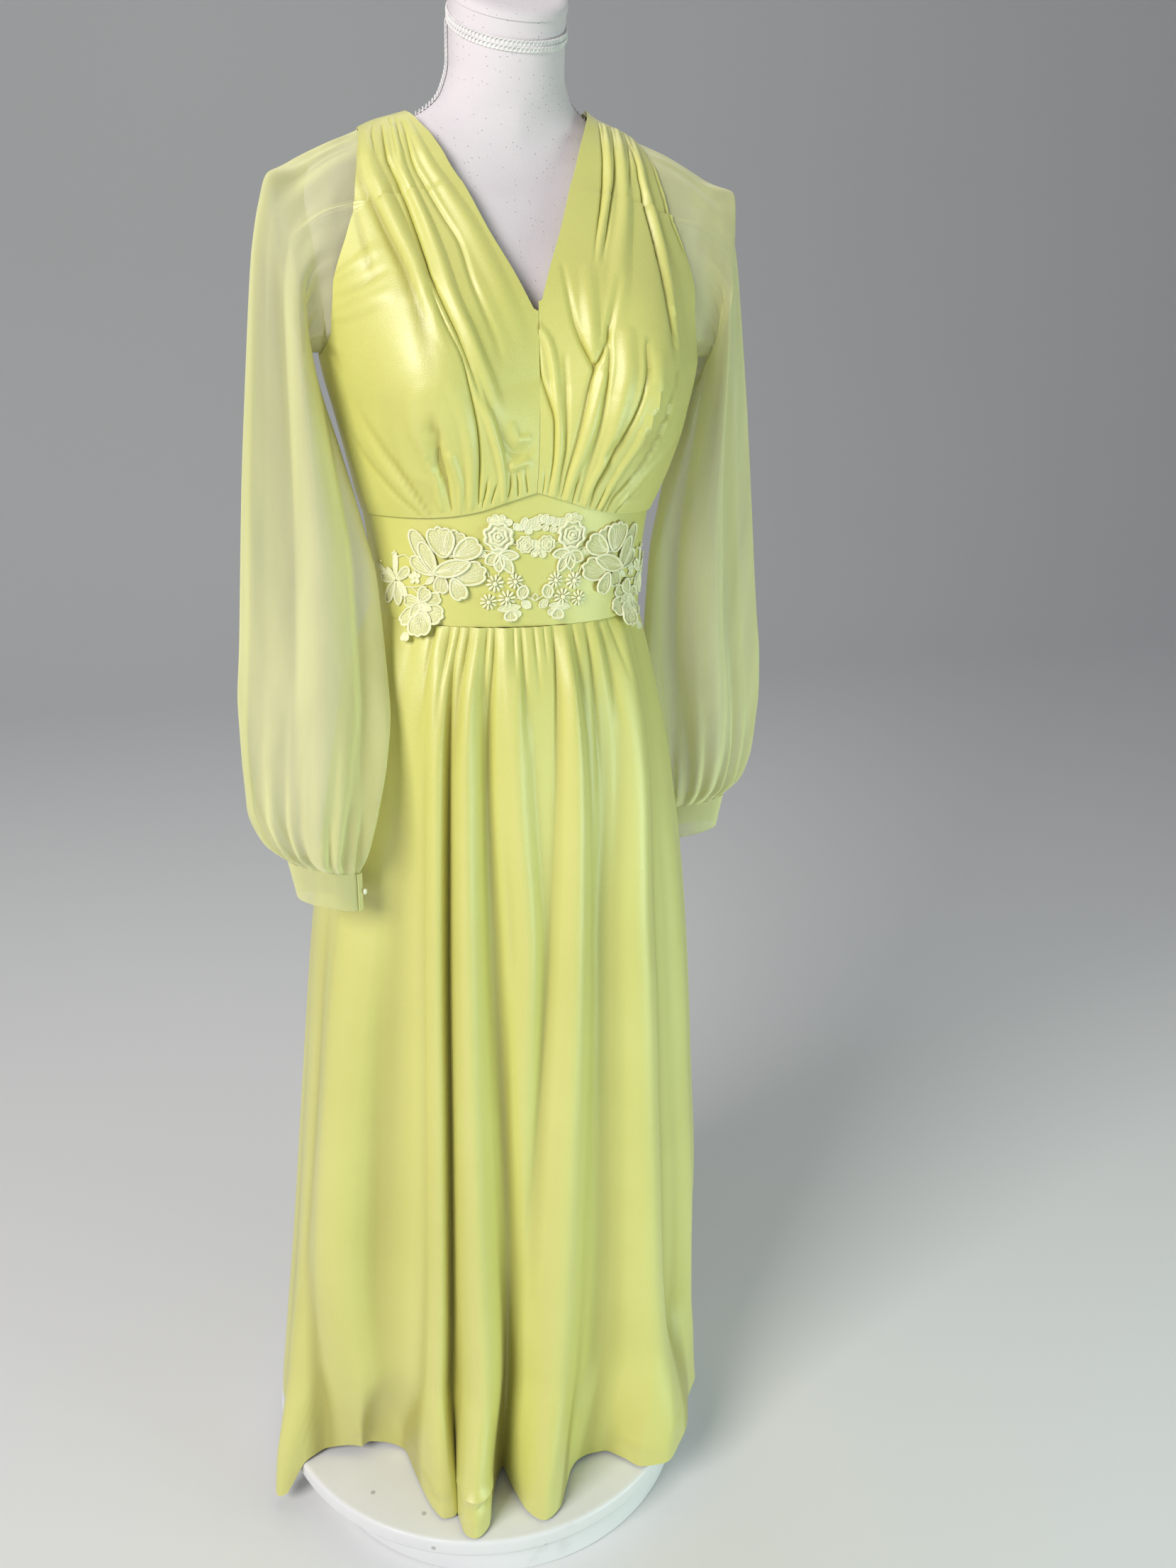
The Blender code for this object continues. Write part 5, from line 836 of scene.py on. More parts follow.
BACK_CREASES = {
    Side.RIGHT: [
        Crease(((-20, 1385, 9, 0), (-34, 1352, 12, 1.4), (-46, 1310, 13, 1.6), (-52, 1262, 12, .9),
                (-54, 1220, 10, 0))),
        Crease(((-118, 1150, 8, 0), (-96, 1140, 10, -1.3), (-72, 1124, 10, -1.5), (-48, 1112, 8, 0))),
        Crease(((-122, 1172, 9, 0), (-98, 1163, 11, 1.5), (-70, 1146, 11, 1.2), (-44, 1131, 9, 0))),
        Crease(((-16, 1128, 5, 0), (-14, 1160, 7, -1.0), (-18, 1205, 8, -.8), (-22, 1240, 8, 0))),
        Crease(((-110, 1330, 7, 0), (-98, 1300, 9, -1.2), (-92, 1262, 10, -1.0), (-90, 1225, 9, 0))),
    ],
    Side.LEFT: [
        Crease(((26, 1380, 8, 0), (41, 1340, 11, 1.5), (50, 1290, 13, 1.3), (53, 1245, 12, 0))),
        Crease(((116, 1158, 8, 0), (90, 1143, 10, -1.5), (62, 1127, 9, -1.2), (36, 1117, 7, 0))),
        Crease(((112, 1186, 10, 0), (86, 1170, 11, 1.2), (58, 1150, 10, 1.4), (30, 1137, 8, 0))),
        Crease(((20, 1150, 6, 0), (17, 1190, 8, -1.1), (21, 1232, 9, -.7), (24, 1262, 8, 0))),
        Crease(((104, 1338, 7, 0), (95, 1296, 9, -1.0), (91, 1250, 9, -1.3), (93, 1214, 8, 0))),
    ],
}
BAND_CREASES = {
    "front": [Crease(((-151, 1098, 5, 0), (-147, 1080, 7, .8), (-139, 1056, 8, .9), (-131, 1034, 8, 0)))],
    "left": [Crease(((96, 1092, 6, 0), (80, 1072, 8, .8), (66, 1052, 7, 0)))],
    "right": [Crease(((-30, 1088, 6, 0), (-44, 1066, 8, .7), (-58, 1046, 7, 0)))],
}


class Bench:
    """Puts finished meshes in the scene."""

    @staticmethod
    def mesh(name: str, vertices: Array, faces: Array, uv: Array | None, material: bpy.types.Material,
             sharp: float = 50.0) -> bpy.types.Object:
        """Makes an object of triangles or quads.

        Args:
            name: The piece's name.
            vertices: Points, n by 3.
            faces: Vertex indices, m by 3 or 4.
            uv: A place on the cloth for each vertex, in metres, or None.
            material: Its finish.
            sharp: The angle past which an edge is shaded sharp.

        Returns:
            The new object, at the origin.
        """
        faces = np.asarray(faces, np.int32)
        corners = faces.shape[1]
        mesh = bpy.data.meshes.new(name)
        mesh.vertices.add(len(vertices))
        mesh.vertices.foreach_set("co", np.asarray(vertices, np.float32).ravel())
        mesh.loops.add(faces.size)
        mesh.loops.foreach_set("vertex_index", faces.ravel())
        mesh.polygons.add(len(faces))
        mesh.polygons.foreach_set("loop_start", np.arange(0, faces.size, corners, dtype=np.int32))
        mesh.update(calc_edges=True)
        if uv is not None:
            layer = mesh.uv_layers.new(name="cloth")
            layer.data.foreach_set("uv", np.asarray(uv, np.float32)[faces.ravel()].ravel())
        mesh.validate()
        mesh.materials.append(material)
        mesh.shade_smooth()
        mesh.set_sharp_from_angle(angle=math.radians(sharp))
        placed = bpy.data.objects.new(name, mesh)
        bpy.context.scene.collection.objects.link(placed)
        return placed

    @staticmethod
    def volume(vertices: Array, quads: Array) -> float:
        """The signed volume inside closed quads."""
        a, b, c, d = (vertices[quads[:, k]] for k in range(4))
        return float((a * (np.cross(b, c) + np.cross(c, d))).sum() / 6)

    @staticmethod
    def grid_quads(rows: int, columns: int, closed: bool) -> Array:
        """The quads of a grid, as indices of its points row by row.

        Args:
            rows: How many rows of points.
            columns: How many columns.
            closed: Whether the columns go all round.

        Returns:
            The quads, four indices each.
        """
        last = columns if closed else columns - 1
        r, c = np.meshgrid(np.arange(rows - 1), np.arange(last), indexing="ij")
        n = (c + 1) % columns
        low, high = r * columns, (r + 1) * columns
        return np.stack([low + c, low + n, high + n, high + c], -1).reshape(-1, 4)

    @staticmethod
    def way_along(points: Array) -> Array:
        """The mean way up a grid to each of its rows."""
        return np.concatenate([[0], np.cumsum(np.linalg.norm(np.diff(points, axis=0), axis=2).mean(axis=1))])

    @staticmethod
    def pairs(across: Array, along: Array) -> Array:
        """Every pair of a place across and a place along, row by row."""
        return np.stack(np.broadcast_arrays(across[None, :], along[:, None]), axis=-1).reshape(-1, 2)

    @staticmethod
    def cloth_uv(points: Array) -> Array:
        """A place on the cloth for each grid point, in metres along its rows and columns.

        Args:
            points: Points of a grid, rows by columns.

        Returns:
            A pair for each point.
        """
        across = np.linalg.norm(np.diff(points, axis=1), axis=2).mean(axis=0)
        return Bench.pairs(np.concatenate([[0], np.cumsum(across)]), Bench.way_along(points))

    @staticmethod
    def shell(name: str, inside: Array, wall: float, material: bpy.types.Material, closed: bool = False,
              flip: bool = False, seams: dict[str, int] | None = None,
              hollow: Array | None = None) -> bpy.types.Object:
        """A thin cloth shell with a rim.

        Args:
            name: The piece's name.
            inside: The inner face's points, rows by columns.
            wall: The cloth's thickness.
            material: Its finish.
            closed: Whether the columns go all round.
            flip: Whether the grid's normals point inwards.
            seams: For each named edge, the axis to which its rim stands square.
            hollow: How deep each point lies in a fold, from 0 to 1, kept as a mask that the satin darkens as
                painted shade.

        Returns:
            The new object.
        """
        normals = grid_normals(inside, closed) * (-1 if flip else 1)
        places = {"bottom": (0, slice(None)), "top": (-1, slice(None)),
                  "start": (slice(None), 0), "end": (slice(None), -1)}
        for edge, axis in (seams or {}).items():
            chosen = normals[places[edge]]
            chosen[:, axis] = 0.0
            normals[places[edge]] = chosen / np.maximum(np.linalg.norm(chosen, axis=1, keepdims=True), TINY)
        rows, columns = inside.shape[:2]
        vertices = np.concatenate([inside.reshape(-1, 3), (inside + normals * wall).reshape(-1, 3)])
        count = rows * columns
        quads = Bench.grid_quads(rows, columns, closed)
        parts = [quads[:, ::-1], quads + count]
        line = np.arange(columns + 1) % columns if closed else np.arange(columns)
        rims = [(line, 1), ((rows - 1) * columns + line, -1)]
        if not closed:
            line = np.arange(rows) * columns
            rims += [(line, -1), (columns - 1 + line, 1)]
        for rim, turn in rims:
            parts.append(np.stack([rim[:-1], rim[1:], rim[1:] + count, rim[:-1] + count], -1)[:, ::turn])
        faces = np.concatenate(parts)
        if Bench.volume(vertices, faces) < 0:
            faces = faces[:, ::-1]
        uv = Bench.cloth_uv(inside)
        piece = Bench.mesh(name, vertices, faces, np.concatenate([uv, uv]), material)
        # The fold depths go on as an attribute, the mask of the satin's painted shade.
        if hollow is not None:
            depth = piece.data.attributes.new("hollow", "FLOAT", "POINT")
            depth.data.foreach_set("value", np.tile(hollow.ravel(), 2).astype(np.float32))
        return piece

    @staticmethod
    def outwards(vertices: Array, triangles: Array) -> Array:
        """The triangles of a closed body, turned to face out."""
        a, b, c = (vertices[triangles[:, k]] - vertices[0] for k in range(3))
        return triangles[:, ::-1] if (a * np.cross(b, c)).sum() < 0 else triangles

    @staticmethod
    def closed_rings(rings: Array) -> tuple[Array, Array]:
        """The points and triangles of a body through rings of points, with a fan at each end.

        Args:
            rings: Points, rings by columns by 3.

        Returns:
            The points and the triangles.
        """
        rows, columns = rings.shape[:2]
        flat = rings.reshape(-1, 3)
        vertices = np.concatenate([flat, rings[0].mean(axis=0)[None], rings[-1].mean(axis=0)[None]])
        quads = Bench.grid_quads(rows, columns, True)
        line = np.arange(columns)
        following = (line + 1) % columns
        top = (rows - 1) * columns
        low = np.stack([np.full(columns, len(flat)), following, line], -1)
        high = np.stack([np.full(columns, len(flat) + 1), top + line, top + following], -1)
        triangles = np.concatenate([quads[:, [0, 1, 2]], quads[:, [0, 2, 3]], low, high])
        return vertices, Bench.outwards(vertices, triangles)

    @staticmethod
    def stack(name: str, rings: Array, material: bpy.types.Material, sharp: float = 40.0
              ) -> bpy.types.Object:
        """A closed solid through rings of points, closed at each end by a fan.

        Args:
            name: The piece's name.
            rings: Points, rings by columns by 3.
            material: Its finish.
            sharp: The angle past which an edge is shaded sharp.

        Returns:
            The new object.
        """
        columns = rings.shape[1]
        vertices, triangles = Bench.closed_rings(rings)
        up = Bench.way_along(rings)
        uv = Bench.pairs(np.linspace(0, 1, columns, endpoint=False), up)
        uv = np.concatenate([uv, [[0.5, 0.0], [0.5, up[-1]]]])
        return Bench.mesh(name, vertices, triangles, uv, material, sharp)

    @staticmethod
    def turned(name: str, profile: Array, centre: tuple[float, float], segments: int,
               material: bpy.types.Material) -> bpy.types.Object:
        """A round piece from (radius, z) rows, turned about a vertical line.

        Args:
            name: The piece's name.
            profile: Rows of radius and z.
            centre: The line's x and y.
            segments: Points round.
            material: Its finish.

        Returns:
            The new object.
        """
        a = np.linspace(0, 2 * math.pi, segments, endpoint=False)
        profile = np.asarray(profile, float)
        x = centre[0] + profile[:, :1] * np.cos(a)[None, :]
        y = centre[1] + profile[:, :1] * np.sin(a)[None, :]
        z = np.broadcast_to(profile[:, 1:], x.shape)
        return Bench.stack(name, np.stack([x, y, z], axis=-1), material)


class Wiring:
    """Places nodes in a tree and joins them."""

    def __init__(self, tree: bpy.types.NodeTree) -> None:
        """Starts on a tree."""
        self.tree = tree
        self.column = 0

    def add(self, kind: str, inputs: dict | None = None, **settings: object) -> bpy.types.Node:
        """Adds a node.

        Args:
            kind: The node's type.
            inputs: Sockets or values by the input's name or place.
            settings: The node's own properties.

        Returns:
            The new node.
        """
        node = self.tree.nodes.new(kind)
        node.location = (self.column * 180, 0)
        self.column += 1
        for key, value in settings.items():
            setattr(node, key, value)
        for key, value in (inputs or {}).items():
            if isinstance(value, bpy.types.NodeSocket):
                self.link(value, node.inputs[key])
            else:
                node.inputs[key].default_value = value
        return node

    def link(self, value: bpy.types.NodeSocket, socket: bpy.types.NodeSocket) -> None:
        """Joins an output to an input."""
        self.tree.links.new(value, socket)

    def math(self, operation: str, *values: object) -> bpy.types.NodeSocket:
        """The result of a Math node on sockets or numbers."""
        return self.add("ShaderNodeMath", dict(enumerate(values)), operation=operation).outputs[0]

    def mix(self, share: object, a: object, b: object) -> bpy.types.NodeSocket:
        """A colour part of the way from one to the other."""
        return self.add("ShaderNodeMix", {0: share, 6: a, 7: b}, data_type="RGBA").outputs[2]

    def ramp(self, value: bpy.types.NodeSocket, low: float, high: float, to_low: float = 0.0,
             to_high: float = 1.0) -> bpy.types.NodeSocket:
        """A value carried from one range to another, held at its ends."""
        return self.add("ShaderNodeMapRange", {0: value, 1: low, 2: high, 3: to_low, 4: to_high}).outputs[0]

    def noise(self, place: bpy.types.NodeSocket, scale: object, detail: float = 3.0,
              roughness: float = 0.5) -> bpy.types.NodeSocket:
        """Soft noise at a place."""
        inputs = {"Vector": place, "Scale": scale, "Detail": detail, "Roughness": roughness}
        return self.add("ShaderNodeTexNoise", inputs).outputs["Fac"]


class Repeat:
    """Repeats a small ring along a line by Geometry Nodes, made into a plain mesh at the end."""

    @staticmethod
    def tree(material: bpy.types.Material) -> bpy.types.NodeTree:
        """The tree that lays rings along a line, with its spacing, size, thickness and stretch as inputs.

        Args:
            material: The rings' material.

        Returns:
            The node tree.
        """
        name = f"rings_along_a_line_{material.name}"
        if name in bpy.data.node_groups:
            return bpy.data.node_groups[name]
        tree = bpy.data.node_groups.new(name, "GeometryNodeTree")
        tree.interface.new_socket("Line", in_out="INPUT", socket_type="NodeSocketGeometry")
        for label in ("Spacing", "Size", "Thickness"):
            tree.interface.new_socket(label, in_out="INPUT", socket_type="NodeSocketFloat")
        tree.interface.new_socket("Stretch", in_out="INPUT", socket_type="NodeSocketVector")
        tree.interface.new_socket("Rings", in_out="OUTPUT", socket_type="NodeSocketGeometry")
        nodes = Wiring(tree)
        start, end = nodes.add("NodeGroupInput"), nodes.add("NodeGroupOutput")
        curve = nodes.add("GeometryNodeMeshToCurve", {"Mesh": start.outputs["Line"]})
        even = nodes.add("GeometryNodeResampleCurve", mode="LENGTH")
        tree.links.new(curve.outputs[0], even.inputs["Curve"])
        tree.links.new(start.outputs["Spacing"], even.inputs["Length"])
        circle, section = (
            nodes.add("GeometryNodeCurvePrimitiveCircle",
                      {"Resolution": corners, "Radius": start.outputs[label]})
            for corners, label in ((12, "Size"), (5, "Thickness")))
        ring = nodes.add("GeometryNodeCurveToMesh",
                         {"Curve": circle.outputs["Curve"], "Profile Curve": section.outputs["Curve"]})
        up = nodes.add("GeometryNodeInputNamedAttribute", {"Name": "away"}, data_type="FLOAT_VECTOR")
        flat = nodes.add("FunctionNodeAlignRotationToVector", {"Vector": up.outputs[0]}, axis="Z")
        along = nodes.add("GeometryNodeInputTangent")
        turned = nodes.add("FunctionNodeAlignRotationToVector",
                           {"Rotation": flat.outputs[0], "Vector": along.outputs[0]},
                           axis="X", pivot_axis="Z")
        laid = nodes.add("GeometryNodeInstanceOnPoints",
                         {"Points": even.outputs[0], "Instance": ring.outputs[0],
                          "Rotation": turned.outputs[0], "Scale": start.outputs["Stretch"]})
        real = nodes.add("GeometryNodeRealizeInstances", {"Geometry": laid.outputs[0]})
        painted = nodes.add("GeometryNodeSetMaterial", {"Geometry": real.outputs[0], "Material": material})
        tree.links.new(painted.outputs[0], end.inputs["Rings"])
        return tree

    @staticmethod
    def rings(name: str, lines: list[tuple[Array, Array]], material: bpy.types.Material, spacing: float,
              size: float, thickness: float, stretch: tuple[float, float, float] = (1, 1, 1)
              ) -> bpy.types.Object:
        """Lays rings along lines.

        Args:
            name: The piece's name.
            lines: Each line's points and the way that faces away from the surface there.
            material: The rings' material.
            spacing: The step along a line.
            size: A ring's radius.
            thickness: Its cord's radius.
            stretch: How it is scaled along the line, across it and away from the surface.

        Returns:
            The rings as one plain mesh.
        """
        mesh = bpy.data.meshes.new(name)
        points = np.concatenate([line for line, _ in lines])
        edges, first = [], 0
        for line, _ in lines:
            edges += [(first + k, first + k + 1) for k in range(len(line) - 1)]
            first += len(line)
        mesh.from_pydata([tuple(point) for point in points], edges, [])
        away = mesh.attributes.new("away", "FLOAT_VECTOR", "POINT")
        ways = np.concatenate([way for _, way in lines])
        away.data.foreach_set("vector", ways.astype(np.float32).ravel())
        holder = bpy.data.objects.new(name, mesh)
        bpy.context.scene.collection.objects.link(holder)
        modifier = holder.modifiers.new("rings", "NODES")
        modifier.node_group = Repeat.tree(material)
        values = {"Spacing": spacing, "Size": size, "Thickness": thickness, "Stretch": stretch}
        for item in modifier.node_group.interface.items_tree:
            if item.in_out == "INPUT" and item.name in values:
                modifier[item.identifier] = values[item.name]
        evaluated = holder.evaluated_get(bpy.context.evaluated_depsgraph_get())
        made = bpy.data.meshes.new_from_object(evaluated)
        bpy.data.objects.remove(holder, do_unlink=True)
        made.name = name
        made.shade_smooth()
        piece = bpy.data.objects.new(name, made)
        bpy.context.scene.collection.objects.link(piece)
        return piece


class Effects:
    """Shared effects, each a node group that is built once."""

    @staticmethod
    def group(name: str, inputs: dict[str, object], outputs: dict[str, str]
              ) -> tuple[Wiring, bpy.types.Node, bpy.types.Node]:
        """Starts a node group with a place on the surface as its first input.

        Args:
            name: The group's name.
            inputs: Each other input's value, a number or a colour, by its name.
            outputs: Each output's kind by its name.

        Returns:
            The group's wiring, its input node and its output node.
        """
        tree = bpy.data.node_groups.new(name, "ShaderNodeTree")
        tree.interface.new_socket("Place", in_out="INPUT", socket_type="NodeSocketVector")
        for label, value in inputs.items():
            kind = "NodeSocketFloat" if isinstance(value, float) else "NodeSocketColor"
            tree.interface.new_socket(label, in_out="INPUT", socket_type=kind).default_value = value
        for label, kind in outputs.items():
            tree.interface.new_socket(label, in_out="OUTPUT", socket_type=f"NodeSocket{kind}")
        nodes = Wiring(tree)
        return nodes, nodes.add("NodeGroupInput"), nodes.add("NodeGroupOutput")

    @staticmethod
    @cache
    def threads() -> bpy.types.NodeTree:
        """Crossing threads of a weave or knit, as a height and a cover mask.

        Returns:
            The node group.
        """
        nodes, start, end = Effects.group(
            "crossing_threads",
            {"Across": 2000.0, "Along": 2000.0, "Waver": 0.15},
            {"Height": "Float", "Cover": "Float"})
        place = start.outputs["Place"]
        drift = nodes.noise(place, 90.0, 2.0)
        shift = nodes.math("MULTIPLY", nodes.math("SUBTRACT", drift, 0.5), start.outputs["Waver"])
        split = nodes.add("ShaderNodeSeparateXYZ", {0: place})
        waves = []
        for axis, rate in enumerate(("Across", "Along")):
            phase = nodes.math("MULTIPLY", split.outputs[axis], start.outputs[rate])
            phase = nodes.math("ADD", phase, nodes.math("MULTIPLY", shift, 12.0))
            waves.append(nodes.math("MULTIPLY", nodes.math("ADD", nodes.math("SINE", phase), 1.0), 0.5))
        height = nodes.math("MAXIMUM", *waves)
        open_shares = [nodes.math("SUBTRACT", 1.0, wave) for wave in waves]
        cover = nodes.math("SUBTRACT", 1.0, nodes.math("MULTIPLY", *open_shares))
        nodes.link(height, end.inputs["Height"])
        nodes.link(cover, end.inputs["Cover"])
        return nodes.tree

    @staticmethod
    @cache
    def tints() -> bpy.types.NodeTree:
        """Two tints drifting over a surface, with finer grain.

        Returns:
            The node group.
        """
        nodes, start, end = Effects.group(
            "drifting_tints",
            {"First": WHITE, "Second": WHITE, "Broad": 6.0, "Fine": 300.0, "Grain": 0.2},
            {"Colour": "Color"})
        broad = nodes.noise(start.outputs["Place"], start.outputs["Broad"])
        fine = nodes.noise(start.outputs["Place"], start.outputs["Fine"], 2.0)
        share = nodes.ramp(broad, 0.35, 0.65)
        grain = nodes.math("MULTIPLY", nodes.math("SUBTRACT", fine, 0.5), start.outputs["Grain"])
        share = nodes.add("ShaderNodeClamp", {0: nodes.math("ADD", share, grain)}).outputs[0]
        colour = nodes.mix(share, start.outputs["First"], start.outputs["Second"])
        nodes.link(colour, end.inputs["Colour"])
        return nodes.tree

    @staticmethod
    @cache
    def specks() -> bpy.types.NodeTree:
        """Small scattered specks, as a mask.

        Returns:
            The node group.
        """
        nodes, start, end = Effects.group(
            "scattered_specks",
            {"Rate": 260.0, "Size": 0.16, "Share": 0.3},
            {"Mask": "Float"})
        inputs = {"Vector": start.outputs["Place"], "Scale": start.outputs["Rate"]}
        cells = nodes.add("ShaderNodeTexVoronoi", inputs)
        near = nodes.math("LESS_THAN", cells.outputs["Distance"], start.outputs["Size"])
        pick = nodes.add("ShaderNodeSeparateColor", {0: cells.outputs["Color"]}).outputs[0]
        some = nodes.math("LESS_THAN", pick, start.outputs["Share"])
        nodes.link(nodes.math("MULTIPLY", near, some), end.inputs["Mask"])
        return nodes.tree


WHITE = (1.0, 1.0, 1.0, 1.0)
# Painted shade for the satin's deeper folds.
FOLD_SHADE_COLOUR = (0.40, 0.365, 0.055, 1.0)
# The band seen through the net's holes, darkened as painted shade.
SHADED_BAND_HOLE_COLOUR = (0.38, 0.37, 0.08, 1.0)
FLECK_COLOUR = (0.20, 0.18, 0.20, 1.0)
SMUDGE_COLOUR = (0.50, 0.49, 0.50, 1.0)
CHIP_COLOUR = (0.30, 0.28, 0.27, 1.0)


@dataclass(frozen=True)
class Finish:
    """A finish of one of the dress's or the stand's surfaces."""

    name: str
    slot: str
    colour: tuple[float, float, float]
    shade: tuple[float, float, float]
    roughness: float = 0.5
    sheen: float = 0.0
    sheen_roughness: float = 0.4
    specular: float = 0.5
    coat: float = 0.0
    coat_roughness: float = 0.3
    broad: float = 60.0
    fine: float = 1500.0
    grain: float = 0.4

    def material(self) -> bpy.types.Material:
        """The finish's material, built on first use.

        Returns:
            The material.
        """
        found = bpy.data.materials.get(self.name)
        if found:
            return found
        material = bpy.data.materials.new(self.name)
        material.use_nodes = True
        self.paint(Surface(material.node_tree, self))
        return material

    def paint(self, nodes: "Surface") -> None:
        """Adds the finish's own nodes, here none."""


class Surface(Wiring):
    """A material's nodes, with its coordinates and its two tints drifting over it."""

    def __init__(self, tree: bpy.types.NodeTree, finish: Finish) -> None:
        """Sets the shader's values and lays the tints.

        Args:
            tree: The material's tree.
            finish: Its finish.
        """
        super().__init__(tree)
        self.shader = tree.nodes["Principled BSDF"]
        values = {"Base Color": (*finish.colour, 1.0), "Roughness": finish.roughness,
                  "Sheen Weight": finish.sheen, "Sheen Roughness": finish.sheen_roughness,
                  "Specular IOR Level": finish.specular, "Coat Weight": finish.coat,
                  "Coat Roughness": finish.coat_roughness}
        for label, value in values.items():
            self.shader.inputs[label].default_value = value
        places = self.add("ShaderNodeTexCoord").outputs
        self.solid, self.cloth = places["Object"], places["UV"]
        inputs = {"Place": self.solid, "First": (*finish.colour, 1), "Second": (*finish.shade, 1),
                  "Broad": finish.broad, "Fine": finish.fine, "Grain": finish.grain}
        self.tint = self.add("ShaderNodeGroup", inputs, node_tree=Effects.tints()).outputs["Colour"]
        self.feed("Base Color", self.tint)

    def feed(self, label: str, value: bpy.types.NodeSocket) -> None:
        """Joins an output to one of the shader's inputs."""
        self.link(value, self.shader.inputs[label])

    def stain_and_shade(self, base: bpy.types.NodeSocket, mask: bpy.types.NodeSocket, depth: float,
              colour: tuple[float, float, float, float]) -> bpy.types.NodeSocket:
        """The base colour with another one over it where a mask says so, up to a depth, used both for real
        marks and for painted shade.
        """
        return self.mix(self.math("MULTIPLY", mask, depth), base, colour)

    def woven(self, across: float, along: float) -> bpy.types.Node:
        """Crossing threads on the cloth, with their rates in radians to the metre."""
        inputs = {"Place": self.cloth, "Across": across, "Along": along}
        return self.add("ShaderNodeGroup", inputs, node_tree=Effects.threads())

    def specked(self, rate: float, size: float, share: float) -> bpy.types.NodeSocket:
        """A mask of specks, with their rate to the metre, their size and the share that shows."""
        inputs = {"Place": self.solid, "Rate": rate, "Size": size, "Share": share}
        return self.add("ShaderNodeGroup", inputs, node_tree=Effects.specks()).outputs["Mask"]

    def bump(self, height: bpy.types.NodeSocket, depth: float, strength: float) -> None:
        """Feeds a height to the shader's normal."""
        inputs = {"Height": height, "Distance": depth, "Strength": strength}
        self.feed("Normal", self.add("ShaderNodeBump", inputs).outputs[0])


class SatinKnit(Finish):
    """Satin-faced knit: broad soft highlights, fine ribs along the cloth."""

    def paint(self, nodes: Surface) -> None:
        """Adds painted shade that darkens the deeper folds, fine ribs and an uneven gloss.

        Args:
            nodes: The material's nodes.
        """
        # Painted shade: the fold-depth mask darkens the satin where its folds lie deep.
        hollow = nodes.add("ShaderNodeAttribute", attribute_name="hollow").outputs["Fac"]
        nodes.feed("Base Color", nodes.stain_and_shade(nodes.tint, hollow, 0.82, FOLD_SHADE_COLOUR))
        mottle = nodes.noise(nodes.solid, 700.0, 2.0)
        nodes.feed("Roughness", nodes.ramp(mottle, 0.3, 0.7, self.roughness - 0.05, self.roughness + 0.07))
        ribs = nodes.math("MULTIPLY", nodes.woven(9000.0, 5200.0).outputs["Height"], 0.35)
        nodes.bump(nodes.math("ADD", ribs, mottle), 0.00022, 0.75)


class SheerChiffon(Finish):
    """Sheer plain weave: see-through face on, denser where it turns away."""

    def paint(self, nodes: Surface) -> None:
        """Adds crossing threads and the see-through share.

        Args:
            nodes: The material's nodes.
        """
        threads = nodes.woven(7000.0, 7000.0)
        turned = nodes.add("ShaderNodeLayerWeight", {"Blend": 0.45}).outputs["Facing"]
        dense = nodes.ramp(turned, 0.08, 0.80, 0.45, 0.97)
        drawn = nodes.add("ShaderNodeMapping", {"Vector": nodes.solid, "Scale": (1.0, 1.0, 0.06)})
        streaks = nodes.ramp(nodes.noise(drawn.outputs[0], 28.0, 2.0), 0.3, 0.7, -0.10, 0.12)
        weave = nodes.ramp(threads.outputs["Cover"], 0.0, 1.0, -0.08, 0.04)
        cover = nodes.math("ADD", nodes.math("ADD", dense, streaks), weave)
        nodes.feed("Alpha", nodes.add("ShaderNodeClamp", {0: cover}).outputs[0])
        nodes.bump(threads.outputs["Height"], 0.0001, 0.4)


class CordedLace(Finish):
    """Guipure lace: matte cords of close satin stitch."""

    def paint(self, nodes: Surface) -> None:
        """Adds fine stitch ribs across the cords."""
        nodes.bump(nodes.woven(12500.0, 9000.0).outputs["Height"], 0.00015, 0.8)


class NetLace(Finish):
    """The fine net that fills the lace's petals."""

    def paint(self, nodes: Surface) -> None:
        """Adds crossing threads, with the holes between them painted as the band seen through them, darkened
        as painted shade.

        Args:
            nodes: The material's nodes.
        """
        threads = nodes.woven(4700.0, 4700.0)
        # Painted shade: the net's holes take the band's colour, darkened.
        holes = nodes.ramp(threads.outputs["Cover"], 0.35, 0.85, 0.55, 0.0)
        nodes.feed("Base Color", nodes.mix(holes, nodes.tint, SHADED_BAND_HOLE_COLOUR))
        nodes.bump(threads.outputs["Height"], 0.0004, 0.8)


class FleckedJersey(Finish):
    """White jersey cover with tiny dark flecks."""

    def paint(self, nodes: Surface) -> None:
        """Adds flecks and knit loops.

        Args:
            nodes: The material's nodes.
        """
        flecks = nodes.specked(330.0, 0.17, 0.30)
        nodes.feed("Base Color", nodes.stain_and_shade(nodes.tint, flecks, 0.62, FLECK_COLOUR))
        nodes.bump(nodes.noise(nodes.solid, 900.0, 2.0), 0.0004, 0.5)


class GimpCord(Finish):
    """White gimp braid of twisted cord."""

    def paint(self, nodes: Surface) -> None:
        """Adds twisted strands."""
        nodes.bump(nodes.noise(nodes.solid, 2200.0, 2.0), 0.0003, 0.7)


class ChippedPaint(Finish):
    """White satin paint with smudges, scuffs and small chips."""

    def paint(self, nodes: Surface) -> None:
        """Adds smudges, chips and brush marks.

        Args:
            nodes: The material's nodes.
        """
        smudge = nodes.ramp(nodes.noise(nodes.solid, 16.0, 4.0, 0.65), 0.60, 0.78)
        smudged = nodes.stain_and_shade(nodes.tint, smudge, 0.38, SMUDGE_COLOUR)
        chips = nodes.specked(42.0, 0.11, 0.24)
        nodes.feed("Base Color", nodes.stain_and_shade(smudged, chips, 0.6, CHIP_COLOUR))
        patches = nodes.noise(nodes.solid, 30.0)
        nodes.feed("Roughness", nodes.ramp(patches, 0.3, 0.7, self.roughness - 0.08, self.roughness + 0.12))
        nodes.bump(nodes.noise(nodes.solid, 55.0), 0.0006, 0.25)


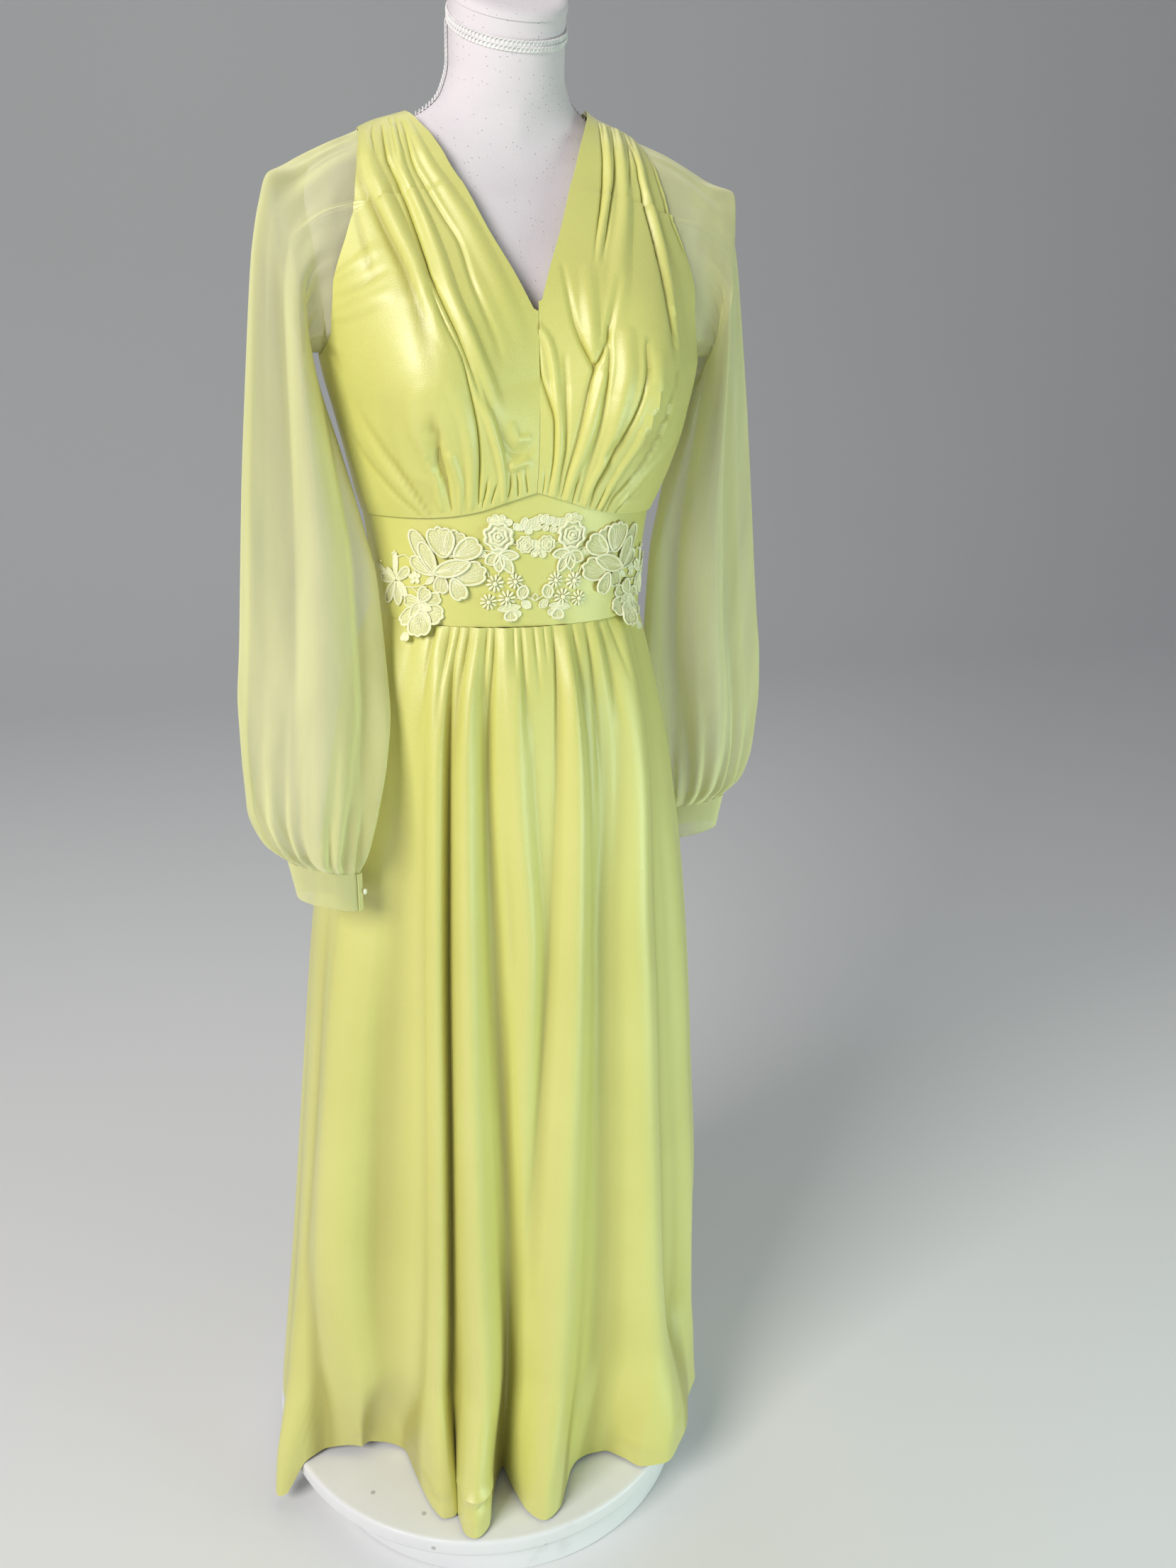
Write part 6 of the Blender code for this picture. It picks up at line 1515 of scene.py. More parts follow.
SATIN = SatinKnit("satin_knit", "satin", (0.69, 0.672, 0.20), (0.64, 0.622, 0.165), 0.43, 0.15, specular=1.0,
                  coat=0.27, coat_roughness=0.37, broad=5.0, fine=420.0, grain=0.25)
CHIFFON = SheerChiffon("sheer_chiffon", "chiffon", (0.76, 0.75, 0.38), (0.71, 0.71, 0.34), 0.62, 0.22, 0.5,
                       broad=4.0, fine=500.0, grain=0.12)
LACE = CordedLace("corded_lace", "lace", (0.94, 0.93, 0.66), (0.90, 0.89, 0.57), 0.55, 0.2, 0.5)
NET = NetLace("lace_net", "lace", (0.82, 0.81, 0.45), (0.76, 0.75, 0.38), 0.70, 0.2, 0.5)
JERSEY = FleckedJersey("flecked_jersey", "jersey", (0.72, 0.665, 0.70), (0.67, 0.62, 0.66), 0.85, 0.1, 0.5,
                       broad=9.0, fine=260.0, grain=0.35)
GIMP = GimpCord("gimp_cord", "gimp", (0.84, 0.82, 0.82), (0.74, 0.72, 0.73), 0.75,
                broad=80.0, fine=1200.0, grain=0.5)
PAINT = ChippedPaint("chipped_paint", "stand_paint", (0.80, 0.80, 0.83), (0.76, 0.76, 0.79), 0.42,
                     broad=7.0, fine=60.0, grain=0.25)
PEARL = Finish("pearl_bead", "pearl", (0.84, 0.84, 0.74), (0.74, 0.76, 0.60), 0.22, broad=220.0, fine=900.0)


def hand_over(piece: bpy.types.Object, finish: Finish, *nodes: str) -> bpy.types.Object:
    """Lets a piece ride on the body and stand for its nodes, which are hidden.

    Args:
        piece: The finished piece.
        finish: Its finish, not used.
        nodes: The nodes that it stands for.

    Returns:
        The same piece.
    """
    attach(piece, "root")
    if nodes:
        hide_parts(*nodes)
    LOG.info("%s: %d faces", piece.name, len(piece.data.polygons))
    return piece


@dataclass
class Bodice:
    """The gathered fronts and plain backs above the waist band."""

    fan_columns: int = 120
    side_columns: int = 34
    front_rows: int = 168
    crease_depth: float = 1.55
    smoothings: int = 12
    puff: float = 0.004
    hollow_reach: int = 7
    hollow_depth: float = 0.0022
    back_puff: float = 0.003
    back_fullness: float = 0.0016
    back_hollow_reach: int = 4
    back_hollow_depth: float = 0.003
    back_side_fade: float = 0.10
    back_foot_fade: float = 0.06
    back_shoulder_fade: float = 0.15
    crease_loss: float = 0.7
    fullness_loss: float = 0.8
    back_columns: int = 70
    back_rows: int = 110
    front_flat: tuple[float, float] = (0.270, 0.330)
    back_flat: tuple[float, float] = (0.215, 0.370)

    @staticmethod
    def ease(z: Array) -> Array:
        """How far the cloth stands off the figure."""
        return blend(EASE, SHOULDER_EASE, step(z, EASE_FADE_Z, EASE_FADE))

    @staticmethod
    def stage(bottom: Array, middle: Array, top: Array, v: Array) -> Array:
        """A height between three stages, the middle one at the armhole's foot.

        Args:
            bottom: The value at the foot.
            middle: The value at the armhole's foot.
            top: The value at the top.
            v: Share of the way up.

        Returns:
            The value on the way up.
        """
        low = blend(bottom, middle, v / ARMHOLE_SHARE)
        high = blend(middle, top, (v - ARMHOLE_SHARE) / (1 - ARMHOLE_SHARE))
        return np.where(v < ARMHOLE_SHARE, low, high)

    @staticmethod
    def armhole_angle(side: Side, z: Array) -> Array:
        """How far round from the front the armhole's front edge lies.

        Args:
            side: The wearer's side.
            z: Height.

        Returns:
            Degrees from the front.
        """
        held = np.maximum(z, ARMHOLE_LOW_Z)
        edge = Figure.angle_at(ARMHOLE[side.word](held), held, EASE)
        t = np.clip((z - UNDERARM_Z) / (ARMHOLE_LOW_Z - UNDERARM_Z), 0.0, 1.0)
        above = np.where(z < ARMHOLE_LOW_Z, blend(90.0, edge, np.sqrt(t)), edge)
        return np.where(z <= UNDERARM_Z, 90.0, above)

    def front_base(self, side: Side, fan: Array, beyond: Array, v: Array) -> Array:
        """The front's inner face without its folds.

        Args:
            side: The wearer's side.
            fan: Share across the gathered part.
            beyond: Share across the smooth part past it.
            v: Share of the way up.

        Returns:
            Points.
        """
        fan, beyond, v = np.broadcast_arrays(fan, beyond, v)
        share = FAN_SHARE * fan + BEYOND_SHARE * beyond
        low = np.minimum(v, SHOULDER_SHARE)
        z = blend(self.stage(PEAK_Z, V_POINT_Z, NECK_SEAM_Z, low),
                  self.stage(SIDE_BAND_TOP_Z, UNDERARM_Z, SHOULDERS[side].end_z, low), share)
        inner = Figure.angle_at(NECKLINE[side.word](z), z, EASE)
        edge = Figure.angle_at(FAN_EDGE["reach"](z), z, EASE)
        outer = self.armhole_angle(side, z)
        angle = np.where(beyond > 0, blend(edge, outer, beyond), blend(inner, edge, fan))
        straight = blend(PEAK_Z, SIDE_BAND_TOP_Z, share)
        z = z + (band_top(angle) - straight) * np.clip(1 - low / RISE_SHARE, 0.0, 1.0) ** 1.5
        puff = self.puff * np.sin(math.pi * np.minimum(low / RISE_SHARE, 1.0)) * (1 - beyond)
        blouse = BLOUSE[side.word](z) * np.sin(np.radians(angle)) ** 2
        points = Figure.point(side.value * angle, z, self.ease(z) + blouse + puff)
        over = Figure.over_shoulder(side, points, v, share, False)
        return np.where((v > SHOULDER_SHARE)[..., None], over, points)

    def back_base(self, side: Side, share: Array, v: Array) -> Array:
        """The back's inner face.

        Args:
            side: The wearer's side.
            share: Share across, from the middle.
            v: Share of the way up.

        Returns:
            Points.
        """
        share, v = np.broadcast_arrays(share, v)
        low = np.minimum(v, SHOULDER_SHARE)
        inner_z = self.stage(SIDE_BAND_TOP_Z, V_POINT_Z, BACK_RISE_Z, low)
        outer_z = self.stage(SIDE_BAND_TOP_Z, UNDERARM_Z, SHOULDERS[side].end_z, low)
        z = blend(inner_z, outer_z, share)
        angle = blend(0.0, self.armhole_angle(side, z), share)
        blouse = BLOUSE[side.word](z) * np.sin(np.radians(angle)) ** 8
        out = self.ease(z) + self.back_puff * np.sin(math.pi * low) * (1 - share) + blouse
        points = Figure.point(side.value * (180 - angle), z, out)
        over = Figure.over_shoulder(side, points + np.array([side.value * SEAM_SHIFT, 0, 0]), v, share, True)
        return np.where((v > SHOULDER_SHARE)[..., None], over, points)

    @staticmethod
    def seamed(side: Side, points: Array, shift: float) -> Array:
        """A panel drawn back from its seams, with a shift to the front or back at its side and shoulder.

        Args:
            side: The wearer's side.
            points: Points of a grid, rows by columns.
            shift: The shift in depth.

        Returns:
            The same points, changed in place.
        """
        middle = np.abs(points[:, 0, 0] - BODY_X) < SEAM_REACH
        points[:, 0, 0] = np.where(middle, BODY_X + side.value * GAP / 2, points[:, 0, 0])
        points[0, :, 2] += GAP / 2
        points[:, -1, 1] += shift
        points[-1, :, 1] += shift
        return points

    def front_grid(self, side: Side) -> tuple[Array, Array]:
        """The inner face of a front, with its folds, and its hollows.

        Args:
            side: The wearer's side.

        Returns:
            The points and the hollows' depths.
        """
        fan = np.concatenate([np.linspace(0, 1, self.fan_columns + 1), np.ones(self.side_columns)])[None, :]
        beyond = np.concatenate([np.zeros(self.fan_columns + 1),
                                 np.linspace(0, 1, self.side_columns + 1)[1:]])[None, :]
        v = np.linspace(0, 1, self.front_rows + 1)[:, None]
        points = self.front_base(side, fan, beyond, v)
        normals = grid_normals(points) * side.value
        for _ in range(self.smoothings):
            normals[1:-1] = (normals[:-2] + 2 * normals[1:-1] + normals[2:]) / 4
        normals /= np.linalg.norm(normals, axis=2, keepdims=True)
        fullness = FRONT_FULLNESS["lift"](v)
        lift = self.crease_depth * creased(FRONT_CREASES[side], points, normals)
        deep = hollows(lift, self.hollow_reach, self.hollow_depth)
        lift = lift * (1 - self.crease_loss * beyond ** 3)
        lift = lift + fullness * (1 - self.fullness_loss * beyond ** 2)
        points = points + normals * np.maximum(lift, SATIN_LIFT)[:, :, None]
        return self.seamed(side, points, -GAP / 2), deep

    def back_grid(self, side: Side) -> tuple[Array, Array]:
        """The inner face of a back, and how deep its points lie.

        Args:
            side: The wearer's side.

        Returns:
            The points and the hollows' depths.
        """
        share = np.linspace(0, 1, self.back_columns + 1)[None, :]
        v = np.linspace(0, 1, self.back_rows + 1)[:, None]
        points = self.back_base(side, share, v)
        normals = -grid_normals(points) * side.value
        sides = step(share, 0.0, self.back_side_fade) * step(share, 1.0, -self.back_side_fade)
        inside = sides * step(v, 0.0, self.back_foot_fade)
        fullness = self.back_fullness * step(v, SHOULDER_SHARE, -self.back_shoulder_fade)
        lift = np.maximum(fullness + creased(BACK_CREASES[side], points, normals), 0.0) * inside
        points = points + normals * (lift + SATIN_LIFT)[..., None]
        deep = hollows(lift, self.back_hollow_reach, self.back_hollow_depth)
        return self.seamed(side, points, GAP / 2), deep

    def armhole(self, side: Side, around: Array) -> Array:
        """Points of the armhole's edge.

        Args:
            side: The wearer's side.
            around: Places round the armhole from 0 at the shoulder, down the front, to 1.

        Returns:
            Points.
        """
        front_v, back_v = (np.interp(way, *ARMHOLE_WAY) for way in (around, 1 - around))
        front = self.front_base(side, np.ones_like(around), np.ones_like(around), front_v)
        back = self.back_base(side, np.ones_like(around), back_v)
        front[:, 1] -= GAP / 2
        back[:, 1] += GAP / 2
        return np.where((around <= 0.5)[:, None], front, back)

    def build(self) -> None:
        """Builds the fronts and backs."""
        seams = {"bottom": 2, "top": 1, "start": 0}
        for side in Side:
            satin = SATIN.material()
            grid, deep = self.front_grid(side)
            front = Bench.shell(f"bodice-front-{side.word}", grid, SATIN_WALL, satin,
                                flip=side is Side.RIGHT, seams=seams, hollow=deep)
            hand_over(front, SATIN, f"bodice_front_{side.word}")
            grid, deep = self.back_grid(side)
            back = Bench.shell(f"bodice-back-{side.word}", grid, SATIN_WALL, satin,
                               flip=side is Side.LEFT, seams=seams, hollow=deep)
            hand_over(back, SATIN, f"bodice_back_{side.word}")


@dataclass
class Midriff:
    """The shaped waist band, peaked at the centre front."""

    front_columns: int = 180
    back_columns: int = 50
    rows: int = 22

    @staticmethod
    def point(angle: Array, z: Array, out: Array = 0.0) -> Array:
        """A point of the band's inner face, moved out from it."""
        return Figure.point(angle, z, BAND_OUT + out)

    def grid(self, start: float, end: float, columns: int, word: str) -> Array:
        """The band's inner face between two angles, with the creases of a named panel.

        Args:
            start: The first angle.
            end: The last angle.
            columns: How many columns.
            word: The panel's name in the table of creases.

        Returns:
            The points, rows by columns.
        """
        angle = folded(np.linspace(start, end, columns + 1))[None, :]
        share = np.linspace(0, 1, self.rows + 1)[:, None]
        z = blend(WAIST_Z + GAP / 2, band_top(angle) - GAP, share)
        flat = self.point(angle + 0 * z, z, SATIN_LIFT)
        lift = creased(BAND_CREASES[word], flat, grid_normals(flat))
        return self.point(angle + 0 * z, z, SATIN_LIFT + lift)

    def build(self) -> None:
        """Builds the front band and the two back bands."""
        satin = SATIN.material()
        front = self.grid(-90, 90, self.front_columns, "front")
        front[:, [0, -1], 1] -= GAP / 2
        piece = Bench.shell("midriff-front", front, SATIN_WALL, satin,
                            seams={"bottom": 2, "top": 2, "start": 1, "end": 1})
        hand_over(piece, SATIN, "midriff_front")
        left = self.grid(90, 180, self.back_columns, "left")
        left[:, 0, 1] += GAP / 2
        left[:, -1, 0] = BODY_X + GAP / 2
        right = self.grid(180, 270, self.back_columns, "right")
        right[:, -1, 1] += GAP / 2
        right[:, 0, 0] = BODY_X - GAP / 2
        for word, grid, ends in (("left", left, (1, 0)), ("right", right, (0, 1))):
            seams = {"bottom": 2, "top": 2, "start": ends[0], "end": ends[1]}
            piece = Bench.shell(f"midriff-back-{word}", grid, SATIN_WALL, satin, seams=seams)
            hand_over(piece, SATIN, f"midriff_back_{word}")


@dataclass(frozen=True)
class Petal:
    """A lace petal or leaf, from its foot on the band, in millimetres, towards a way in degrees."""

    along: float
    height: float
    way: float
    length: float
    width: float
    lobes: int = 0
    veins: int = 0
    layer: int = 0
    pointed: int = 0

    def outline(self, steps: int = 44) -> Array:
        """The petal's edge, from its foot round by its tip.

        Args:
            steps: How many points.

        Returns:
            The edge's points, in millimetres.
        """
        turn = np.linspace(0, 2 * math.pi, steps, endpoint=False)
        share = 0.5 - 0.5 * np.cos(turn)
        rounded = np.sin(turn) * blend(PETAL_FOOT, PETAL_TIP, share)
        across = signed_power(np.sin(turn), POINTED_POWER) if self.pointed else rounded
        off = np.stack([(share - 0.5) * self.length, across * self.width / 2], axis=1)
        bearing = np.arctan2(off[:, 1], off[:, 0])
        for k in range(1, self.lobes):
            notch = NOTCH_SPAN * (k / self.lobes - 0.5)
            off *= (1 - NOTCH_DEPTH * np.exp(-((bearing - notch) / NOTCH_WIDTH) ** 2))[:, None]
        c, s = math.cos(math.radians(self.way)), math.sin(math.radians(self.way))
        x, y = off[:, 0] + self.length / 2, off[:, 1]
        return np.stack([self.along + x * c - y * s, self.height + x * s + y * c], axis=1)


class Relief:
    """Gathers the pads, cords and knots of a lace piece on the band, with its finer sizes in millimetres."""

    SKIRT_SLOPE = 0.36
    WAIST_STEP = 0.005
    STEP_REACH = 0.010
    SMALL_WIDTH = 7.5
    LAYER_RISE = 1.1
    PAD_HEIGHT = 0.7
    PAD_SIZES = (0.97, 1.0, 0.8, 0.45)
    PAD_RISES = (0.0, 0.45, 0.85, 1.0)
    SMALL_EDGE = 0.65
    EDGE = 1.0
    VEIN = 0.34
    VEIN_RISE = 0.5
    VEIN_SPREAD = 1.7
    VEIN_SHARES = (0.08, 0.86, 5)
    ROSE_WAVE = 0.075
    ROSE_HEIGHT = 0.6
    ROSE_RINGS = ((1.0, 8, 0.11, 0.0), (0.64, 6, 0.10, 0.5), (0.36, 5, 0.09, 0.9))
    DAISY_RAYS = 10

    def __init__(self, mirror: int) -> None:
        """Starts a piece.

        Args:
            mirror: 1 as the tables stand, -1 for the other side of the middle.
        """
        self.mirror = mirror
        self.points: list[Array] = []
        self.faces: list[Array] = []
        self.uvs: list[Array] = []
        self.nets: list[Array] = []
        self.count = 0
        angles = np.arange(0.0, 112.0, 2.0)
        line = Midriff.point(angles, np.full_like(angles, 1.05))
        lengths = Bench.way_along(line[:, None])
        self.arc = Track(lengths, angles)

    def place(self, along: Array, height: Array, out: Array) -> Array:
        """Points over the band or the skirt's top, from places in millimetres.

        Args:
            along: Places along the band from the middle.
            height: Heights.
            out: How far off the band.

        Returns:
            Points, in metres.
        """
        along, height, out = np.broadcast_arrays(along * float(self.mirror), height, out)
        z = height * MM
        angle = np.sign(along) * self.arc(np.abs(along) * MM)
        point = Midriff.point(angle, np.maximum(z, WAIST_Z), SATIN_WALL + 2 * SATIN_LIFT + out * MM)
        away = point[..., :2] - np.array((BODY_X, BODY_Y))
        away /= np.linalg.norm(away, axis=-1, keepdims=True)
        below = self.SKIRT_SLOPE * np.maximum(WAIST_Z - z, 0)
        push = below + self.WAIST_STEP * step(z, WAIST_Z + self.STEP_REACH, -self.STEP_REACH)
        point[..., :2] += away * push[..., None]
        point[..., 2] = z
        return point

    def add(self, vertices: Array, triangles: Array, uv: Array, net: bool = False) -> None:
        """Takes in a closed body.

        Args:
            vertices: Its points.
            triangles: Its triangles.
            uv: A place on the cloth each.
            net: Whether it is net.
        """
        self.points.append(vertices)
        self.faces.append(Bench.outwards(vertices, triangles) + self.count)
        self.uvs.append(uv)
        self.nets.append(np.full(len(triangles), int(net)))
        self.count += len(vertices)

    def pad(self, outline: Array, rise: float, height: float, net: bool) -> None:
        """Adds a domed pad inside an outline.

        Args:
            outline: Its edge, in millimetres.
            rise: How far off the band it starts.
            height: How high its middle stands over that.
            net: Whether it is net, not satin stitch.
        """
        middle = outline.mean(axis=0)
        sizes = np.array(self.PAD_SIZES)[:, None, None]
        ups = rise + height * np.array(self.PAD_RISES)[:, None]
        flat = middle + (outline - middle)[None] * sizes
        rings = self.place(flat[..., 0], flat[..., 1], ups)
        vertices, triangles = Bench.closed_rings(rings)
        uv = np.concatenate([flat.reshape(-1, 2), middle[None], middle[None]]) * MM
        self.add(vertices, triangles, uv, net)

    def cord(self, line: Array, radius: float, rise: float = 0.0, closed: bool = False, sides: int = 6
             ) -> None:
        """Adds a round cord along a line.

        Args:
            line: Points, in millimetres.
            radius: The cord's radius.
            rise: How far off the band it lies.
            closed: Whether its ends meet.
            sides: The corners of its section.
        """
        if closed:
            tangent = np.roll(line, -1, axis=0) - np.roll(line, 1, axis=0)
        else:
            tangent = np.gradient(line, axis=0)
        tangent = tangent / np.maximum(np.linalg.norm(tangent, axis=1, keepdims=True), TINY)
        side = np.stack([-tangent[:, 1], tangent[:, 0]], axis=1)
        turn = np.linspace(0, 2 * math.pi, sides, endpoint=False)
        flat = line[:, None] + side[:, None] * (np.cos(turn) * radius)[None, :, None]
        rings = self.place(flat[..., 0], flat[..., 1], rise + radius * (1 + np.sin(turn))[None, :])
        length = Bench.way_along(line[:, None])
        uv = Bench.pairs(radius * turn, length)[:, ::-1] * MM
        if closed:
            quads = Bench.grid_quads(len(line) + 1, sides, True) % (len(line) * sides)
            triangles = np.concatenate([quads[:, [0, 1, 2]], quads[:, [0, 2, 3]]])
            self.add(rings.reshape(-1, 3), triangles, uv)
        else:
            vertices, triangles = Bench.closed_rings(rings)
            self.add(vertices, triangles, np.concatenate([uv, uv[:1], uv[-1:]]))

    def stem(self, line: list[tuple[float, float]], radius: float) -> None:
        """Adds a smooth stem through a few points."""
        self.cord(smooth_line(np.array(line), STEM_STEPS * len(line)), radius)

    def petal(self, petal: Petal) -> None:
        """Adds a petal: its pad, its edge cord and its veins.

        Args:
            petal: The petal.
        """
        outline = petal.outline()
        small = petal.width < self.SMALL_WIDTH
        rise = self.LAYER_RISE * petal.layer
        self.pad(outline, rise, self.PAD_HEIGHT, not small)
        self.cord(outline, self.SMALL_EDGE if small else self.EDGE, rise, closed=True)
        foot = outline[0]
        for k in range(petal.veins):
            spread = 0.0 if petal.veins == 1 else (k / (petal.veins - 1) - 0.5) * self.VEIN_SPREAD
            tip = outline[int(round((0.5 + spread / (2 * math.pi)) * len(outline))) % len(outline)]
            line = foot + (tip - foot) * np.linspace(*self.VEIN_SHARES)[:, None]
            self.cord(line, self.VEIN, rise + self.VEIN_RISE, sides=4)

    def knot(self, along: float, height: float, radius: float, rise: float) -> None:
        """Adds a round knot.

        Args:
            along: Where it is along the band, in millimetres.
            height: Where it is in height, in millimetres.
            radius: Its radius, in millimetres.
            rise: How far off the band it starts.
        """
        tilt = np.radians(np.linspace(-75, 75, 6))[:, None]
        turn = np.linspace(0, 2 * math.pi, 10, endpoint=False)[None, :]
        spread = radius * np.cos(tilt)
        rings = self.place(along + spread * np.cos(turn), height + spread * np.sin(turn),
                           rise + radius * (1 + np.sin(tilt)) + 0 * turn)
        vertices, triangles = Bench.closed_rings(rings)
        self.add(vertices, triangles, vertices[:, [0, 2]])

    def rose(self, along: float, height: float, radius: float) -> None:
        """Adds a rose of lobed rings, one in the other.

        Args:
            along: Where it is along the band, in millimetres.
            height: Where it is in height, in millimetres.
            radius: Its radius, in millimetres.
        """
        turn = np.linspace(0, 2 * math.pi, 56, endpoint=False)
        for size, lobes, thick, rise in self.ROSE_RINGS:
            wave = self.ROSE_WAVE * np.cos(lobes * turn + 3 * size)
            reach = radius * size * (1 + wave) - thick * radius
            ring = np.stack([along + reach * np.cos(turn), height + reach * np.sin(turn)], axis=1)
            self.pad(ring, rise, self.ROSE_HEIGHT, False)
            self.cord(ring, thick * radius, rise * self.ROSE_HEIGHT, closed=True)
        self.knot(along, height, 0.15 * radius, 1.1)

    def daisy(self, along: float, height: float, radius: float) -> None:
        """Adds a daisy of narrow rays round a knot.

        Args:
            along: Where it is along the band, in millimetres.
            height: Where it is in height, in millimetres.
            radius: Its radius, in millimetres.
        """
        for k in range(self.DAISY_RAYS):
            way = 360 / self.DAISY_RAYS * k + 11
            c, s = math.cos(math.radians(way)), math.sin(math.radians(way))
            foot = 0.24 * radius
            ray = Petal(along + foot * c, height + foot * s, way, 0.80 * radius, 0.31 * radius)
            self.pad(ray.outline(16), 0.2, 1.7, False)
        self.knot(along, height, 0.27 * radius, 0.5)

    def finished(self, name: str) -> bpy.types.Object:
        """The lace piece as one joined mesh.

        Args:
            name: The piece's name.

        Returns:
            The new object.
        """
        vertices, faces = np.concatenate(self.points), np.concatenate(self.faces)
        piece = Bench.mesh(name, vertices, faces, np.concatenate(self.uvs), LACE.material(), 60.0)
        piece.data.materials.append(NET.material())
        piece.data.polygons.foreach_set("material_index", np.concatenate(self.nets).astype(np.int32))
        return piece


@dataclass
class Lace:
    """The lace on the band: an applique each side and the garland between them."""

    stem_radius: float = 0.55
    flat: tuple[float, float] = (0.135, 0.110)
    garland_flat: tuple[float, float] = (0.050, 0.042)

    def build(self) -> None:
        """Builds the three lace pieces."""
        for side in Side:
            relief = Relief(-side.value)
            for row in SIDE_PETALS:
                relief.petal(Petal(*row))
            for stem in SIDE_STEMS:
                relief.stem(stem, self.stem_radius)
            for along, height in SIDE_KNOTS:
                relief.knot(along, height, 0.9, 0.6)
            for rose in ROSES:
                relief.rose(*rose)
            for daisy in DAISIES:
                relief.daisy(*daisy)
            piece = hand_over(relief.finished(f"lace-{side.word}"), LACE, f"lace_{side.word}")
        relief = Relief(1)
        for row in GARLAND_PETALS:
            relief.petal(Petal(*row))
        for stem in GARLAND_STEMS:
            relief.stem(stem, self.stem_radius)
        for along, height in GARLAND_KNOTS:
            relief.knot(along, height, 0.8, 0.6)
        piece = hand_over(relief.finished("lace-garland"), LACE, "lace_garland")


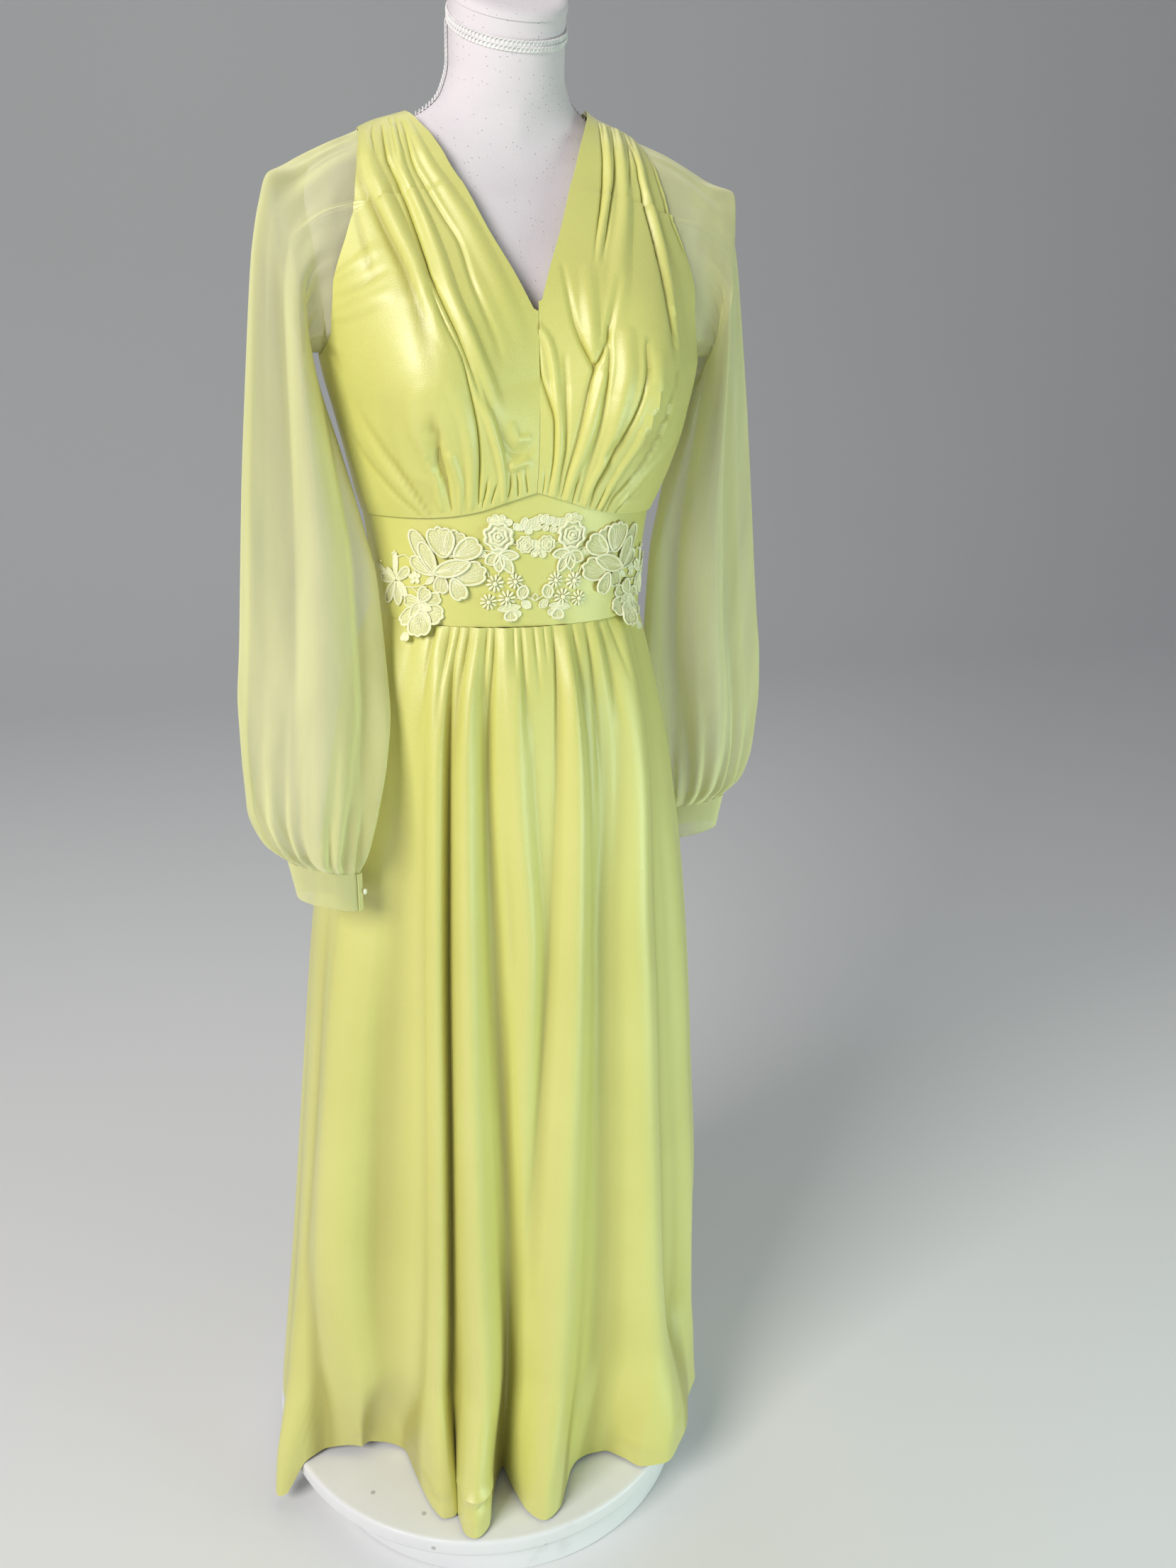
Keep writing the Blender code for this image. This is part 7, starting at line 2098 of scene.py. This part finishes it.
@dataclass
class Skirt:
    """The front panel, gathered at its middle, and the two plain back panels."""

    front_columns: int = 300
    front_rows: int = 148
    back_columns: int = 84
    back_rows: int = 96
    fold_depth: float = 1.3
    hollow_reach: int = 9
    front_hollow_depth: float = 0.0060
    back_hollow_depth: float = 0.0045
    hem_z: float = 0.062
    hem_reach_z: float = 0.14
    foot_roundness: float = 0.6
    upper_roundness: float = 0.8
    back_roundness: float = 0.8
    hem_power: float = 1.06
    round_span: tuple[float, float] = (0.06, 0.20)
    depth_span: tuple[float, float] = (0.10, 0.12)
    waist_span: tuple[float, float] = (1.010, -0.05)
    gather_right: tuple[float, float] = (-50, 8)
    gather_left: tuple[float, float] = (54, -8)
    plan_height: tuple[float, float] = (0.21, -0.145)
    plan_right: tuple[float, float] = (-50, 12)
    plan_left: tuple[float, float] = (65, -14)

    @staticmethod
    def base(angle: Array, z: Array, out: Array = 0.0) -> Array:
        """A point of the skirt without folds, moved out from it.

        Args:
            angle: Degrees from the front, positive to the wearer's left.
            z: Height.
            out: How far out from the surface.

        Returns:
            Points of the skirt.
        """
        turn = np.radians(angle)
        half_width = np.where(angle >= 0, SKIRT["left"](z), SKIRT["right"](z))
        facing = np.cos(turn)
        depth = np.where(facing > 0, SKIRT["front"](z), SKIRT["back"](z))
        x, y = half_width * np.sin(turn), -depth * facing
        nx, ny = x / half_width ** 2, y / depth ** 2
        length = np.hypot(nx, ny)
        x, y = x + out * nx / length, y + out * ny / length
        return np.stack([SKIRT_X + x, SKIRT["centre_y"](z) + y, z + 0 * x], axis=-1)

    def front_folds(self, angle: Array, z: Array) -> Array:
        """How far the long folds lift the front panel.

        Args:
            angle: Degrees from the front, positive to the wearer's left.
            z: Height.

        Returns:
            The lift, in metres.
        """
        total = np.zeros(np.broadcast_shapes(angle.shape, z.shape))
        roundness = blend(self.foot_roundness, self.upper_roundness, step(z, *self.round_span))
        for table in FRONT_FOLDS.values():
            apart = np.abs(angle - table["angle"](z)) / table["half_width"](z)
            total += table["height"](z) * hump(apart) ** roundness
        total *= blend(1.0, self.fold_depth, step(z, *self.depth_span))
        return total * step(z, *self.waist_span)

    def gather_lift(self, angle: Array, z: Array) -> Array:
        """How far the waist gathers lift the front panel.

        Args:
            angle: Degrees from the front, positive to the wearer's left.
            z: Height.

        Returns:
            The lift, in metres.
        """
        total = GATHER_FULLNESS["lift"](z) * step(angle, *self.gather_right) * step(angle, *self.gather_left)
        for top, foot, low, half_width, depth in GATHERS:
            way = np.clip((WAIST_Z - z) / (WAIST_Z - low), 0.0, 1.0)
            apart = np.abs(angle - blend(top, foot, way)) / (half_width * (1 + 0.5 * way))
            total = total + depth * MM * GATHER_FADE["share"](way) * hump(apart)
        return np.maximum(total, 0.0)

    def back_lift(self, side: Side, share: Array, z: Array) -> Array:
        """How far the uneven hanging folds lift a back panel.

        Args:
            side: The wearer's side.
            share: Share across the panel, from its side.
            z: Height.

        Returns:
            The lift, in metres.
        """
        total = np.zeros(z.shape)
        for top, foot, half_width, height, start in BACK_FOLDS[side]:
            way = np.clip((start - z) / start, 0.0, 1.0)
            apart = np.abs(share - blend(top, foot, way)) / (half_width * (0.55 + 0.45 * way))
            total += height * MM * way ** self.back_roundness * hump(apart) ** self.back_roundness
        return total * step(share, 0.0, 0.05) * step(share, 1.0, -0.04)

    def build(self) -> None:
        """Builds the three panels."""
        satin = SATIN.material()
        angle = FRONT_ANGLES["angle"](np.linspace(0, 1, self.front_columns + 1))[None, :]
        share = np.linspace(0, 1, self.front_rows + 1)[:, None]
        z = blend(WAIST_Z - GAP / 2, FRONT_HEM["z"](angle), share ** self.hem_power)
        angle = angle + 0 * z
        out = self.front_folds(angle, z) + self.gather_lift(angle, z) + SATIN_LIFT
        deep = hollows(out, self.hollow_reach, self.front_hollow_depth)
        points = self.base(angle, z, out)
        near = step(z, *self.plan_height) * step(angle, *self.plan_right) * step(angle, *self.plan_left)
        for axis, name in ((0, "x"), (1, "y")):
            points[..., axis] = blend(points[..., axis], HEM_PLAN[name](angle), near)
        low = np.nonzero(z.min(axis=1) < self.hem_reach_z)[0][0]
        foot = points[low:]
        normals = -grid_normals(foot)
        foot += normals * creased(HEM_CREASES, foot, normals)[:, :, None]
        points[:, [0, -1], 1] -= GAP / 2
        piece = Bench.shell("skirt-front", points, SATIN_WALL, satin, flip=True,
                            seams={"bottom": 2, "start": 1, "end": 1}, hollow=deep)
        hand_over(piece, SATIN, "skirt_front")
        for side in Side:
            share = np.linspace(0, 1, self.back_columns + 1)[None, :]
            angle = side.value * blend(90, 180, share)
            hem = blend(FRONT_HEM["z"](side.value * 90), self.hem_z, ease_in_out(share * 3))
            z = blend(WAIST_Z - GAP / 2, hem, np.linspace(0, 1, self.back_rows + 1)[:, None])
            out = self.back_lift(side, share + 0 * z, z) + SATIN_LIFT
            deep = hollows(out, self.hollow_reach, self.back_hollow_depth)
            points = self.base(angle + 0 * z, z, out)
            points[:, 0, 1] += GAP / 2
            points[:, -1, 0] = SKIRT_X + side.value * GAP / 2
            piece = Bench.shell(f"skirt-back-{side.word}", points, SATIN_WALL, satin, flip=side is Side.LEFT,
                                seams={"bottom": 2, "start": 1, "end": 0}, hollow=deep)
            hand_over(piece, SATIN, f"skirt_back_{side.word}")


@dataclass
class Sleeve:
    """A sheer bishop sleeve with its cuff and button."""

    side: Side
    bodice: Bodice
    columns: int = 320
    rows: int = 150
    fold_depth: float = 2.8
    gather_depth: float = 1.6
    cuff_height: float = 0.036
    cuff_half_depth: float = 0.0150
    cuff_lap: float = 0.07
    cuff_taper: float = 0.09
    cuff_start: float = 0.02
    cuff_inset: float = 0.0012
    cuff_lift: float = 0.0004
    cuff_power: float = 0.9
    cuff_columns: int = 150
    cuff_rows: int = 18
    button_radius: float = 0.0028
    button_turn: float = 0.045
    button_lift: float = 0.0003
    button_middle: float = 0.55
    button_swell: float = 0.6
    button_columns: int = 32
    button_tilts: tuple[float, float, int] = (-60, 80, 15)
    off_body: float = 0.0105
    off_skirt: float = 0.008
    off_armhole: float = 0.0012
    lift: float = 0.0005
    flat: tuple[float, float] = (0.40, 0.60)

    def keep_off(self, points: Array) -> Array:
        """The points pushed out of the figure and the skirt where they lie in them.

        Args:
            points: Points of the sleeve.

        Returns:
            The points outside both.
        """
        x, y, z = (points[..., k].copy() for k in range(3))
        centre = BODY["centre_y"](z)
        dx, dy = x - BODY_X, y - centre
        power = BODY["squareness"](z) / 2
        depth = np.where(dy < 0, BODY["front"](z), BODY["back"](z))
        across = np.abs(dx / BODY["half_width"](z)) ** power
        turn = np.arctan2(across, -signed_power(dy / depth, power))
        blouse = np.where(dx > 0, BLOUSE["left"](z), BLOUSE["right"](z)) * np.sin(turn) ** 2
        surface = Figure.point(np.copysign(np.degrees(turn), dx), z, self.off_body + blouse)
        level = np.hypot(dx, dy) / np.hypot(surface[..., 0] - BODY_X, surface[..., 1] - centre)
        push = (z < CHEST_TOP_Z) & (level < 1)
        x, y = np.where(push, BODY_X + dx / level, x), np.where(push, centre + dy / level, y)
        half_width = np.where(x > SKIRT_X, SKIRT["left"](z), SKIRT["right"](z)) + self.off_skirt
        centre = SKIRT["centre_y"](z)
        depth = np.where(y < centre, SKIRT["front"](z), SKIRT["back"](z)) + self.off_skirt
        dx, dy = x - SKIRT_X, y - centre
        level = np.hypot(dx / half_width, dy / depth)
        push = (z < WAIST_Z) & (level < 1)
        x, y = np.where(push, SKIRT_X + dx / level, x), np.where(push, centre + dy / level, y)
        return np.stack([x, y, z], axis=-1)

    def rings(self) -> Array:
        """The sleeve's rings of points, one for each row of its table, the armhole's first.

        Returns:
            The rings, each with a point to a column.
        """
        around = np.linspace(0, 1, self.columns, endpoint=False)
        start = self.bodice.armhole(self.side, around)
        following, before = np.roll(start, -1, axis=0), np.roll(start, 1, axis=0)
        hub = start.mean(axis=0)
        tangent = following - before
        away = np.cross(tangent, np.cross(tangent, hub - start))
        away = away / np.maximum(np.linalg.norm(away, axis=1, keepdims=True), TINY)
        away *= np.sign((away * (hub - start)).sum(axis=1, keepdims=True))
        start = start + away * self.off_armhole
        rings = [start]
        turn = 2 * math.pi * around[:, None]
        facing = np.array((0.0, -1.0, 0.0))
        for row in SLEEVES[self.side]:
            outer_x, outer_z, inner_x, inner_z, centre_y, half_depth, twist, fold, gather, share = row
            outer = np.array((BODY_X + self.side.value * outer_x, centre_y + twist, outer_z))
            inner = np.array((BODY_X + self.side.value * inner_x, centre_y - twist, inner_z))
            middle, reach = (outer + inner) / 2, (outer - inner) / 2
            swell = self.fold_depth * fold * SLEEVE_FOLDS["height"](around)[:, None]
            swell = swell + self.gather_depth * gather * WRIST_FOLDS["height"](around)[:, None]
            free = middle + reach * np.cos(turn) + facing * half_depth * np.sin(turn)
            away = reach * np.cos(turn) / np.linalg.norm(reach) + facing * np.sin(turn)
            offset = start - hub + middle
            rings.append(self.keep_off(blend(offset, free + away * swell, share)))
        return np.array(rings)

    def build(self) -> None:
        """Builds the sleeve, its cuff and its button."""
        rings = self.rings()
        points = smooth_line(rings.reshape(len(rings), -1), self.rows + 1).reshape(-1, self.columns, 3)
        normals = grid_normals(points, True) * (-1 if self.side is Side.RIGHT else 1)
        points = points + normals * self.lift
        quads = Bench.grid_quads(len(points), self.columns, True)
        uv = Bench.pairs(self.flat[0] * np.arange(self.columns) / self.columns, Bench.way_along(points))
        piece = Bench.mesh(f"sleeve-{self.side.word}", points.reshape(-1, 3),
                           quads[:, ::self.side.value], uv, CHIFFON.material(), 80.0)
        hand_over(piece, CHIFFON, f"sleeve_{self.side.word}")
        self.build_cuff()

    def cuff_point(self, turn: Array, drop: Array, out: Array) -> Array:
        """A point of the cuff's flattened ring, at a part turn from the inner side.

        Args:
            turn: Part of a turn.
            drop: How far below the cuff's top.
            out: How far out from the surface.

        Returns:
            Points of the cuff.
        """
        outer_x, outer_z, inner_x, inner_z, centre_y, _, twist, _, _, _ = SLEEVES[self.side][-1]
        narrowing = self.cuff_taper * drop
        half_width = (outer_x - inner_x) / 2 + out - narrowing
        half_depth = self.cuff_half_depth + out
        middle_x = BODY_X + self.side.value * ((outer_x + inner_x) / 2 - narrowing)
        around = 2 * math.pi * turn
        across = signed_power(np.cos(around), self.cuff_power)
        x = middle_x - self.side.value * half_width * across
        y = centre_y - half_depth * signed_power(np.sin(around), self.cuff_power) - twist * across
        z = (outer_z + inner_z) / 2 - (outer_z - inner_z) / 2 * across - GAP - drop
        return np.stack(np.broadcast_arrays(x, y, z), axis=-1)

    def build_cuff(self) -> None:
        """Builds the lapped cuff and its button."""
        spiral = CAD_CUFF_WALL + 2 * GAP
        k = np.linspace(0, 1, self.cuff_columns + 1)[None, :]
        drop = np.linspace(0, self.cuff_height, self.cuff_rows + 1)[:, None]
        turn = blend(self.cuff_start, 1 + self.cuff_start + self.cuff_lap, k)
        out = spiral * k * (1 + self.cuff_lap) - self.cuff_inset + self.cuff_lift
        grid = self.cuff_point(turn + 0 * drop, drop, out)
        piece = Bench.shell(f"cuff-{self.side.word}", grid, CUFF_WALL, CHIFFON.material(),
                            flip=self.side is Side.LEFT)
        hand_over(piece, CHIFFON, f"cuff_{self.side.word}")
        seat = spiral * (1 + self.cuff_lap) - self.cuff_inset + CAD_CUFF_WALL + GAP
        base, far = (self.cuff_point(np.array(self.button_turn), self.cuff_height * 0.5, out)
                     for out in (seat, seat + 0.01))
        away = (far - base) / np.linalg.norm(far - base)
        side_way = np.cross(away, (0, 0, 1))
        side_way /= np.linalg.norm(side_way)
        up_way = np.cross(side_way, away)
        tilt = np.radians(np.linspace(*self.button_tilts))[:, None, None]
        radius = np.cos(tilt) * self.button_radius
        rise = (self.button_middle + self.button_swell * np.sin(tilt)) * self.button_radius
        a = np.linspace(0, 2 * math.pi, self.button_columns, endpoint=False)[:, None]
        rings = (side_way * np.cos(a) + up_way * np.sin(a)) * radius
        rings = base + away * (rise + self.button_lift) + rings
        bead = Bench.stack(f"cuff-button-{self.side.word}", rings, PEARL.material())
        hand_over(bead, PEARL, f"cuff_button_{self.side.word}")


@dataclass
class DressForm:
    """The smooth limbless form, its neck cap and its gimp braids."""

    columns: int = 128
    braid_columns: int = 128
    braid_wall: float = 0.0009
    side_braid_z: float = 1.414
    side_braid_height: float = 0.0595
    side_braid_angle: float = 96.0
    side_braid_lean: float = 10.0
    ring_spacing: float = 0.0034
    ring_size: float = 0.0019
    ring_thickness: float = 0.00055
    neck_rows_z: tuple[float, float] = (1.4778, 1.4822)
    neck_ring_out: float = 0.0013
    side_ring_out: float = 0.0022
    side_ring_shifts: tuple[float, float] = (-2.6, 2.6)
    side_braid_reach: float = 4.5

    def build(self) -> None:
        """Builds the torso, the cap and the braids."""
        jersey = JERSEY.material()
        angle = turned_round(self.columns)
        z = np.concatenate([np.linspace(FORM_BOTTOM_Z, 1.34, 60), np.linspace(1.344, NECK_TOP_Z, 70)])
        z = z[:, None]
        rings = Figure.neck(angle + 0 * z, z, FORM_FIT["out"](z))
        rings[..., 2] -= FORM_FIT["drop"](z)
        hand_over(Bench.stack("form-torso", rings, jersey), JERSEY, "form_torso")
        rise, out = np.array(CAP_PROFILE).T[..., None]
        cap = Figure.neck(angle + 0 * rise, np.full(rise.shape, NECK_TOP_Z), out)
        cap[..., 2] += rise
        hand_over(Bench.stack("form-neck-cap", cap, jersey), JERSEY, "form_neck_cap")
        self.build_braids()

    def build_braids(self) -> None:
        """Builds the neck braid and the two side braids, each a flat band under two rows of rings."""
        gimp = GIMP.material()
        z = np.linspace(1.4755, 1.4845, 5)[:, None]
        grid = Figure.neck(turned_round(self.braid_columns) + 0 * z, z, GAP)
        hand_over(Bench.shell("neck-braid", grid, self.braid_wall, gimp, closed=True), GIMP, "neck_braid")
        around = np.linspace(-180, 180, 200)
        rows = [self.braid_row(around, np.full(around.shape, z), self.neck_ring_out)
                for z in self.neck_rows_z]
        sizes = (self.ring_spacing, self.ring_size, self.ring_thickness)
        hand_over(Repeat.rings("neck-braid-rings", rows, gimp, *sizes), GIMP)
        for side in Side:
            z = np.linspace(self.side_braid_z, 1.4735, 28)[:, None]
            reach = self.side_braid_reach
            angle = self.side_angle(side, z) + np.linspace(-reach, reach, 5)[None, :]
            grid = Figure.neck(angle, z + 0 * angle, FORM_FIT["out"](z + 0 * angle) + 3 * GAP)
            grid[..., 2] -= FORM_FIT["drop"](z)
            band = Bench.shell(f"side-braid-{side.word}", grid, self.braid_wall, gimp)
            hand_over(band, GIMP, f"side_braid_{side.word}")
            line = np.linspace(self.side_braid_z, 1.4725, 40)
            angle = self.side_angle(side, line)
            rows = [self.braid_row(angle + shift, line, self.side_ring_out)
                    for shift in self.side_ring_shifts]
            hand_over(Repeat.rings(f"side-braid-rings-{side.word}", rows, gimp, *sizes), GIMP)

    def side_angle(self, side: Side, z: Array) -> Array:
        """The angle at which a side braid runs at a height."""
        lean = blend(0.0, self.side_braid_lean, (z - self.side_braid_z) / self.side_braid_height)
        return side.value * (self.side_braid_angle + lean)

    @staticmethod
    def braid_row(angle: Array, z: Array, out: float) -> tuple[Array, Array]:
        """A line on the neck and the ways that face away from it.

        Args:
            angle: Degrees from the front, positive to the wearer's left.
            z: Height.
            out: How far out from the surface.

        Returns:
            The line's points and a unit way for each.
        """
        reach = FORM_FIT["out"](z)
        line = Figure.neck(angle, z, reach + out)
        away = Figure.neck(angle, z, reach + out + 0.01) - line
        line[:, 2] -= FORM_FIT["drop"](z)
        return line, away / np.linalg.norm(away, axis=1, keepdims=True)


@dataclass
class Stand:
    """The round two-tier stand and its pole."""

    lower_radius: float = 0.218
    lower_top: float = 0.036
    upper_radius: float = 0.243
    upper_top: float = 0.0575
    upper_centre: tuple[float, float] = (-0.009, 0.018)
    pole_radius: float = 0.015
    collar_radius: float = 0.040
    collar_height: float = 0.012
    hub: float = 0.01
    lower_rounding: float = 0.004
    upper_rounding: float = 0.005
    pole_rounding: float = 0.003
    pole_middle: float = 0.004
    segments: int = 160
    pole_segments: int = 48

    @staticmethod
    def rounded(corners: list[tuple[float, float]], radius: float, steps: int = 5
                ) -> list[tuple[float, float]]:
        """A profile with its corners rounded.

        Args:
            corners: (radius, z) corners in order.
            radius: How much of each side a rounding takes.
            steps: Points to a rounding.

        Returns:
            The rounded profile.
        """
        points = np.array(corners)
        made = [tuple(points[0])]
        for before, corner, after in zip(points, points[1:], points[2:]):
            ways = [(before - corner), (after - corner)]
            lengths = [np.linalg.norm(way) for way in ways]
            ends = [corner + way / length * min(radius, length * 0.45) for way, length in zip(ways, lengths)]
            for t in np.linspace(0, 1, steps):
                made.append(tuple(ends[0] * (1 - t) ** 2 + corner * 2 * t * (1 - t) + ends[1] * t * t))
        made.append(tuple(points[-1]))
        return made

    def build(self) -> None:
        """Builds the discs and the pole."""
        paint = PAINT.material()
        discs = [("lower", 0.0, self.lower_top, self.lower_radius, (0.0, 0.0), self.lower_rounding),
                 ("upper", self.lower_top + GAP, self.upper_top, self.upper_radius, self.upper_centre,
                  self.upper_rounding)]
        for word, bottom, top, radius, centre, rounding in discs:
            corners = [(self.hub, bottom), (radius, bottom), (radius, top), (self.hub, top)]
            profile = self.rounded(corners, rounding)
            piece = Bench.turned(f"stand-{word}-disc", profile, centre, self.segments, paint)
            hand_over(piece, PAINT, f"stand_{word}_disc")
        foot = self.upper_top + GAP
        top = foot + self.collar_height
        end = FORM_BOTTOM_Z - GAP
        pole = self.rounded([(self.pole_middle, foot), (self.collar_radius, foot), (self.collar_radius, top),
                             (self.pole_radius, top + 0.004), (self.pole_radius, end),
                             (self.pole_middle, end)], self.pole_rounding)
        piece = Bench.turned("stand-pole", pole, (0.0, 0.0), self.pole_segments, paint)
        hand_over(piece, PAINT, "stand_pole")


FLOOR_COLOUR = (0.74, 0.74, 0.75, 1.0)
FLOOR_SHADE = (0.77, 0.77, 0.78, 1.0)
# Lamps: name, place, aim, size, power, colour.
LAMPS = [
    ("key", (-2.4, -1.8, 2.5), (0.0, 0.0, 0.9), 1.5, 104.0, (1.0, 0.98, 0.94)),
    ("fill", (1.7, -1.5, 0.30), (0.05, 0.0, 0.30), 1.1, 29.0, (0.74, 1.0, 0.84)),
    ("top", (0.2, 0.9, 3.2), (0.0, 0.0, 1.0), 1.6, 12.0, (1.0, 1.0, 1.0)),
]


@dataclass
class Studio:
    """Camera, plain pale floor and soft lights."""

    place: tuple[float, float, float] = (-0.2673, -1.1568, 1.2824)
    yaw: float = 17.53
    pitch: float = 21.17
    roll: float = 1.47
    lens: float = 29.25
    room_colour: tuple[float, float, float, float] = (0.86, 0.88, 0.92, 1.0)
    room_strength: float = 0.28

    def build(self) -> None:
        """Builds the camera, the floor and the lights."""
        scene = bpy.context.scene
        camera = bpy.data.cameras.new("camera")
        camera.lens = self.lens
        camera.sensor_width = 36.0
        camera.sensor_fit = "AUTO"
        eye = bpy.data.objects.new("camera", camera)
        scene.collection.objects.link(eye)
        y, p, c = (math.radians(a) for a in (self.yaw, self.pitch, self.roll))
        ahead = Vector((math.sin(y) * math.cos(p), math.cos(y) * math.cos(p), -math.sin(p)))
        right = Vector((math.cos(y), -math.sin(y), 0))
        up = right.cross(ahead)
        turned_right = right * math.cos(c) + up * math.sin(c)
        turned_up = up * math.cos(c) - right * math.sin(c)
        pose = Matrix((turned_right, turned_up, -ahead)).transposed().to_4x4()
        pose.translation = Vector(self.place)
        eye.matrix_world = pose
        scene.camera = eye
        scene.view_settings.view_transform = "Standard"
        world = bpy.data.worlds.new("room")
        scene.world = world
        world.use_nodes = True
        background = world.node_tree.nodes["Background"]
        background.inputs[0].default_value = self.room_colour
        background.inputs[1].default_value = self.room_strength
        for lamp in LAMPS:
            self.lamp(*lamp)
        self.floor()

    @staticmethod
    def lamp(name: str, place: tuple[float, float, float], aim: tuple[float, float, float], size: float,
             power: float, colour: tuple[float, float, float]) -> None:
        """Adds a large soft lamp that faces a point.

        Args:
            name: The lamp's name.
            place: Where it stands.
            aim: The point that it faces.
            size: Its side.
            power: Its power in watts.
            colour: Its colour.
        """
        data = bpy.data.lights.new(name, "AREA")
        data.size = size
        data.energy = power
        data.color = colour
        lamp = bpy.data.objects.new(name, data)
        lamp.location = place
        lamp.rotation_mode = "QUATERNION"
        lamp.rotation_quaternion = (Vector(aim) - Vector(place)).to_track_quat("-Z", "Y")
        bpy.context.scene.collection.objects.link(lamp)

    @staticmethod
    def floor() -> None:
        """Adds the wide pale floor, which sweeps up behind."""
        material = bpy.data.materials.new("pale_floor")
        material.use_nodes = True
        nodes = Wiring(material.node_tree)
        shader = material.node_tree.nodes["Principled BSDF"]
        place = nodes.add("ShaderNodeTexCoord").outputs["Object"]
        tint = nodes.mix(nodes.noise(place, 0.6), FLOOR_COLOUR, FLOOR_SHADE)
        nodes.link(tint, shader.inputs["Base Color"])
        shader.inputs["Roughness"].default_value = 0.9
        reach, bend, radius, top = 14.0, 3.0, 2.5, 9.0
        turn = np.linspace(0, math.pi / 2, 17)
        y = np.concatenate([[-reach], bend + radius * np.sin(turn), [bend + radius]])
        z = np.concatenate([[0.0], radius * (1 - np.cos(turn)), [top]])
        x = np.array([-reach, reach])[None, :]
        grid = np.stack(np.broadcast_arrays(x, y[:, None], z[:, None]), axis=-1)
        quads = Bench.grid_quads(len(y), 2, False)
        Bench.mesh("floor", grid.reshape(-1, 3), quads, None, material)


def main() -> None:
    """Builds every sub-assembly in order."""
    logging.basicConfig(level=logging.INFO, format="%(name)s %(message)s")
    Stand().build()
    DressForm().build()
    bodice = Bodice()
    bodice.build()
    Midriff().build()
    Skirt().build()
    for side in Side:
        Sleeve(side, bodice).build()
    Lace().build()
    Studio().build()


if __name__ == "__main__":
    main()
